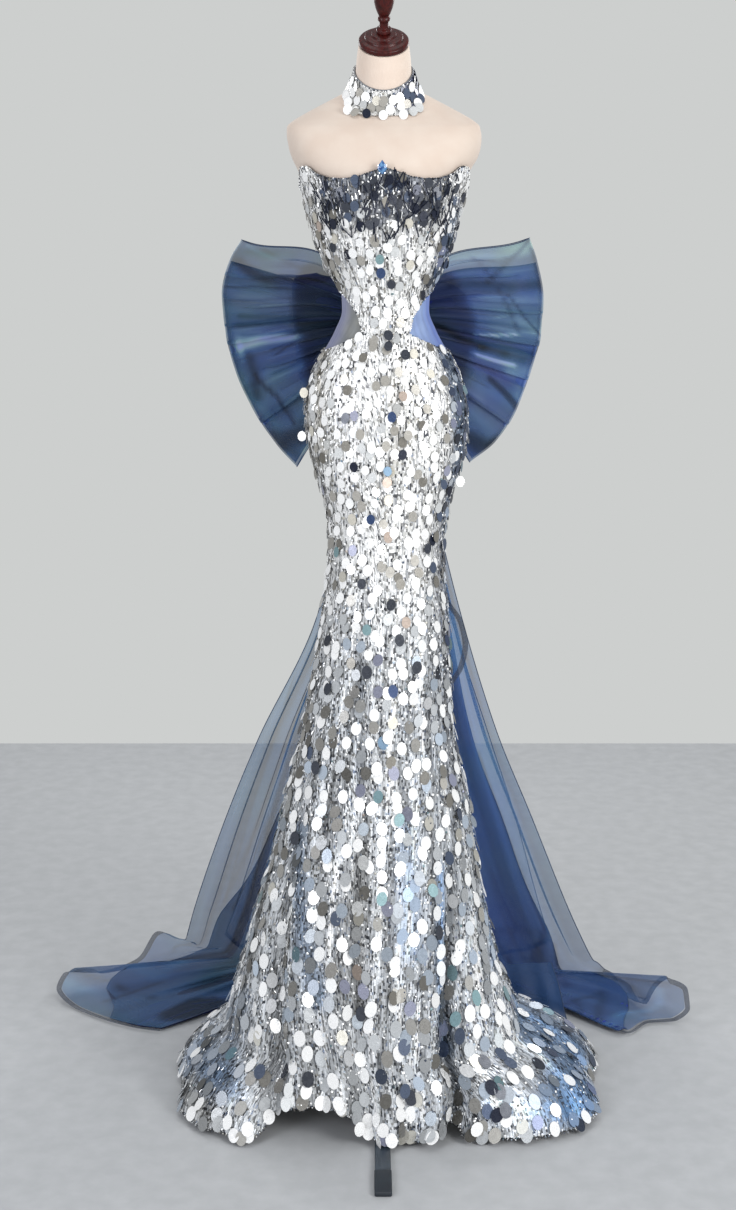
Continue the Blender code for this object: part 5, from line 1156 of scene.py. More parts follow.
@dataclass(frozen=True)
class SequinNet(Finish):
    """Net covered in rows of small sequins: each one a tilted mirror in a slightly different tone."""

    sequin_mm: float = 3.0
    row_mm: float = 5.4
    tilt: float = 0.26
    tones: tuple[tuple[float, str], ...] = (
        (0.0, "#ffffff"), (0.52, "#e2e2e0"), (0.70, "#b4b3b0"), (0.82, "#7b7b7c"), (0.945, "#43464d"),
        (0.985, "#a9b4ca"))

    def pattern(self, tree: bpy.types.NodeTree) -> dict[str, bpy.types.NodeSocket]:
        """Cells of a Voronoi pattern on the cloth map; a cell's colour picks its tone and its tilt."""
        place = scaled(tree, cloth_of(tree), (1000.0 / self.sequin_mm, 1000.0 / self.row_mm, 1.0))
        cells = add(tree, "ShaderNodeTexVoronoi", {"voronoi_dimensions": "2D"},
                    {"Scale": 1.0, "Randomness": 0.40}, {"Vector": place}).outputs
        pick = add(tree, "ShaderNodeSeparateColor", links={"Color": cells["Color"]}).outputs["Red"]
        streak = noise(tree, 1.0, 2.0, scaled(tree, cloth_of(tree), (420.0, 16.0, 1.0)), flat=True)
        toned = multiplied(tree, ramp(tree, pick, self.tones, stepped=True), tints_of(tree))
        shade = ramp(tree, streak, ((0.31, "#9c9fa5"), (0.49, "#ffffff")))
        inside = add(tree, "ShaderNodeVectorMath", {"operation": "SUBTRACT"},
                     links={0: place, 1: cells["Position"]})
        lean = add(tree, "ShaderNodeVectorMath", {"operation": "SUBTRACT"}, {1: (0.5, 0.5, 0.5)},
                   {0: cells["Color"]})
        height = add(tree, "ShaderNodeVectorMath", {"operation": "DOT_PRODUCT"},
                     links={0: inside.outputs["Vector"], 1: lean.outputs["Vector"]})
        depth = 0.001 * self.sequin_mm * self.tilt * 2.0
        return {"Base Color": multiplied(tree, toned, shade),
                "Normal": self.bump(tree, height.outputs["Value"], 1.0, depth)}


@dataclass(frozen=True)
class MirrorFilm(Finish):
    """Metallised film of paillettes, with faint clouding; the tint attribute colours each one."""

    cloud_per_m: float = 160.0

    def pattern(self, tree: bpy.types.NodeTree) -> dict[str, bpy.types.NodeSocket]:
        """Tint straight to the base colour; fine noise in the roughness."""
        rough = add(tree, "ShaderNodeMapRange", sockets={
            "To Min": self.roughness * 0.6, "To Max": self.roughness * 1.5},
            links={"Value": noise(tree, self.cloud_per_m, 1.0)})
        return {"Base Color": tints_of(tree), "Roughness": rough.outputs["Result"]}


@dataclass(frozen=True)
class Organza(Finish):
    """Crisp sheer organza: two close blues in soft clouds, a fine square weave, a low silky sheen."""

    second: str = "#2c3f94"
    cover: float = 0.5
    cloud_per_m: float = 7.0
    radian_mm: float = 2.2     # real threads stand closer, too fine to show

    def constants(self) -> dict[str, float]:
        """One plain alpha, a faint sheen and little gloss."""
        return {"Alpha": self.cover, "Sheen Weight": 0.04, "Sheen Roughness": 0.4,
                "Specular IOR Level": 0.15}

    def pattern(self, tree: bpy.types.NodeTree) -> dict[str, bpy.types.NodeSocket]:
        """Noise between the two colours, threads as waves both ways on the cloth map."""
        blues = ramp(tree, noise(tree, self.cloud_per_m, 3.0),
                     ((0.36, self.colour), (0.62, self.second)))
        weave = add(tree, "ShaderNodeMath", {"operation": "ADD"}, links={
            0: waves(tree, "X", self.radian_mm), 1: waves(tree, "Y", self.radian_mm)})
        return {"Base Color": multiplied(tree, blues, tints_of(tree)),
                "Normal": self.bump(tree, weave.outputs["Value"], 0.03, 0.0001)}


@dataclass(frozen=True)
class Woven(Finish):
    """Ribbed or woven cloth: ribs on the cloth map and soft clouds of tone."""

    radian_mm: float = 1.2
    cloud_per_m: float = 22.0
    direction: str = "X"
    second: str = "#000000"
    sheen: float = 0.1
    cover: float = 1.0
    tinted: bool = False
    relief: float = 0.6

    def constants(self) -> dict[str, float]:
        """Sheen of the fibres, and how much the cloth covers."""
        return {"Sheen Weight": self.sheen, "Alpha": self.cover}

    def pattern(self, tree: bpy.types.NodeTree) -> dict[str, bpy.types.NodeSocket]:
        """Waves across the cloth map for the ribs, noise between the two colours."""
        tone = ramp(tree, noise(tree, self.cloud_per_m, 4.0),
                    ((0.35, self.colour), (0.7, self.second)))
        ribs = waves(tree, self.direction, self.radian_mm)
        return {"Base Color": multiplied(tree, tone, tints_of(tree)) if self.tinted else tone,
                "Normal": self.bump(tree, ribs, self.relief, 0.0004)}


@dataclass(frozen=True)
class TurnedWood(Finish):
    """Turned mahogany under gloss varnish with long dark grain."""

    second: str = "#4c1310"
    coat: float = 0.10
    grain_per_m: tuple[float, float, float] = (260.0, 260.0, 36.0)

    def constants(self) -> dict[str, float]:
        """A clear coat over wood with little gloss of its own."""
        return {"Coat Weight": self.coat, "Coat Roughness": 0.12, "Specular IOR Level": 0.25}

    def pattern(self, tree: bpy.types.NodeTree) -> dict[str, bpy.types.NodeSocket]:
        """Noise drawn out along the turning axis for grain."""
        place = add(tree, "ShaderNodeTexCoord").outputs["Object"]
        grain = noise(tree, 1.0, 5.0, scaled(tree, place, self.grain_per_m))
        return {"Base Color": ramp(tree, grain, ((0.3, self.colour), (0.7, self.second))),
                "Normal": self.bump(tree, grain, 0.2, 0.0003)}


@dataclass(frozen=True)
class Painted(Finish):
    """Sprayed or moulded surface: slight orange peel and a little unevenness in its tone."""

    second: str = "#3a4651"
    peel_per_m: float = 420.0
    cloud_per_m: float = 26.0

    def pattern(self, tree: bpy.types.NodeTree) -> dict[str, bpy.types.NodeSocket]:
        """Coarse noise in the tone, fine noise in the bump."""
        tone = ramp(tree, noise(tree, self.cloud_per_m, 5.0),
                    ((0.35, self.colour), (0.7, self.second)))
        return {"Base Color": tone,
                "Normal": self.bump(tree, noise(tree, self.peel_per_m), 0.15, 0.0004)}


@dataclass(frozen=True)
class CutGlass(Finish):
    """Cut and polished glass stone, clear with a blue body colour."""

    deep: str = "#1f4f96"
    cloud_per_m: float = 180.0

    def constants(self) -> dict[str, float]:
        """Part transmission at the bend of crown glass."""
        return {"Transmission Weight": 0.45, "IOR": 1.55}

    def pattern(self, tree: bpy.types.NodeTree) -> dict[str, bpy.types.NodeSocket]:
        """A deeper blue in clouds, as in tinted glass."""
        return {"Base Color": ramp(tree, noise(tree, self.cloud_per_m),
                                   ((0.35, self.deep), (0.65, self.colour)))}


@dataclass(frozen=True)
class Wardrobe:
    """Every finish; each is made once, when a piece first wears it."""

    # Silver and white glitter over dark satin: small mirrors, large film discs and lined glass beads.
    net: Finish = SequinNet("sequinned_net", roughness=0.35, metallic=0.25)
    film: Finish = MirrorFilm("metallised_film", roughness=0.26, metallic=0.28)
    glass: Finish = MirrorFilm("silver_lined_glass", roughness=0.25, metallic=0.35)
    lining: Finish = Woven("satin_lining", "#20283a", 0.5, second="#171d2b", sheen=0.3)
    # A soft violet-blue haze at the waist.
    mesh: Finish = Woven("stretch_mesh", "#ffffff", 0.7, radian_mm=1.5, second="#d8dcec", sheen=0.3,
                         tinted=True)
    # Sheer blues that deepen wherever the cloth lies double, and dark lines along every edge.
    organza: Finish = Organza("silk_organza", "#a8bfd2", second="#899bda", cover=0.54, cloud_per_m=9.0)
    second: Finish = Organza("silk_organza_lined", "#7c9ad2", second="#6c7fd4", cover=0.74,
                             cloud_per_m=9.0)
    # Inner loops and third tail layer: deep navy from cloth lying many times double, and painted shade.
    inner: Finish = Organza("silk_organza_folded_painted_shade", "#1c2a6c", second="#18225e", cover=0.88,
                            cloud_per_m=9.0)
    train: Finish = Organza("silk_organza_train", "#4f7fa6", second="#4570a6", cover=0.58,
                            cloud_per_m=4.0)
    train_right: Finish = Organza("silk_organza_train_right", "#4f7caa", second="#446cac", cover=0.58,
                                  cloud_per_m=4.0)
    sheer: Finish = Organza("silk_organza_sheer", "#4f7fa6", second="#4570a6", cover=0.26,
                            cloud_per_m=4.0)
    doubled_left: Finish = Organza("silk_organza_doubled_left", "#27446c", second="#233c62",
                                   cover=0.80, cloud_per_m=4.0)
    doubled_right: Finish = Organza("silk_organza_doubled_right", "#2a3f92", second="#263a90",
                                    cover=0.90, cloud_per_m=4.0)
    wound: Finish = Organza("silk_organza_wound", "#3a5494", second="#2b4288", cover=1.0)
    hem: Finish = Painted("rolled_organza_hem", "#2c4262", second="#22344f")
    braid: Finish = Woven("horsehair_braid", "#1f2b3e", second="#2b3950", cover=0.50, direction="Y")
    # Warm matt cream, deep red gloss, near-black stand.
    jersey: Finish = Woven("cotton_jersey", "#dccabb", 0.85, radian_mm=0.9, second="#e2d3c5",
                           sheen=0.12, tinted=True, relief=0.05)
    wood: Finish = TurnedWood("varnished_mahogany", "#240605", 0.42)
    steel: Finish = Painted("satin_painted_steel", "#222a33", 0.42)
    rubber: Finish = Painted("moulded_rubber", "#1a2129", 0.60, second="#232d36", peel_per_m=700.0)
    # Small bright points: the stone, its claws, the zip, and the choker's dull cord.
    crystal: Finish = CutGlass("cut_glass", "#7fb4e4", 0.04)
    nickel: Finish = Painted("polished_nickel", "#c4c5c8", 0.22, 1.0, second="#d6d7d9",
                             peel_per_m=900.0)
    cord: Finish = Painted("waxed_grey_cord", "#63666c", 0.6, second="#85888c", peel_per_m=900.0)
    tape: Finish = Woven("woven_zip_tape", "#9ea0a6", 0.8, second="#aeb0b5", radian_mm=0.9,
                         direction="Y")
    # Pale, even and without shine, so that the organza reads against it.
    floor: Finish = Painted("matt_painted_floor", "#a8aaac", 0.75, second="#b0b2b4", peel_per_m=90.0)


# ------------------------------------------------------------------ sequins and beads
TONES = np.array([linear(tone.value) for tone in SequinTone])
TONE_NAMES = [tone.name for tone in SequinTone]


def tone_shares(**shares: float) -> Array:
    """Shares of the sequin tones as an array in the order of the tones."""
    return np.array([shares.get(name.lower(), 0.0) for name in TONE_NAMES])


BRIGHT = tone_shares(white=0.58, silver=0.16, cream=0.05, warm=0.10, grey=0.05, charcoal=0.010,
                     navy=0.003, royal=0.001, sky=0.003, teal=0.003, peach=0.005, lavender=0.006)
# Dark yoke: partly the net's own slate, partly painted reflection of dark surroundings in its discs.
SHADED = tone_shares(charcoal=0.37, navy=0.18, slate=0.33, grey=0.05, silver=0.04, white=0.03)
HIP_BEADS = tone_shares(white=0.66, silver=0.16, grey=0.10, charcoal=0.08)
LOW_BEADS = tone_shares(white=0.52, silver=0.20, ice=0.12, grey=0.07, slate=0.06, charcoal=0.03)
LEFT_FLANK = tone_shares(white=0.30, silver=0.10, warm=0.28, grey=0.20, charcoal=0.05, cream=0.05)
RIGHT_FLANK = tone_shares(white=0.20, silver=0.14, grey=0.08, charcoal=0.12, navy=0.08, royal=0.03,
                          slate=0.22, lavender=0.10, teal=0.02)
LOWER_LEFT = tone_shares(white=0.36, silver=0.24, ice=0.10, warm=0.14, grey=0.09, charcoal=0.02,
                         cream=0.03, teal=0.01, slate=0.02)
LOWER_RIGHT = tone_shares(white=0.42, silver=0.18, ice=0.18, warm=0.04, grey=0.04, charcoal=0.015,
                          slate=0.05, teal=0.03, lavender=0.05, cream=0.03)
CHOKER_RIGHT = tone_shares(slate=0.30, lavender=0.18, charcoal=0.20, silver=0.16, white=0.16)


def tone_weights(bearing: Array, height: Array) -> Array:
    """Chance of each sequin tone at places on the gown.

    Zones blend into one another: a dark yoke below the neckline whose lower edge is scalloped, dark partly
    from its own slate net and partly from painted reflection of dark surroundings in its discs; warmer
    greys on the left flank, blues on the right flank, and cooler tones low on the right.

    Args:
        bearing: Bearings.
        height: Heights.

    Returns:
        One row of chances for each place.
    """
    bearing = wrap_degrees(bearing)
    yoke_edge = (1.520 + 0.006 * np.sin(np.radians(bearing * 11.0))
                 + 0.004 * np.sin(np.radians(bearing * 23.0)))
    peak = ease((np.abs(bearing) - 42.0) / 7.0) * ease((height - 1.556) / 0.016)
    yoke = (ease((height - yoke_edge) / 0.008 + 0.5) * ease((53.0 - np.abs(bearing + 3.0)) / 10.0)
            * (1.0 - peak))
    left = ease((-bearing - 48.0) / 34.0) * ease((height - 0.55) / 0.4) * (1.0 - peak)
    right = ease((bearing - 42.0) / 22.0) * ease((height - 0.40) / 0.4) * (1.0 - peak)
    low = ease((1.06 - height) / 0.40)
    cool = low * ease((bearing + 20.0) / 50.0)
    warm = low * ease((-bearing + 10.0) / 50.0)
    weights = np.broadcast_to(BRIGHT, bearing.shape + BRIGHT.shape)
    for share, shares in ((cool, LOWER_RIGHT), (warm, LOWER_LEFT), (left, LEFT_FLANK),
                          (right, RIGHT_FLANK), (yoke, SHADED)):
        weights = weights * (1.0 - share[..., None]) + shares * share[..., None]
    return weights / weights.sum(axis=-1, keepdims=True)


def streaks(bearing: Array, height: Array) -> Array:
    """Long soft upright patches of light and shade, stronger lower down.

    The exponent of a sum of sines of bearing whose phases drift with height, of the gown's strokes and
    of the light lost in folds that sink, times a colour shift from the strokes' hue.

    Args:
        bearing: Bearings.
        height: Heights.

    Returns:
        A factor for red, green and blue at each place.
    """
    angle = np.radians(bearing)
    total = np.zeros(np.broadcast(bearing, height).shape)
    for count, drift, phase, size in STREAK_WAVES:
        total += size * np.sin(count * angle + phase + 2.2 * np.sin(drift * height + phase))
    low = ease((1.06 - height) / 0.30)
    strength = 0.10 + 0.40 * low
    sunk = np.clip(GOWN.relief(bearing, height), -0.03, 0.0)
    placed, hue = strokes_at(wrap_degrees(bearing), height, GOWN_STROKES, GOWN_SPAN)
    # Painted shade darkens the skirt lower down and in sinking folds; the colour turns cooler lower down
    # too.
    level = np.exp(np.clip(strength * total + placed + 14.0 * sunk - 0.30 * low, -2.2, 0.5))
    colour = 1.0 + np.where(hue > 0.0, hue, 0.0)[..., None] * np.array([0.02, -0.04, -0.16])
    cool = np.where(hue < 0.0, -hue, 0.0) + 0.16 * low
    colour = colour + cool[..., None] * np.array([-0.26, -0.10, 0.16])
    return np.clip(level[..., None] * colour, 0.03, 1.4)


def cloth_tint(bearing: Array, height: Array) -> Array:
    """Tint of the net under the sequins: the mean tone of its zone, lifted towards white, times the
    painted light and shade of the streaks.
    """
    mean = tone_weights(bearing, height) @ TONES
    tint = np.ones(mean.shape)
    tint[..., :3] = (0.12 + 1.05 * mean[..., :3]) * streaks(bearing, height)
    return np.clip(tint, 0.0, 1.0)


@dataclass(frozen=True)
class Shape:
    """A small closed shape that is repeated: points in units of its size, and faces."""

    points: Array
    faces: list[Array]


def round_of(sides: int) -> tuple[Array, Array, Array]:
    """Angles round a ring, the number of each place and that of the next."""
    index = np.arange(sides)
    return index * math.tau / sides, index, (index + 1) % sides


def disc_shape(sides: int, thickness: float) -> Shape:
    """Flat disc: two rings of points on a circle, a cap on each and a rim between."""
    turn, index, after = round_of(sides)
    ring = np.stack([0.5 * np.sin(turn), -0.5 * np.cos(turn)], axis=-1)
    top = np.column_stack([ring, np.full(sides, 0.5 * thickness)])
    low = np.column_stack([ring, np.full(sides, -0.5 * thickness)])
    caps = np.stack([index, index[::-1] + sides])
    rim = np.stack([index, index + sides, after + sides, after], axis=-1)
    return Shape(np.concatenate([top, low]), [caps, rim])


def spindle_shape(sides: int, waist: float) -> Shape:
    """Closed spindle along y: two rings near its ends and a point at each end."""
    turn, index, after = round_of(sides)
    ring = np.stack([0.5 * np.cos(turn), 0.5 * np.sin(turn)], axis=-1)
    high = np.column_stack([ring[:, 0], np.full(sides, waist), ring[:, 1]])
    low = np.column_stack([ring[:, 0], np.full(sides, -waist), ring[:, 1]])
    points = np.concatenate([high, low, [(0.0, 0.5, 0.0), (0.0, -0.5, 0.0)]])
    sides_faces = np.stack([index, after, after + sides, index + sides], axis=-1)
    top = np.stack([after, index, np.full(sides, 2 * sides)], axis=-1)
    foot = np.stack([index + sides, after + sides, np.full(sides, 2 * sides + 1)], axis=-1)
    return Shape(points, [sides_faces, np.concatenate([top, foot])])


def cup_shape(sides: int) -> Shape:
    """Small faceted cup sequin: a ring with a shallow point on each side."""
    turn, index, after = round_of(sides)
    ring = np.column_stack([0.5 * np.sin(turn), -0.5 * np.cos(turn), np.zeros(sides)])
    points = np.concatenate([ring, [(0.0, 0.0, 0.16), (0.0, 0.0, -0.05)]])
    top = np.stack([index, after, np.full(sides, sides)], axis=-1)
    low = np.stack([after, index, np.full(sides, sides + 1)], axis=-1)
    return Shape(points, [np.concatenate([top, low])])


def drawn(weights: Array, rng: np.random.Generator) -> Array:
    """Number of one tone for each row of chances."""
    pick = (rng.random(len(weights))[:, None] > np.cumsum(weights, axis=-1)).sum(axis=-1)
    return pick.clip(0, len(TONES) - 1)


def stamp(shape: Shape, centres: Array, frames: Array, sizes: Array, tints: Array) -> Skin:
    """Repeat a shape at many places as one mesh.

    Args:
        shape: The shape.
        centres: Middle of each copy.
        frames: Three unit vectors of each copy, for its x, y and z.
        sizes: Size of each copy along those.
        tints: Colour of each copy.

    Returns:
        The joined skin.
    """
    count, points = len(centres), len(shape.points)
    sized = shape.points[None, :, :] * sizes[:, None, :]
    placed = centres[:, None, :] + np.einsum("npk,nkj->npj", sized, frames)
    shift = (np.arange(count) * points)[:, None, None]
    faces = [(group[None] + shift).reshape(-1, group.shape[1]) for group in shape.faces]
    return Skin(placed.reshape(-1, 3), faces, tint=np.repeat(tints, points, axis=0))


def sewn(name: str, finish: Finish, stamped: Skin, slot: Slot = Slot.SEQUIN) -> bpy.types.Object:
    """One piece of a shape stamped at many places, with its facets kept sharp."""
    return settle(stamped.piece(name, finish, smooth=False), slot)


def swung(first: Array, second: Array, angle: Array) -> tuple[Array, Array]:
    """Two square vectors turned in their plane, the first towards the second."""
    cosine, sine = np.cos(angle)[:, None], np.sin(angle)[:, None]
    return first * cosine + second * sine, second * cosine - first * sine


def tilted_frames(side: Array, up: Array, out: Array, pitch: Array, yaw: Array, roll: Array) -> Array:
    """Frames turned by roll in their plane, then yaw about up, then pitch about side (radians)."""
    side, up = swung(side, up, roll)
    side, out = swung(side, out, -yaw)
    up, out = swung(up, out, -pitch)
    return np.stack([side, up, out], axis=1)


@dataclass
class Embroidery:
    """Paillettes, cup sequins and bugle beads sewn over the gown.

    Rows of places stand a share of the pitch apart. The lifts are distances off the net: of every
    paillette, and more for those placed one by one and for loose ones; then of the yoke's long beads and
    of the beads along the edges.
    """

    finishes: Wardrobe
    seed: int = 71
    disc_sides: int = 13
    film: float = 0.0003
    top: float = 1.612
    row_step: float = 0.87
    sewn_lift: float = 0.0012
    placed_lift: float = 0.0030
    loose_lift: float = 0.0035
    yoke_lift: float = 0.0046
    edging_lift: float = 0.0008

    def disc_width(self, height: Array) -> Array:
        """Paillettes are 14 mm wide above the hips and grow to 21 mm at the hem."""
        return np.interp(height, (0.0, 0.35, 0.75, 1.15, 1.65), (0.0212, 0.0192, 0.0166, 0.0142, 0.0140))

    def disc_tall(self, height: Array) -> Array:
        """Height of a paillette over its width."""
        return np.interp(height, (0.0, 0.15, 0.6, 1.15, 1.65), (1.22, 1.36, 1.34, 1.22, 1.18))

    def places(self, pitch: Callable[[Array], Array], stagger: float, rng: np.random.Generator,
               top: Edge, bottom: Edge) -> tuple[Array, Array]:
        """Even, shuffled places over the whole gown.

        Rows stand a pitch apart; along each, places are even in the length of the section there.

        Args:
            pitch: Distance between neighbours at a height.
            stagger: How far a place may stray, in pitches.
            rng: Source of the shuffling.
            top: Highest place at a bearing.
            bottom: Lowest place at a bearing.

        Returns:
            Bearings and heights.
        """
        ring = np.linspace(-180.0, 180.0, 1081)
        bearings, heights = [], []
        level, odd = 0.006, 0
        while level < self.top:
            step = float(pitch(np.array(level)))
            run = run_along(GOWN.face(ring, np.full_like(ring, level)))
            count = int(run[-1] / step)
            at = (np.arange(count) + 0.5 * odd + rng.uniform(-stagger, stagger, count)) / count
            bearings.append(np.interp((at % 1.0) * run[-1], run, ring))
            heights.append(level + rng.uniform(-stagger, stagger, count) * step)
            level += self.row_step * step
            odd = 1 - odd
        bearing, height = np.concatenate(bearings), np.concatenate(heights)
        bare = (height > GOWN.edge(bearing, "skirt_top") - 0.002) & (
            height < GOWN.edge(bearing, "bodice_low") + 0.004)
        keep = (height < top(bearing)) & (height > bottom(bearing)) & ~bare
        return bearing[keep], height[keep]

    def tints(self, bearing: Array, height: Array, rng: np.random.Generator, beads: float = 0.0
              ) -> Array:
        """A tone for each place, drawn from its zone; all but bright ones take on the painted light and
        shade of the streaks.

        Args:
            bearing: Bearings.
            height: Heights.
            rng: Source of the draws.
            beads: Share of the draws that follow the mix of small beads.

        Returns:
            One colour for each place.
        """
        low = ease((1.02 - height) / 0.30)[:, None]
        mix = HIP_BEADS * (1.0 - low) + LOW_BEADS * low
        weights = (1.0 - beads) * tone_weights(bearing, height) + beads * mix
        pick = drawn(weights, rng)
        shade = streaks(bearing, height)
        # White discs deep in the painted shade are drawn dull; the rest take most of the painted light and
        # shade.
        dull = rng.random(len(bearing)) < 0.75 * ease((0.62 - shade.mean(axis=-1)) / 0.4)
        bright = (pick == TONE_NAMES.index("WHITE")) & ~dull
        blend = np.where(bright, 0.10, 0.80)[:, None]
        tints = np.ones((len(bearing), 4))
        tints[:, :3] = (TONES[pick][:, :3] * rng.uniform(0.90, 1.03, (len(bearing), 1))
                        * (1.0 - blend + blend * shade))
        return np.clip(tints, 0.0, 1.0)

    @staticmethod
    def split(name: str, finish: Finish, bearing: Array, height: Array, shape: Shape, *parts: Array
              ) -> list[bpy.types.Object]:
        """Stamp a shape as one piece each for the bodice, the skirt's front and the skirt's back.

        Args:
            name: The pieces' name before that of their zone.
            finish: What they wear.
            bearing: Bearings of the places.
            height: Heights of the places.
            shape: The shape.
            *parts: Centres, frames, sizes and tints of the places.

        Returns:
            The three pieces.
        """
        pieces = []
        front = np.abs(wrap_degrees(bearing)) < 90.0
        upper = height > GOWN.edge(bearing, "bodice_low") - 0.002
        for zone, mask in (("bodice", upper), ("skirt_front", ~upper & front),
                           ("skirt_back", ~upper & ~front)):
            stamped = stamp(shape, *(part[mask] for part in parts))
            pieces.append(sewn(name + "_" + zone, finish, stamped))
            LOG.info("%s: %d sewn on", pieces[-1].name, int(mask.sum()))
        return pieces

    def paillettes(self) -> list[bpy.types.Object]:
        """Large film discs sewn by their upper edge, so that their lower edge stands off the cloth."""
        rng = np.random.default_rng(self.seed)

        def pitch(height: Array) -> Array:
            """Distance between neighbours that covers the zone's share of the net."""
            wide = self.disc_width(height)
            cover = np.interp(height, (0.70, 1.05, 1.34, 1.46), (0.37, 0.34, 0.34, 0.40))
            return np.sqrt(0.25 * math.pi * wide * wide * self.disc_tall(height) / cover)

        bearing, height = self.places(
            pitch, 0.36, rng, lambda b: GOWN.edge(b, "neckline") - 0.004, lambda b: GOWN.hem(b) + 0.004)
        fringe = self.fringe(rng)
        placed = np.array([row[:2] for row in ACCENTS])
        ring = len(bearing)
        bearing = np.concatenate([bearing, fringe, placed[:, 0]])
        height = np.concatenate([height, GOWN.hem(fringe) + rng.uniform(-0.001, 0.010, len(fringe)),
                                 placed[:, 1]])
        point, side, up, out = stand_on(GOWN.face, bearing, height)
        count = len(bearing)
        wide = self.disc_width(height) * rng.uniform(0.94, 1.05, count)
        tall = wide * self.disc_tall(height) * rng.uniform(0.96, 1.04, count)
        flank = np.exp(-((np.abs(wrap_degrees(bearing)) - 88.0) / 12.0) ** 2)
        pitch_turn = np.radians(rng.normal(5.0, 4.5, count).clip(-2.0, 20.0)
                                + flank * rng.uniform(0.0, 5.0, count))
        frames = tilted_frames(side, up, out, pitch_turn, np.radians(rng.normal(0.0, 6.0, count)),
                               np.radians(rng.normal(0.0, 9.0, count)))
        lift = (self.sewn_lift + 0.25 * tall * np.sin(np.abs(pitch_turn))
                + rng.uniform(0.0, 0.0024, count))
        lift[ring + len(fringe):] += self.placed_lift
        loose = np.arange(count)[ring + len(fringe):][np.abs(placed[:, 0]) > LOOSE_FROM]
        frames[loose] = ((1.0, 0.0, 0.0), (0.0, 0.0, 1.0), (0.0, -1.0, 0.0))
        lift[loose] += self.loose_lift
        centres = point + out * lift[:, None]
        sizes = np.stack([wide, tall, np.full(count, 1.0)], axis=-1)
        tints = self.tints(bearing, height, rng)
        tints[ring + len(fringe):] = [linear(SequinTone[row[2]].value) for row in ACCENTS]
        return self.split("paillettes", self.finishes.film, bearing, height,
                          disc_shape(self.disc_sides, self.film), centres, frames, sizes, tints)

    @staticmethod
    def fringe(rng: np.random.Generator) -> Array:
        """Bearings, uneven, of the paillettes that hang past the hem."""
        steps = rng.uniform(2.2, 7.5, 110)
        bearing = -178.0 + np.cumsum(steps)
        return bearing[bearing < 178.0]

    def cups(self) -> list[bpy.types.Object]:
        """Small cup sequins between the paillettes, tilted every way so that they glitter."""
        rng = np.random.default_rng(self.seed + 1)
        bearing, height = self.places(
            lambda h: np.interp(h, (0.0, 0.5, 1.65), (0.0125, 0.0112, 0.0088)), 0.45, rng,
            lambda b: GOWN.edge(b, "neckline") - 0.001, lambda b: GOWN.hem(b) + 0.001)
        point, side, up, out = stand_on(GOWN.face, bearing, height)
        count = len(bearing)
        frames = tilted_frames(side, up, out, np.radians(rng.normal(4.0, 13.0, count)),
                               np.radians(rng.normal(0.0, 14.0, count)), rng.uniform(0.0, 3.0, count))
        sizes = np.repeat(rng.uniform(0.0034, 0.0052, count)[:, None], 3, axis=1)
        centres = point + out * rng.uniform(0.0009, 0.0016, count)[:, None]
        tints = self.tints(bearing, height, rng, 0.5)
        return self.split("cup_sequins", self.finishes.film, bearing, height, cup_shape(5), centres,
                          frames, sizes, tints)

    def bugles(self) -> list[bpy.types.Object]:
        """Long bugle beads, most of them nearly upright."""
        rng = np.random.default_rng(self.seed + 2)
        bearing, height = self.places(
            lambda h: np.interp(h, (0.0, 0.5, 1.20, 1.40, 1.65),
                                (0.0165, 0.0160, 0.0160, 0.0112, 0.0112)), 0.45, rng,
            lambda b: GOWN.edge(b, "neckline") - 0.005, lambda b: GOWN.hem(b) + 0.003)
        point, side, up, out = stand_on(GOWN.face, bearing, height)
        count = len(bearing)
        slant = np.where(rng.random(count) < 0.16, rng.normal(0.0, 38.0, count),
                         rng.normal(0.0, 9.0, count))
        frames = tilted_frames(side, up, out, np.radians(rng.normal(2.0, 4.0, count)),
                               np.zeros(count), np.radians(slant))
        thick = rng.uniform(0.0010, 0.0015, count)
        long = rng.uniform(0.0045, 0.0075, count) * (1.0 + 0.5 * ease((height - 1.35) / 0.1))
        centres = point + out * (0.6 * thick + 0.0008)[:, None]
        tints = self.tints(bearing, height, rng, 0.6)
        return self.split("bugle_beads", self.finishes.glass, bearing, height, spindle_shape(3, 0.44),
                          centres, frames, np.stack([thick, long, thick], axis=-1), tints)

    def long_beads(self) -> bpy.types.Object:
        """Long dark and bright bugle beads at every slant over the yoke."""
        rng = np.random.default_rng(self.seed + 3)
        count = 170
        bearing = rng.uniform(-52.0, 52.0, count)
        height = rng.uniform(1.505, 1.600, count)
        keep = height < GOWN.edge(bearing, "neckline") - 0.009
        bearing, height = bearing[keep], height[keep]
        point, side, up, out = stand_on(GOWN.face, bearing, height)
        count = len(bearing)
        frames = tilted_frames(side, up, out, np.zeros(count), np.zeros(count),
                               np.radians(rng.normal(0.0, 24.0, count)))
        dark = rng.random(count) < 0.76
        long = np.where(dark, rng.uniform(0.012, 0.030, count), rng.uniform(0.007, 0.016, count))
        thick = np.where(dark, 0.0021, 0.0016)
        sizes = np.stack([thick, long, thick], axis=-1)
        tints = np.where(dark[:, None], linear(SequinTone.NAVY.value),
                         linear(SequinTone.SILVER.value))
        return sewn("long_beads_yoke", self.finishes.glass, stamp(
            spindle_shape(6, 0.47), point + out * self.yoke_lift, frames, sizes, tints))

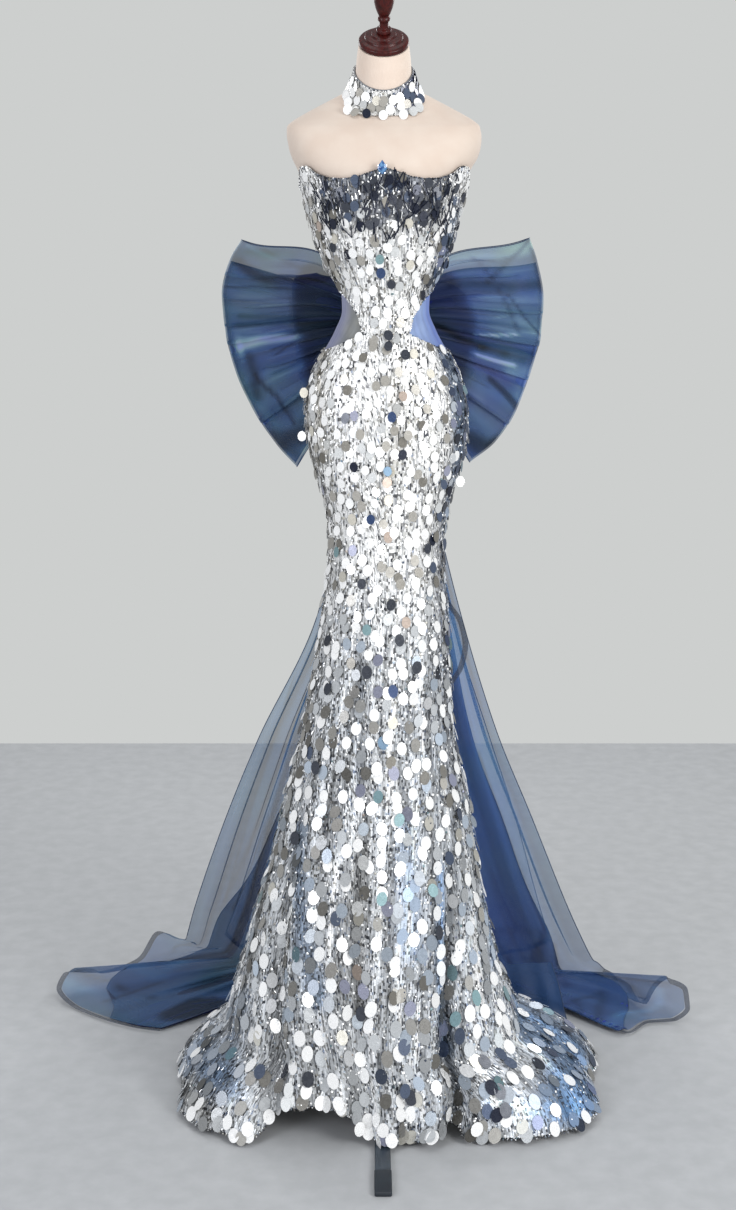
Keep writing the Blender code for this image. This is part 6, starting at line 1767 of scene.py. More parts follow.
    def edging(self) -> bpy.types.Object:
        """Round beads along the neckline, the waist cut-outs and the hem."""
        rng = np.random.default_rng(self.seed + 4)
        ring = np.linspace(-179.3, 179.3, 4001)
        cut = ring[(np.abs(ring) > BRIDGE_HALF) & (np.abs(ring) < 180.0 - BRIDGE_HALF)]
        lines = [(ring, GOWN.edge(ring, "neckline") - 0.0008, 0.0042, 0.55),
                 (cut, GOWN.edge(cut, "bodice_low") + 0.0010, 0.0036, 0.12),
                 (cut, GOWN.edge(cut, "skirt_top") - 0.0010, 0.0036, 0.12),
                 (ring, GOWN.hem(ring) - 0.0006, 0.0046, 0.12),
                 (ring, GOWN.hem(ring) - 0.0032, 0.0074, 0.25)]
        bearings, heights, darks = [], [], []
        for bearing, height, step, dark in lines:
            run = run_along(GOWN.face(bearing, height))
            at = np.arange(0.5 * step, run[-1], step)
            at = at + rng.uniform(-0.2, 0.2, len(at)) * step
            bearings.append(np.interp(at, run, bearing))
            heights.append(np.interp(at, run, height))
            darks.append(rng.random(len(at)) < dark)
        bearing, height, dark = (np.concatenate(part) for part in (bearings, heights, darks))
        point, side, up, out = stand_on(GOWN.face, bearing, height)
        count = len(bearing)
        size = rng.uniform(0.0022, 0.0032, count)[:, None] * np.array([[1.0, 1.0, 1.0]])
        frames = tilted_frames(side, up, out, rng.uniform(-0.5, 0.5, count), np.zeros(count),
                               rng.uniform(0.0, 3.0, count))
        tints = np.where(dark[:, None], linear(SequinTone.CHARCOAL.value),
                         self.tints(bearing, height, rng))
        return sewn("edging_beads", self.finishes.glass, stamp(
            spindle_shape(4, 0.26), point + out * self.edging_lift, frames, size, tints))

    def build(self) -> list[bpy.types.Object]:
        """Sew everything on."""
        return self.paillettes() + self.cups() + self.bugles() + [self.long_beads(), self.edging()]


# ------------------------------------------------------------------ the gown's shells
def plain_gap(height: Array) -> Array:
    """Half the clearance at a plain seam."""
    return np.full(np.shape(height), 0.5 * SEAM_GAP)


def zip_gap(height: Array) -> Array:
    """Half the clearance at the centre back: a slot along the zip, a plain seam below it."""
    return np.where(height > ZIP_END + SEAM_GAP, 0.5 * ZIP_SLOT, 0.5 * SEAM_GAP)


@dataclass(frozen=True)
class Panel:
    """Cut piece of the gown between two bearings and two edges."""

    name: str
    left: float
    right: float
    bottom: Edge
    top: Edge
    columns: int
    rows: int
    gap_left: Edge = plain_gap
    gap_right: Edge = plain_gap
    depth: float = 0.0
    wall: float = GOWN_WALL

    def grids(self) -> tuple[Array, Array, Array, Array]:
        """Outer face, inner face, bearings and heights of its grid.

        Rows run evenly from the lower edge to the upper edge; the first and last columns keep half a
        seam's clearance from the panel's sides.

        Returns:
            The four arrays, rows by columns.
        """
        across = np.linspace(self.left, self.right, self.columns + 1)[None, :]
        share = np.linspace(0.0, 1.0, self.rows + 1)[:, None]
        low, high = self.bottom(across), self.top(across)
        height = low + (high - low) * share
        bearing = np.broadcast_to(across, height.shape).copy()
        for side, sign, gap in ((0, 1.0, self.gap_left), (-1, -1.0, self.gap_right)):
            step = 0.01
            pace = np.linalg.norm(GOWN.face(bearing[:, side] + step, height[:, side])
                                  - GOWN.face(bearing[:, side] - step, height[:, side]), axis=-1)
            bearing[:, side] += sign * gap(height[:, side]) * 2.0 * step / pace
        face = GOWN.face(bearing, height)
        normal = GOWN.normals(bearing, height)
        return face - normal * self.depth, face - normal * (self.depth + self.wall), bearing, height


@dataclass
class Gown:
    """Bodice, skirt and waist mesh as thin shells under the sequins."""

    finishes: Wardrobe
    stretch: float = 0.94
    mesh_wave: float = 0.0004

    def shell(self, panel: Panel) -> bpy.types.Object:
        """One sequinned panel with its satin lining."""
        outer, inner, bearing, height = panel.grids()
        skin = wall_skin(outer, inner, arc_map(outer), cloth_tint(bearing, height))
        return stretched("cloth_" + panel.name, skin, outer, Slot.SEQUIN, panel.name,
                         (self.finishes.net, self.finishes.lining), self.stretch)

    def bodice(self) -> list[bpy.types.Object]:
        """Front and two backs of the bodice, with the strips between the waist cut-outs."""
        low: Edge = lambda bearing: GOWN.edge(bearing, "bodice_low")
        high: Edge = lambda bearing: GOWN.edge(bearing, "neckline")
        side = BODICE_SIDE_SEAM
        return [self.shell(panel) for panel in (
            Panel("bodice_front", -side, side, low, high, 84, 48),
            Panel("bodice_back_right", side, 180.0, low, high, 34, 40, plain_gap, zip_gap),
            Panel("bodice_back_left", -180.0, -side, low, high, 34, 40, zip_gap, plain_gap))]

    def skirt(self) -> list[bpy.types.Object]:
        """Five long panels of the skirt."""
        high: Edge = lambda bearing: GOWN.edge(bearing, "skirt_top")
        left, right, back = FRONT_SEAM_LEFT, FRONT_SEAM_RIGHT, BACK_SEAM
        return [self.shell(panel) for panel in (
            Panel("skirt_front", left, right, GOWN.hem, high, 88, 150),
            Panel("skirt_side_right", right, back, GOWN.hem, high, 52, 130),
            Panel("skirt_back_right", back, 180.0, GOWN.hem, high, 46, 120, plain_gap, zip_gap),
            Panel("skirt_back_left", -180.0, -back, GOWN.hem, high, 46, 120, zip_gap, plain_gap),
            Panel("skirt_side_left", -back, left, GOWN.hem, high, 52, 130))]

    def insets(self) -> list[bpy.types.Object]:
        """Stretch mesh behind the waist cut-outs, drawn into soft upright ripples."""
        low: Edge = lambda bearing: GOWN.edge(bearing, "skirt_top") - INSET_TUCK
        high: Edge = lambda bearing: GOWN.edge(bearing, "bodice_low") + INSET_TUCK
        near, far = BRIDGE_HALF + 1.0, 180.0 - BRIDGE_HALF - 1.0
        pieces = []
        for name, left, right in (("right", near, far), ("left", -far, -near)):
            panel = Panel("waist_inset_" + name, left, right, low, high, 96, 24, depth=TUCK_DEPTH,
                          wall=TUCKED_WALL)
            outer, inner, bearing, _ = panel.grids()
            share = (bearing - left) / (right - left)
            wave = self.mesh_wave * np.sin(math.tau * (9.0 * share + 0.8 * np.sin(5.0 * share)))
            fade = np.sin(math.pi * np.linspace(0.0, 1.0, len(outer)))[:, None]
            shift = unit(outer - inner) * (wave * fade)[..., None]
            # Painted shade that follows the ripples: darker where the mesh sinks in.
            shadow = 0.93 + 0.07 * wave[..., None] / self.mesh_wave * fade[..., None]
            tone = self.mesh_tone(bearing, name == "right") * shadow
            tone[..., 3] = 1.0
            skin = wall_skin(outer + shift, inner + shift, arc_map(outer), np.clip(tone, 0.0, 1.0))
            pieces.append(stretched("cloth_" + panel.name, skin, outer, Slot.MESH, panel.name,
                                    (self.finishes.mesh, self.finishes.mesh), self.stretch))
        return pieces

    @staticmethod
    def mesh_tone(bearing: Array, right: bool) -> Array:
        """Blue-violet mesh on the right; greyer on the left, with a lavender strip at the side."""
        pale, deep = (linear("#8ea3c8"), linear("#5874bd")) if right else (
            linear("#8b8c86"), linear("#868aa8"))
        share = ease((np.abs(bearing) - 44.0) / (34.0 if right else 30.0))[..., None]
        return np.array(pale) * (1.0 - share) + np.array(deep) * share

    def build(self) -> list[bpy.types.Object]:
        """Make every panel."""
        return self.bodice() + self.skirt() + self.insets()


# ------------------------------------------------------------------ form, cap and stand
def form_sections() -> Table:
    """Sections of the whole form: the gown's own, drawn in by its ease, then shoulders and neck."""
    rows = []
    for level in FORM_LEVELS:
        size = [float(value) for value in GOWN_SECTIONS.at(np.array(level)).values()]
        inset = FORM_EASE + (FORM_BASE_ROUND if level == FORM_BASE else 0.0)
        rows.append((level, *size[:2], *(reach - inset for reach in size[2:5]), size[5], 0.0))
    return Table(FORM_UPPER.columns, tuple(rows) + FORM_UPPER.rows)


FORM_SECTIONS = form_sections()


def form_face(bearing: Array, height: Array) -> Array:
    """Surface of the form: an oval section, tilted forward about its own sideways axis."""
    size = FORM_SECTIONS.at(height)
    x, y = oval(np.radians(bearing), size["half_width"], size["front"], size["back"],
                size["squareness"])
    tilt = np.radians(size["tilt"])
    return np.stack(np.broadcast_arrays(size["centre_x"] + x, size["centre_y"] + y * np.cos(tilt),
                                        height + y * np.sin(tilt)), axis=-1)


@dataclass
class DressForm:
    """Jersey-covered torso with its turned cap and finial."""

    finishes: Wardrobe
    columns: int = 112
    turn_steps: int = 72
    map_radius: float = 0.11
    body_tone: float = 0.84
    # Painted light on the neck: how far it lifts the tint, and the height where it starts.
    neck_painted_light: float = 0.13
    painted_light_from: float = 1.70

    def torso(self) -> bpy.types.Object:
        """Closed loft of the form's sections, closer together higher up; painted light makes the neck
        paler.
        """
        levels = np.concatenate([np.linspace(FORM_BASE, 1.56, 58, endpoint=False),
                                 np.linspace(1.56, 1.66, 22, endpoint=False),
                                 np.linspace(1.66, FORM_UPPER.rows[-1][0], 48)])
        bearing = np.linspace(180.0, 540.0, self.columns, endpoint=False)[None, :]
        rings = form_face(bearing, levels[:, None])
        run = np.radians(bearing) * self.map_radius + 0.0 * levels[:, None]
        uv = np.stack([run, levels[:, None] + 0.0 * bearing], axis=-1)
        skin = ring_skin(rings, uv)
        skin.tint = np.ones(rings.shape[:2] + (4,))
        # Painted light: the tint rises above the foot of the neck, so the neck reads paler than the chest.
        tone = self.body_tone + self.neck_painted_light * ease((levels - self.painted_light_from) / 0.03)
        skin.tint[..., :3] *= tone[:, None, None]
        return settle(skin.piece("form_jersey", self.finishes.jersey), Slot.JERSEY, "form_body")

    def turned(self, name: str, profile: Sequence[tuple[float, float]], foot: Array, node: str
               ) -> bpy.types.Object:
        """Turned piece: its profile as a smooth curve over its own length, spun about the neck's line.

        Args:
            name: The piece's name.
            profile: Radius and height, from the top to the foot.
            foot: Where its foot stands.
            node: The node that it replaces.

        Returns:
            The piece.
        """
        knots = np.array(profile[::-1])
        run = run_along(knots)
        fine = follow(run, knots, np.sort(np.concatenate([np.linspace(0.0, run[-1], 90), run])))
        turn = np.linspace(0.0, math.tau, self.turn_steps, endpoint=False)[None, :]
        radius, rise = fine[:, :1], fine[:, 1:]
        tilt = math.radians(NECK_TILT)
        x = radius * np.sin(turn)
        flat_y = -radius * np.cos(turn)
        y = flat_y * math.cos(tilt) - rise * math.sin(tilt)
        z = flat_y * math.sin(tilt) + rise * math.cos(tilt)
        rings = foot + np.stack(np.broadcast_arrays(x, y, z), axis=-1)
        item = ring_skin(rings).piece(name, self.finishes.wood)
        return settle(item, Slot.WOOD, node)

    def build(self) -> list[bpy.types.Object]:
        """Torso, cap and finial."""
        tilt = math.radians(NECK_TILT)
        upright = np.array([0.0, -math.sin(tilt), math.cos(tilt)])
        top = FORM_UPPER.rows[-1]
        foot = np.array([top[1], top[2], top[0]]) + upright * SEAM_GAP
        rise = CAP_PROFILE[0][1] + SEAM_GAP
        return [self.torso(), self.turned("cap_turned", CAP_PROFILE, foot, "neck_cap"),
                self.turned("finial_turned", FINIAL_PROFILE, foot + upright * rise, "neck_finial")]


@dataclass
class Stand:
    """Painted hub, pole and legs as packed, with a moulded sleeve over the end of each leg."""

    finishes: Wardrobe
    sleeve_length: float = 0.069
    sleeve_wall: float = 0.0012
    corner: float = 0.0022

    def sleeve(self, number: int, bearing: float) -> bpy.types.Object:
        """Rounded sleeve: rounded-rectangle rings along the leg, drawn in at both ends.

        Args:
            number: Number of the leg.
            bearing: Where the leg points.

        Returns:
            The sleeve.
        """
        turn = np.linspace(0.0, math.tau, 32, endpoint=False)[None, :]
        end = LEG_REACH + self.sleeve_wall
        out = end - self.sleeve_length + self.sleeve_length * np.array(
            [0.0, 0.004, 0.02, 0.5, 0.965, 0.99, 1.0])[:, None]
        inset = np.array([0.0010, 0.0003, 0.0, 0.0, 0.0, 0.0006, 0.0018])[:, None]
        half_wide = 0.5 * LEG_WIDTH + self.sleeve_wall - inset
        half_high = 0.5 * (LEG_HEIGHT + self.sleeve_wall) - inset
        bend = 7.0
        size = (np.abs(np.cos(turn)) ** bend + np.abs(np.sin(turn)) ** bend) ** (-1.0 / bend)
        across = half_wide * np.cos(turn) * size
        z = 0.5 * (LEG_HEIGHT + self.sleeve_wall) + 0.0001 + half_high * np.sin(turn) * size
        angle = math.radians(bearing)
        direction = np.array([math.sin(angle), -math.cos(angle), 0.0])
        side = np.array([math.cos(angle), math.sin(angle), 0.0])
        points = (direction * np.broadcast_to(out, across.shape)[..., None]
                  + side * across[..., None] + np.array([0.0, 0.0, 1.0]) * z[..., None])
        item = ring_skin(points[::-1]).piece(f"leg_sleeve_{number}", self.finishes.rubber)
        return settle(item, Slot.STEEL)

    def build(self) -> list[bpy.types.Object]:
        """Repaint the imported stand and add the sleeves."""
        for node in ("stand_hub", "stand_pole", "stand_leg_1", "stand_leg_2", "stand_leg_3"):
            repaint(node, self.finishes.steel)
        return [self.sleeve(number, bearing) for number, bearing in enumerate(LEG_BEARINGS, start=1)]


def repaint(node: str, finish: Finish) -> None:
    """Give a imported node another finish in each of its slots."""
    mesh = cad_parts[node].data
    for place in range(len(mesh.materials)):
        mesh.materials[place] = finish.material


# ------------------------------------------------------------------ choker, jewel and zip
@dataclass
class Choker:
    """Separate sequinned band round the foot of the neck."""

    finishes: Wardrobe
    columns: int = 150
    rows: int = 12
    opening: float = 1.2
    seed: int = 5
    stretch: float = 0.97
    dark_from: float = 8.0
    dark_span: float = 50.0
    disc_lift: float = 0.0030
    bead_lift: float = 0.0008
    bead_inset: float = 0.0006
    edge_beads: int = 172
    loose_beads: int = 420
    cord_radius: float = 0.0010

    def edges(self, bearing: Array) -> tuple[Array, Array]:
        """Section heights of its lower and upper edges, which dip at the front."""
        low = CHOKER_LOW - CHOKER_FRONT_DROP * np.maximum(np.cos(np.radians(bearing)), 0.0) ** 2
        return low, CHOKER_HIGH - 0.25 * (CHOKER_LOW - low)

    def band(self) -> bpy.types.Object:
        """The band's own cloth."""
        across = np.linspace(-180.0 + self.opening, 180.0 - self.opening, self.columns + 1)[None, :]
        low, high = self.edges(across)
        height = low + (high - low) * np.linspace(0.0, 1.0, self.rows + 1)[:, None]
        bearing = np.broadcast_to(across, height.shape)
        face = form_face(bearing, height)
        normal = face_normals(form_face, bearing, height)
        outer = face + normal * (CHOKER_EASE + CHOKER_WALL)
        tint = self.blend(across, np.array(linear("#e4e4e2")), np.array(linear("#7c84a2")))
        tint = np.broadcast_to(tint, height.shape + (4,))
        skin = wall_skin(outer, face + normal * CHOKER_EASE, arc_map(outer), tint)
        return stretched("cloth_choker_band", skin, outer, Slot.SEQUIN, "choker_band",
                         (self.finishes.net, self.finishes.lining), self.stretch)

    def blend(self, bearing: Array, bright: Array, dark: Array) -> Array:
        """One mix on the left and front that turns into another towards the right."""
        share = ease((bearing - self.dark_from) / self.dark_span)[..., None]
        return bright * (1.0 - share) + dark * share

    def tints(self, bearing: Array, rng: np.random.Generator) -> Array:
        """A tone for each place, drawn from the mix there."""
        return TONES[drawn(self.blend(bearing, BRIGHT, CHOKER_RIGHT), rng)]

    def discs(self) -> bpy.types.Object:
        """Paillettes in three uneven rows; the lowest hang below the edge."""
        rng = np.random.default_rng(self.seed)
        bearings, heights = [], []
        for share, count, shift in ((0.02, 25, 0.0), (0.36, 24, 0.5), (0.70, 23, 0.1)):
            at = -176.0 + 352.0 * (np.arange(count) + 0.5 + 0.4 * shift) / count
            at = at + rng.uniform(-3.0, 3.0, count)
            low, high = self.edges(at)
            bearings.append(at)
            heights.append(low + (high - low) * (share + rng.uniform(-0.05, 0.05, count)))
        bearing, height = np.concatenate(bearings), np.concatenate(heights)
        point = form_face(bearing, height)
        out = face_normals(form_face, bearing, height)
        out = unit(out * np.array([1.0, 1.0, 0.35]))
        side = unit(np.cross((0.0, 0.0, 1.0), out))
        up = np.cross(out, side)
        count = len(bearing)
        pitch = np.radians(rng.normal(3.0, 6.0, count).clip(-9.0, 18.0))
        frames = tilted_frames(side, up, out, pitch, np.radians(rng.normal(0.0, 8.0, count)),
                               np.radians(rng.normal(0.0, 10.0, count)))
        wide = rng.uniform(0.0132, 0.0148, count)
        tall = wide * rng.uniform(1.10, 1.20, count)
        lift = CHOKER_EASE + CHOKER_WALL + self.disc_lift + 0.25 * tall * np.sin(np.abs(pitch))
        tints = self.tints(bearing, rng)
        sizes = np.stack([wide, tall, np.ones(count)], axis=-1)
        dark = int(np.argmin(np.hypot((bearing - CHOKER_DARK[0]) / 400.0, height - CHOKER_DARK[1])))
        tints[dark] = linear(SequinTone.NAVY.value)
        return sewn("paillettes_choker", self.finishes.film, stamp(
            disc_shape(16, 0.0003), point + out * lift[:, None], frames, sizes, tints))

    def beads(self) -> bpy.types.Object:
        """Bead edging: light beads with a dark one now and then, and loose small sequins between."""
        rng = np.random.default_rng(self.seed + 1)
        bearing = np.linspace(-177.0, 177.0, self.edge_beads)
        low, high = self.edges(bearing)
        loose = rng.uniform(-177.0, 177.0, self.loose_beads)
        foot, crest = self.edges(loose)
        within = foot + (crest - foot) * rng.uniform(-0.10, 1.0, len(loose))
        at = np.concatenate([bearing, bearing, loose])
        height = np.concatenate([high - self.bead_inset, low + self.bead_inset, within])
        point, side, up, out = stand_on(form_face, at, height)
        count = len(at)
        frames = tilted_frames(side, up, out, np.radians(rng.normal(0, 14, count)),
                               np.radians(rng.normal(0, 14, count)), rng.uniform(0.0, 3.0, count))
        wide = np.concatenate([np.full(2 * len(bearing), 0.0021),
                               rng.uniform(0.0032, 0.0046, len(loose))])
        tints = self.tints(at, rng)
        tints[:len(bearing):4] = linear(SequinTone.CHARCOAL.value)
        centres = point + out * (CHOKER_EASE + CHOKER_WALL + self.bead_lift)
        return sewn("beads_choker", self.finishes.glass, stamp(
            cup_shape(5), centres, frames, np.repeat(wide[:, None], 3, axis=1), tints))

    def cord(self) -> bpy.types.Object:
        """Thin cord along the band's upper edge."""
        bearing = np.linspace(-178.0, 178.0, 241)
        _, high = self.edges(bearing)
        out = face_normals(form_face, bearing, high)
        path = form_face(bearing, high) + out * (CHOKER_EASE + 0.5 * CHOKER_WALL)
        path[:, 2] += self.bead_inset
        return settle(hem_tube(path, self.cord_radius).piece("cord_choker", self.finishes.cord),
                      Slot.SEQUIN)

    def build(self) -> list[bpy.types.Object]:
        """Band, paillettes, beads and cord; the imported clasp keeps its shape."""
        repaint("choker_clasp", self.finishes.nickel)
        return [self.band(), self.discs(), self.beads(), self.cord()]


@dataclass
class Jewel:
    """Kite-shaped cut stone at the centre of the neckline, in four claws.

    A facet ring is its distance out, its share of the outline and whether its corners stand midway
    between the outline's.
    """

    finishes: Wardrobe
    facets: tuple[tuple[float, float, bool], ...] = (
        (0.0016, 0.80, False), (0.0034, 1.00, False), (0.0050, 0.80, True), (0.0060, 0.46, False))
    drop: float = 0.001
    claw_out: float = 0.0036
    claw_reach: float = 1.03
    claw_size: float = 0.0020

    def build(self) -> list[bpy.types.Object]:
        """Faceted rings of the outline with a small flat table, and a bead claw at each corner."""
        height = float(GOWN.edge(np.array(0.0), "neckline"))
        spot = GOWN.face(np.array(JEWEL_BEARING), np.array(height - JEWEL_SEAT))
        outline = np.array(JEWEL_OUTLINE[::-1])
        rings = []
        for out, scale, midway in self.facets:
            ring = 0.5 * (outline + np.roll(outline, -1, axis=0)) if midway else outline
            rings.append(np.stack([spot[0] + ring[:, 0] * scale, np.full(len(ring), spot[1] - out),
                                   height - self.drop + ring[:, 1] * scale], axis=-1))
        stone = ring_skin(np.array(rings)).piece("jewel_cut", self.finishes.crystal, smooth=False)
        settle(stone, Slot.CRYSTAL, "neckline_jewel")
        corners = outline[::2]
        centres = np.stack([spot[0] + corners[:, 0] * self.claw_reach,
                            np.full(len(corners), spot[1] - self.claw_out),
                            height - self.drop + corners[:, 1] * self.claw_reach], axis=-1)
        frames = np.repeat(np.array([[[1.0, 0.0, 0.0], [0.0, 0.0, 1.0], [0.0, -1.0, 0.0]]]),
                           len(corners), axis=0)
        sizes = np.full((len(corners), 3), self.claw_size)
        tints = np.repeat([linear("#d8d8da")], len(corners), axis=0)
        claws = stamp(spindle_shape(8, 0.30), centres, frames, sizes, tints)
        return [stone, sewn("jewel_claws", self.finishes.nickel, claws, Slot.NICKEL)]


@dataclass
class Zip:
    """Tape and two rows of moulded teeth behind the centre back slot."""

    finishes: Wardrobe
    half_tape: float = 10.0
    pitch: float = 0.0015
    tooth: tuple[float, float, float] = (0.0011, 0.0022, 0.0012)
    tooth_depth: float = 0.0014
    tooth_shift: float = 0.0005

    def tape(self) -> bpy.types.Object:
        """Woven tape tucked under both back edges."""
        low: Edge = lambda bearing: np.full(np.shape(bearing), ZIP_LEVELS[0])
        high: Edge = lambda bearing: np.full(np.shape(bearing), ZIP_LEVELS[-1])
        panel = Panel("back_zip", 180.0 - self.half_tape, 180.0 + self.half_tape, low, high, 10, 96,
                      depth=TUCK_DEPTH, wall=TUCKED_WALL)
        outer, inner, _, _ = panel.grids()
        return stretched("tape_back_zip", wall_skin(outer, inner, arc_map(outer)), outer, Slot.TAPE,
                         "back_zip", (self.finishes.tape, self.finishes.tape))

    def teeth(self) -> bpy.types.Object:
        """Small spindles lying across the slot, alternately from its left and right."""
        height = np.arange(ZIP_LEVELS[0] + 0.004, ZIP_LEVELS[-1] - 0.016, 0.5 * self.pitch)
        back = np.full_like(height, 180.0)
        point, side, up, out = stand_on(GOWN.face, back, height)
        left = np.where(np.arange(len(height)) % 2 == 0, 1.0, -1.0)[:, None]
        centres = point + side * left * self.tooth_shift - out * self.tooth_depth
        frames = np.stack([-up, side, out], axis=1)
        sizes = np.repeat([self.tooth], len(height), axis=0)
        tints = np.repeat([linear("#c8c9cc")], len(height), axis=0)
        stamped = stamp(spindle_shape(4, 0.36), centres, frames, sizes, tints)
        return sewn("zip_teeth", self.finishes.nickel, stamped, Slot.NICKEL)

    def build(self) -> list[bpy.types.Object]:
        """Tape and teeth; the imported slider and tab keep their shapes."""
        repaint("zip_slider", self.finishes.nickel)
        repaint("zip_pull_tab", self.finishes.nickel)
        return [self.tape(), self.teeth()]


# ------------------------------------------------------------------ the bow
def pleated(share: Array, along: Array, pleats: Sequence[Sequence[float]]) -> tuple[Array, Array]:
    """Fold a sheet over itself along its length.

    With u the distance from a pleat's middle in half-widths, the share across goes back by
    fold * u * exp((1 - u * u) / 2), and the cloth steps in by depth * u * exp((1 - (u / 1.8) ** 2) / 2),
    both faded in at the pleat's start and out at its end.

    Args:
        share: Shares across the sheet.
        along: Shares along it.
        pleats: Rows of the pleat table.

    Returns:
        The shares across where points go, and how far they step in.
    """
    moved = share + 0.0 * along
    step = np.zeros_like(moved)
    for centre, half_width, fold, depth, start, end in pleats:
        u = (share - centre) / half_width
        fade = ease((along - start) / 0.16) * ease((end - along) / 0.16)
        moved = moved - fold * u * np.exp(0.5 * (1.0 - u * u)) * fade
        step = step + depth * u * np.exp(0.5 * (1.0 - (u / 1.8) ** 2)) * fade
    return np.clip(moved, 0.0, 1.0), step


def shaded(along: Array, across: Array, strokes: Sequence[Sequence], size: tuple[float, float],
           base: float, grey_edge: float = 0.16,
           cast: tuple[float, float, float] = (1.0, 1.0, 1.0)) -> Array:
    """Tints of gathered cloth with painted light and shade: the exponent of its strokes and of a fine
    painted ripple across.

    The first part across is greyer, as single cloth is against a pale room.

    Args:
        along: Shares along.
        across: Shares across.
        strokes: Rows of a stroke table.
        size: Metres for the whole length and width.
        base: Tint where nothing adds to it.
        grey_edge: Share across where the greyer part ends.
        cast: Factor for red, green and blue away from the palest strokes.

    Returns:
        Red, green, blue and 1 for each point.
    """
    light, hue = strokes_at(along, across, strokes, size)
    fine = 0.06 * np.sin(61.0 * across + 5.0 * along) + 0.05 * np.sin(113.0 * across - 7.0 * along)
    level = (base * np.exp(light + fine))[..., None]
    grey = ease((grey_edge - across) / max(grey_edge, 1e-6))[..., None] + 0.0 * level
    # Painted highlights: where the strokes add light, the tint turns paler.
    pale = np.clip(light, 0.0, 1.2)[..., None]
    tint = np.ones(light.shape + (4,))
    tint[..., :3] = level * cast * (1.0 + grey * np.array([0.22, 0.20, 0.02])
                                    + pale * np.array([0.95, 0.50, -0.20])
                                    + hue[..., None] * np.array([0.30, -0.08, 0.04]))
    return np.clip(tint, 0.0, 1.0)


def resampled(grid: Array, across: Array) -> Array:
    """Points of a fine grid at other shares across, row by row, joined by straight lines."""
    last = grid.shape[1] - 1
    cell = np.clip(np.floor(across * last).astype(int), 0, last - 1)
    part = (across * last - cell)[..., None]
    rows = np.arange(len(grid))[:, None]
    return grid[rows, cell] * (1.0 - part) + grid[rows, cell + 1] * part


def hem_tube(path: Array, radius: float, sides: int = 6) -> Skin:
    """Thin rolled hem: a tube along a line of points, closed at its ends.

    Rings of points stand square to the line; their first direction is the one that leans least.

    Args:
        path: Points of the line.
        radius: The tube's radius.
        sides: Points of each ring.

    Returns:
        The skin.
    """
    along = unit(np.gradient(path, axis=0))
    helper = np.where(np.abs(along[:, 2:]) < 0.9, [(0.0, 0.0, 1.0)], [(1.0, 0.0, 0.0)])
    first = unit(np.cross(helper, along))
    second = np.cross(along, first)
    turn = round_of(sides)[0]
    rings = path[:, None] + radius * (first[:, None] * np.cos(turn)[None, :, None]
                                      + second[:, None] * np.sin(turn)[None, :, None])
    return ring_skin(rings)


@dataclass(frozen=True)
class LoopPlan:
    """Sizes of one loop: its table, pleats and shades, how far its layers part, and what it covers."""

    name: str
    table: Table
    side: float
    pleats: Sequence[Sequence[float]]
    strokes: Sequence[Sequence]
    finish: Finish
    nodes: Sequence[str]
    spread: float = LOOP_SPREAD
    reach: float = 1.0
    first: float = 0.0
    last: float = 1.0
    base: float = 1.0
    cast: tuple[float, float, float] = (1.0, 1.0, 1.0)
    grid: tuple[int, int] = (160, 88)
    drop: float = 0.0


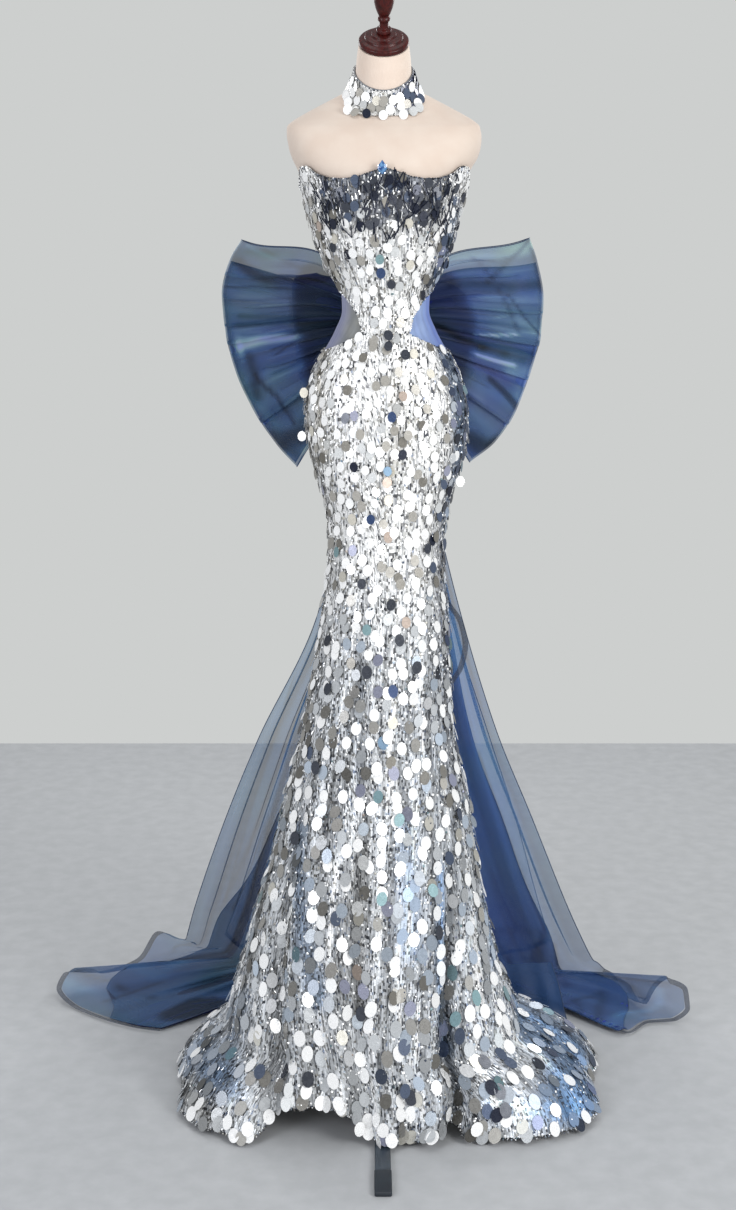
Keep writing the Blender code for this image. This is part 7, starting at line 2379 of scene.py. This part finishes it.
@dataclass
class Bow:
    """Organza bow at the back of the waist: loops, knot, two long tails and a short end.

    The gaps are the least height of a tail and of the layers inside it above the floor; gathers and
    flutes are counted across a loop, creases and wrinkles round the knot.
    """

    finishes: Wardrobe
    hem_radius: float = 0.0008
    tail_rows: int = 112
    layer_rows: int = 120
    floor_gap: float = 0.003
    layer_gap: float = 0.0036
    gathers: float = 3.5
    flutes: float = 2.0
    knot_creases: float = 4.0
    knot_wrinkles: float = 11.0

    @staticmethod
    def cloth(name: str, points: Array, tint: Optional[Array], finish: Finish, *nodes: str
              ) -> bpy.types.Object:
        """One thin layer of organza on a grid of points; white where it has no tints."""
        tint = np.ones(points.shape[:2] + (4,)) if tint is None else tint
        skin = Skin(points.reshape(-1, 3), [quads(*points.shape[:2])], None, arc_map(points), tint)
        return settle(skin.piece(name, finish), Slot.ORGANZA, *nodes)

    def hem(self, name: str, path: Array) -> bpy.types.Object:
        """Thin rolled hem along an edge."""
        return settle(hem_tube(path, self.hem_radius).piece(name, self.finishes.hem), Slot.ORGANZA)

    def braid(self, name: str, band: Array) -> bpy.types.Object:
        """Stiff braid with its middle face on a band of points."""
        half = grid_normals(band) * 0.5 * BRAID_WALL
        skin = wall_skin(band + half, band - half, arc_map(band))
        item = skin.piece("stiff_" + name, self.finishes.braid, self.finishes.braid)
        return settle(item, Slot.BRAID, "braid_" + name)

    def loop(self, plan: LoopPlan, across: Array, trip: Array) -> Array:
        """Middle face of a loop: a band that leaves the knot, turns over at its reach and comes back.

        Its reach follows a cosine of the round trip, its two layers part by a sine of it, and gathers
        at the knot and soft flutes further out wave it forwards and back.

        Args:
            plan: The loop's sizes.
            across: Shares from its upper to its lower edge.
            trip: Shares of the way out and back.

        Returns:
            Points.
        """
        share = plan.first + (plan.last - plan.first) * across
        size = plan.table.at(share)
        out = plan.reach * (0.5 - 0.5 * np.cos(math.tau * trip))
        start_x = KNOT_HALF_SIZE[0] + LOOP_START
        start_z = KNOT_CENTRE[2] + LOOP_GATHER_HALF * (1.0 - 2.0 * share)
        layer = -np.cos(math.pi * trip)
        gather = np.cos(math.tau * (self.gathers * share + 0.1)) * np.exp(-((out - 0.16) / 0.30) ** 2)
        flute = np.cos(math.tau * (self.flutes * share - 0.15)) * np.sin(math.pi * out) ** 1.2
        parted = plan.spread * np.sin(math.tau * trip) * (0.22 + 0.78 * out)
        lift = size["lift"] - plan.drop * (1.0 - across) ** 3.0
        x = plan.side * (start_x + (size["reach"] - start_x) * out)
        y = (KNOT_CENTRE[1] + (size["behind"] - KNOT_CENTRE[1]) * out + LOOP_LAYER * layer - parted
             + LOOP_GATHERS * gather + LOOP_FLUTES * flute)
        z = start_z + (size["height"] - start_z) * out + lift * 6.75 * out * (1.0 - out) ** 2
        return np.stack(np.broadcast_arrays(x, y, z), axis=-1)

    def loop_piece(self, plan: LoopPlan) -> list[bpy.types.Object]:
        """One loop with its folded pleats and the rolled hems along both its edges."""
        share = np.linspace(0.0, 1.0, plan.grid[0] + 1)[None, :]
        trip = np.linspace(0.0, 1.0, plan.grid[1] + 1)[:, None]
        out = 0.5 - 0.5 * np.cos(math.tau * trip)
        moved, step = pleated(share, out, plan.pleats)
        points = self.loop(plan, moved, trip + 0.0 * moved)
        points[..., 1] += step * np.sign(np.cos(math.pi * trip))
        tint = shaded(out + 0.0 * moved, plan.first + (plan.last - plan.first) * moved, plan.strokes,
                      LOOP_SPAN, plan.base, cast=plan.cast)
        item = self.cloth(plan.name, points, tint, plan.finish, *plan.nodes)
        hems = [self.hem(f"{plan.name}_hem_{place}", points[:, edge])
                for place, edge in (("top", 0), ("low", -1))]
        declare(item, points, Hold.GATHERED)
        return [item] + hems

    def loops(self) -> list[bpy.types.Object]:
        """Two large loops, each with a second layer and a short loop inside it."""
        pieces = []
        # The left loop's tint starts lower than the right's: painted shade on the side away from the key
        # light.
        for name, side, table, inner, pleats, strokes, base, drop in (
                ("left", -1.0, LOOP_LEFT, INNER_LEFT, LOOP_PLEATS_LEFT, LOOP_STROKES_LEFT, 0.35, 0.030),
                ("right", 1.0, LOOP_RIGHT, INNER_RIGHT, LOOP_PLEATS_RIGHT, LOOP_STROKES_RIGHT, 0.42,
                 0.0)):
            strokes = strokes + LOOP_RIMS + LOOP_GATHER_LINES
            pieces += self.loop_piece(LoopPlan(
                "organza_loop_" + name, table, side, pleats, strokes, self.finishes.organza,
                ("bow_loop_" + name,), base=base, cast=LOOP_CAST))
            pieces += self.loop_piece(LoopPlan(
                "organza_second_loop_" + name, table, side, pleats[1::2], strokes,
                self.finishes.second, (), 0.022, 0.988, 0.13, 0.99, base, LOOP_CAST, (128, 80),
                drop))
            pieces += self.loop_piece(LoopPlan(
                "organza_inner_loop_" + name, inner, side, pleats[::3], (), self.finishes.inner, (),
                0.008, grid=(80, 56)))
        return pieces

    def knot(self) -> bpy.types.Object:
        """Cloth wound on itself: rings swell at the middle and crease along the winding."""
        turn = np.linspace(0.0, math.tau, 96, endpoint=False)[None, :]
        share = np.linspace(-1.0, 1.0, 49)[:, None]
        swell = 0.56 + 0.44 * (1.0 - np.abs(share) ** 3.0) ** (1.0 / 3.0)
        crease = 1.0 - 0.045 * (0.5 + 0.5 * np.cos(self.knot_creases * turn + 1.5 * share))
        wrinkle = 0.5 + 0.5 * np.cos(self.knot_wrinkles * turn - 2.4 * share)
        crease = crease - 0.020 * wrinkle * (1.0 - share ** 2)
        x = KNOT_HALF_SIZE[0] * swell * crease * np.sin(turn)
        y = -KNOT_HALF_SIZE[1] * swell * crease * np.cos(turn)
        z = KNOT_HALF_SIZE[2] * share + 0.0 * turn
        rings = np.array(KNOT_CENTRE) + np.stack([x, y, z], axis=-1)
        uv = np.stack([turn * KNOT_HALF_SIZE[0] + 0.0 * share, z], axis=-1)
        skin = ring_skin(rings, uv)
        skin.tint = np.ones((rings.shape[0] * rings.shape[1], 4))
        item = skin.piece("organza_knot", self.finishes.wound)
        return settle(item, Slot.ORGANZA, "bow_knot")

    @staticmethod
    def lines(table: Sequence[Sequence[float]], across: Array) -> Array:
        """Lines across a hanging layer, one for each row of its table, waved by its folds."""
        lines = []
        for row in table:
            far, near = np.array(row[0:3]), np.array(row[3:6])
            behind = unit(np.cross(near - far, (0.0, 0.0, 1.0)))
            wave = np.sin(math.tau * (2.5 * across + 0.15 * np.sin(5.0 * across)))
            wave = row[6] * wave * np.sin(math.pi * across) ** 0.5
            lines.append(far + (near - far) * across[:, None] + wave[:, None] * behind)
        return np.stack(lines)

    @staticmethod
    def lengthwise(lines: Array, shares: Array) -> Array:
        """Rows along smooth curves through the lines, at shares of the way down their middle."""
        run = run_along(lines[:, lines.shape[1] // 2])
        flat = follow(run, lines.reshape(len(lines), -1), run[-1] * shares)
        return flat.reshape(len(shares), lines.shape[1], 3)

    def fan(self, table: Sequence[Sequence[float]], hem_table: Table,
            columns: int, rows: int) -> tuple[Array, Array, Array]:
        """Smooth face of a tail from the knot to the braid on its hem.

        Args:
            table: Its lines down to the floor.
            hem_table: Its hem.
            columns: Columns of the grid.
            rows: Rows of the grid.

        Returns:
            The grid, the hem's points and their directions into the cloth.
        """
        across = np.linspace(0.0, 1.0, columns + 1)
        lines = self.lines(table, across)
        hem = np.stack(list(hem_table.at(across).values()), axis=-1)
        along = unit(np.gradient(hem, axis=0))
        inward = lines[-1] - hem
        inward = unit(inward - along * np.sum(inward * along, axis=-1, keepdims=True))
        lines = np.concatenate([lines, (hem + inward * (BRAID_WIDTH + SEAM_GAP))[None]])
        return self.lengthwise(lines, np.linspace(0.0, 1.0, rows + 1)), hem, inward

    def tail(self, name: str, table: Sequence[Sequence[float]], hem_table: Table,
             pleats: Sequence[Sequence[float]], strokes: Sequence[Sequence], finish: Finish,
             columns: int = 144) -> list[bpy.types.Object]:
        """One layer of a tail and the stiff braid along its hem.

        Args:
            name: Name of the layer.
            table: Its lines down to the floor.
            hem_table: Its hem.
            pleats: Its pleats.
            strokes: Its light and shade.
            finish: Its organza.
            columns: Columns of the grid.

        Returns:
            The layer, its braid and its hems.
        """
        smooth, hem, inward = self.fan(table, hem_table, columns, self.tail_rows)
        across = np.linspace(0.0, 1.0, columns + 1)[None, :]
        shares = np.linspace(0.0, 1.0, self.tail_rows + 1)[:, None]
        moved, step = pleated(across, shares, pleats)
        cloth = resampled(smooth, moved) + resampled(grid_normals(smooth), moved) * step[..., None]
        cloth[..., 2] = np.maximum(cloth[..., 2], self.floor_gap)
        tint = shaded(shares + 0.0 * moved, moved, strokes, TAIL_SPAN, 0.85, 0.30)
        item = self.cloth("organza_" + name, cloth, tint, finish, "bow_" + name)
        width = BRAID_WIDTH * np.interp(across[0], (0.0, 0.55, 0.75, 1.0), (1.0, 1.0, 0.45, 0.3))
        trims = [self.braid(name, np.stack([hem + inward * (width * part)[:, None]
                                            for part in (1.0, 0.66, 0.33, 0.0)]))]
        trims += [self.hem(f"organza_{name}_hem_{place}", cloth[:, edge])
                  for place, edge in (("far", 0), ("near", -1))]
        declare(item, cloth, Hold.HUNG)
        return [item] + trims

    def layer(self, name: str, table: Sequence[Sequence[float]], hem_table: Table, first: Table,
              lift: float, strokes: Sequence[Sequence], finish: Finish, start: float = 0.0
              ) -> list[bpy.types.Object]:
        """A denser layer inside a tail: the same face from a wandering line across to its near edge.

        It stands off the tail's face by a small lift with ripples of its own.

        Args:
            name: The piece's name.
            table: Lines of the tail.
            hem_table: Hem of the tail.
            first: Where the layer begins across, over the share of the way down.
            lift: How far it stands off, plus or minus.
            strokes: Its light and shade.
            finish: Its organza.
            start: Share of the way down at which it begins.

        Returns:
            The layer and its hem.
        """
        rows = self.layer_rows
        first_row = int(round(start * rows))
        smooth = self.fan(table, hem_table, 160, rows)[0][first_row:]
        shares = np.linspace(0.0, 1.0, rows + 1)[first_row:, None]
        begin = first.at(shares)["first"] + 0.012 * np.sin(31.0 * shares)
        across = np.linspace(0.0, 1.0, 81)[None, :]
        share = begin + (1.0 - begin) * across
        wave = lift * (1.0 + 0.55 * np.sin(math.tau * (3.2 * across + 0.8 * shares)))
        wave = wave * (1.0 - 0.8 * ease((shares - 0.86) / 0.10))
        cloth = resampled(smooth, share) + resampled(grid_normals(smooth), share) * wave[..., None]
        cloth[..., 2] = np.maximum(cloth[..., 2], self.layer_gap)
        tint = shaded(shares + 0.0 * share, share, strokes, TAIL_SPAN, 0.90, 0.0)
        item = self.cloth(name, cloth, tint, finish)
        edge = self.hem(name + "_hem", cloth[:, 0])
        declare(item, cloth, Hold.HUNG)
        return [item, edge]

    def corner(self) -> list[bpy.types.Object]:
        """Dark lower corner of the right tail, folded forward onto the floor, with its rolled hem."""
        cloth = self.lengthwise(self.lines(CORNER_RIGHT, np.linspace(0.0, 1.0, 41)),
                                np.linspace(0.0, 1.0, 33))
        name = "organza_corner_tail_right"
        item = self.cloth(name, cloth, None, self.finishes.doubled_left)
        edge = self.hem(name + "_hem", np.concatenate([cloth[:, 0], cloth[-1, 1:]]))
        declare(item, cloth, Hold.HUNG)
        return [item, edge]

    def short_end(self) -> list[bpy.types.Object]:
        """Short end behind the right thigh, with braid along its rolled outer edge."""
        rows = 96
        cloth = self.lengthwise(self.lines(SHORT_END, np.linspace(0.0, 1.0, 33)),
                                np.linspace(0.0, 1.0, rows + 1))
        item = self.cloth("organza_short_end", cloth, None, self.finishes.sheer, "bow_short_end")
        start = int(round(SHORT_END_ROLL * rows))
        edge = cloth[start:, :1]
        outward = unit(edge - cloth[start:, 1:2])
        braid = self.braid("short_end", np.concatenate(
            [edge + outward * (SEAM_GAP + BRAID_WIDTH), edge + outward * SEAM_GAP], axis=1))
        declare(item, cloth, Hold.HUNG)
        return [item, braid]

    def build(self) -> list[bpy.types.Object]:
        """Make the whole bow."""
        dress = self.finishes
        pieces = self.loops() + [self.knot()]
        for (side, table, hem, under, under_hem, layer, strokes, floor_strokes, pleats, outer,
             cloth, lift) in (
                ("left", TAIL_LEFT, HEM_LEFT, UNDER_LEFT, HEM_UNDER_LEFT, LAYER_LEFT,
                 TAIL_STROKES_LEFT, TAIL_STROKES_LEFT, TAIL_PLEATS_LEFT, dress.train,
                 dress.doubled_left, 0.006),
                ("right", TAIL_RIGHT, HEM_RIGHT, UNDER_RIGHT, HEM_UNDER_RIGHT, LAYER_RIGHT,
                 TAIL_STROKES_RIGHT, TAIL_STROKES_RIGHT[6:], TAIL_PLEATS_RIGHT,
                 dress.train_right, dress.doubled_right, -0.006)):
            pieces += self.tail("tail_" + side, table, hem, pleats, strokes, outer)
            pieces += self.tail(f"tail_{side}_under", under, under_hem, (), (), dress.sheer, 48)
            pieces += self.layer("organza_second_tail_" + side, table, hem, layer, lift,
                                 floor_strokes, cloth)
        # Dark third layer of the left tail: partly painted shadow by the skirt.
        pieces += self.layer("organza_third_tail_left_painted_shadow", TAIL_LEFT, HEM_LEFT, SHADOW_LEFT, 0.0138, (),
                             dress.inner, SHADOW_LEFT.rows[0][0])
        return pieces + self.corner() + self.short_end()


# ------------------------------------------------------------------ studio
# Soft lights: name, place about the form's axis, height aimed at, side in metres, watts, colour.
LIGHTS = (
    ("key_front_right", (2.2, -2.3, 2.0), 1.0, 1.3, 70.0, "#ffffff"),
    ("fill_front_left", (-2.1, -2.3, 1.7), 1.0, 1.2, 40.0, "#f6f8ff"),
    ("low_front", (0.3, -3.1, 0.7), 0.6, 1.0, 16.0, "#ffffff"),
    ("top", (0.0, -0.3, 3.6), 1.0, 1.6, 14.0, "#ffffff"),
    ("back_left", (-1.6, 2.3, 2.3), 1.0, 1.2, 26.0, "#ffffff"),
    ("back_right", (1.6, 2.3, 2.3), 1.0, 1.2, 26.0, "#ffffff"),
)


@dataclass
class Studio:
    """Plain pale floor, soft lights and a standing viewer's camera."""

    finishes: Wardrobe
    floor_half: float = 2.12
    backdrop: str = "#cdcfce"
    room: str = "#d2d4d6"
    room_strength: float = 0.75
    camera_place: tuple[float, float, float] = (-0.0245, -2.884, 1.545)
    camera_pitch: float = 77.33
    lens: float = 52.45

    @staticmethod
    def light(name: str, place: tuple[float, float, float], aim: float, size: float, watts: float,
              colour: str) -> None:
        """Add a square soft light.

        Args:
            name: Its name.
            place: Where it stands, about the form's axis.
            aim: Height on that axis that it points at.
            size: Its side.
            watts: Its power.
            colour: Its colour.
        """
        lamp = bpy.data.lights.new(name, "AREA")
        lamp.size = size
        lamp.energy = watts
        lamp.color = linear(colour)[:3]
        item = bpy.data.objects.new(name, lamp)
        item.location = Vector(np.array(place) + AXIS)
        line = Vector((0.0, 0.0, aim)) - Vector(place)
        item.rotation_euler = line.to_track_quat("-Z", "Y").to_euler()
        bpy.context.scene.collection.objects.link(item)

    def build(self) -> None:
        """Set the floor, the lights, the world and the camera."""
        scene = bpy.context.scene
        scene.view_settings.view_transform = "Standard"
        half = self.floor_half
        corners = np.array([(-half, -half, 0.0), (half, -half, 0.0), (half, half, 0.0),
                            (-half, half, 0.0)])
        Skin(corners, [np.array([[0, 1, 2, 3]])]).piece(
            "studio_floor", self.finishes.floor, smooth=False)
        world = bpy.data.worlds.new("pale_room")
        scene.world = world
        world.use_nodes = True
        tree = world.node_tree
        ground = tree.nodes["Background"]
        ground.inputs["Color"].default_value = linear(self.room)
        ground.inputs["Strength"].default_value = self.room_strength
        seen = add(tree, "ShaderNodeBackground",
                   sockets={"Color": linear(self.backdrop), "Strength": 1.0})
        path = add(tree, "ShaderNodeLightPath")
        mix = add(tree, "ShaderNodeMixShader", links={
            "Fac": path.outputs["Is Camera Ray"], 1: ground.outputs[0], 2: seen.outputs[0]})
        tree.links.new(mix.outputs[0], tree.nodes["World Output"].inputs["Surface"])
        for row in LIGHTS:
            self.light(*row)
        lens = bpy.data.cameras.new("viewer")
        lens.lens = self.lens
        camera = bpy.data.objects.new("viewer", lens)
        camera.location = Vector(np.array(self.camera_place) + AXIS)
        camera.rotation_euler = (math.radians(self.camera_pitch), 0.0, 0.0)
        scene.collection.objects.link(camera)
        scene.camera = camera


def main() -> None:
    """Build every assembly in order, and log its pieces."""
    logging.basicConfig(level=logging.INFO, format="%(name)s: %(message)s")
    finishes = Wardrobe()
    for part in (DressForm(finishes), Stand(finishes), Gown(finishes), Embroidery(finishes),
                 Choker(finishes), Jewel(finishes), Zip(finishes), Bow(finishes)):
        for item in part.build():
            LOG.info("%s %s: %d faces", type(part).__name__, item.name, len(item.data.polygons))
    Studio(finishes).build()


if __name__ == "__main__":
    main()
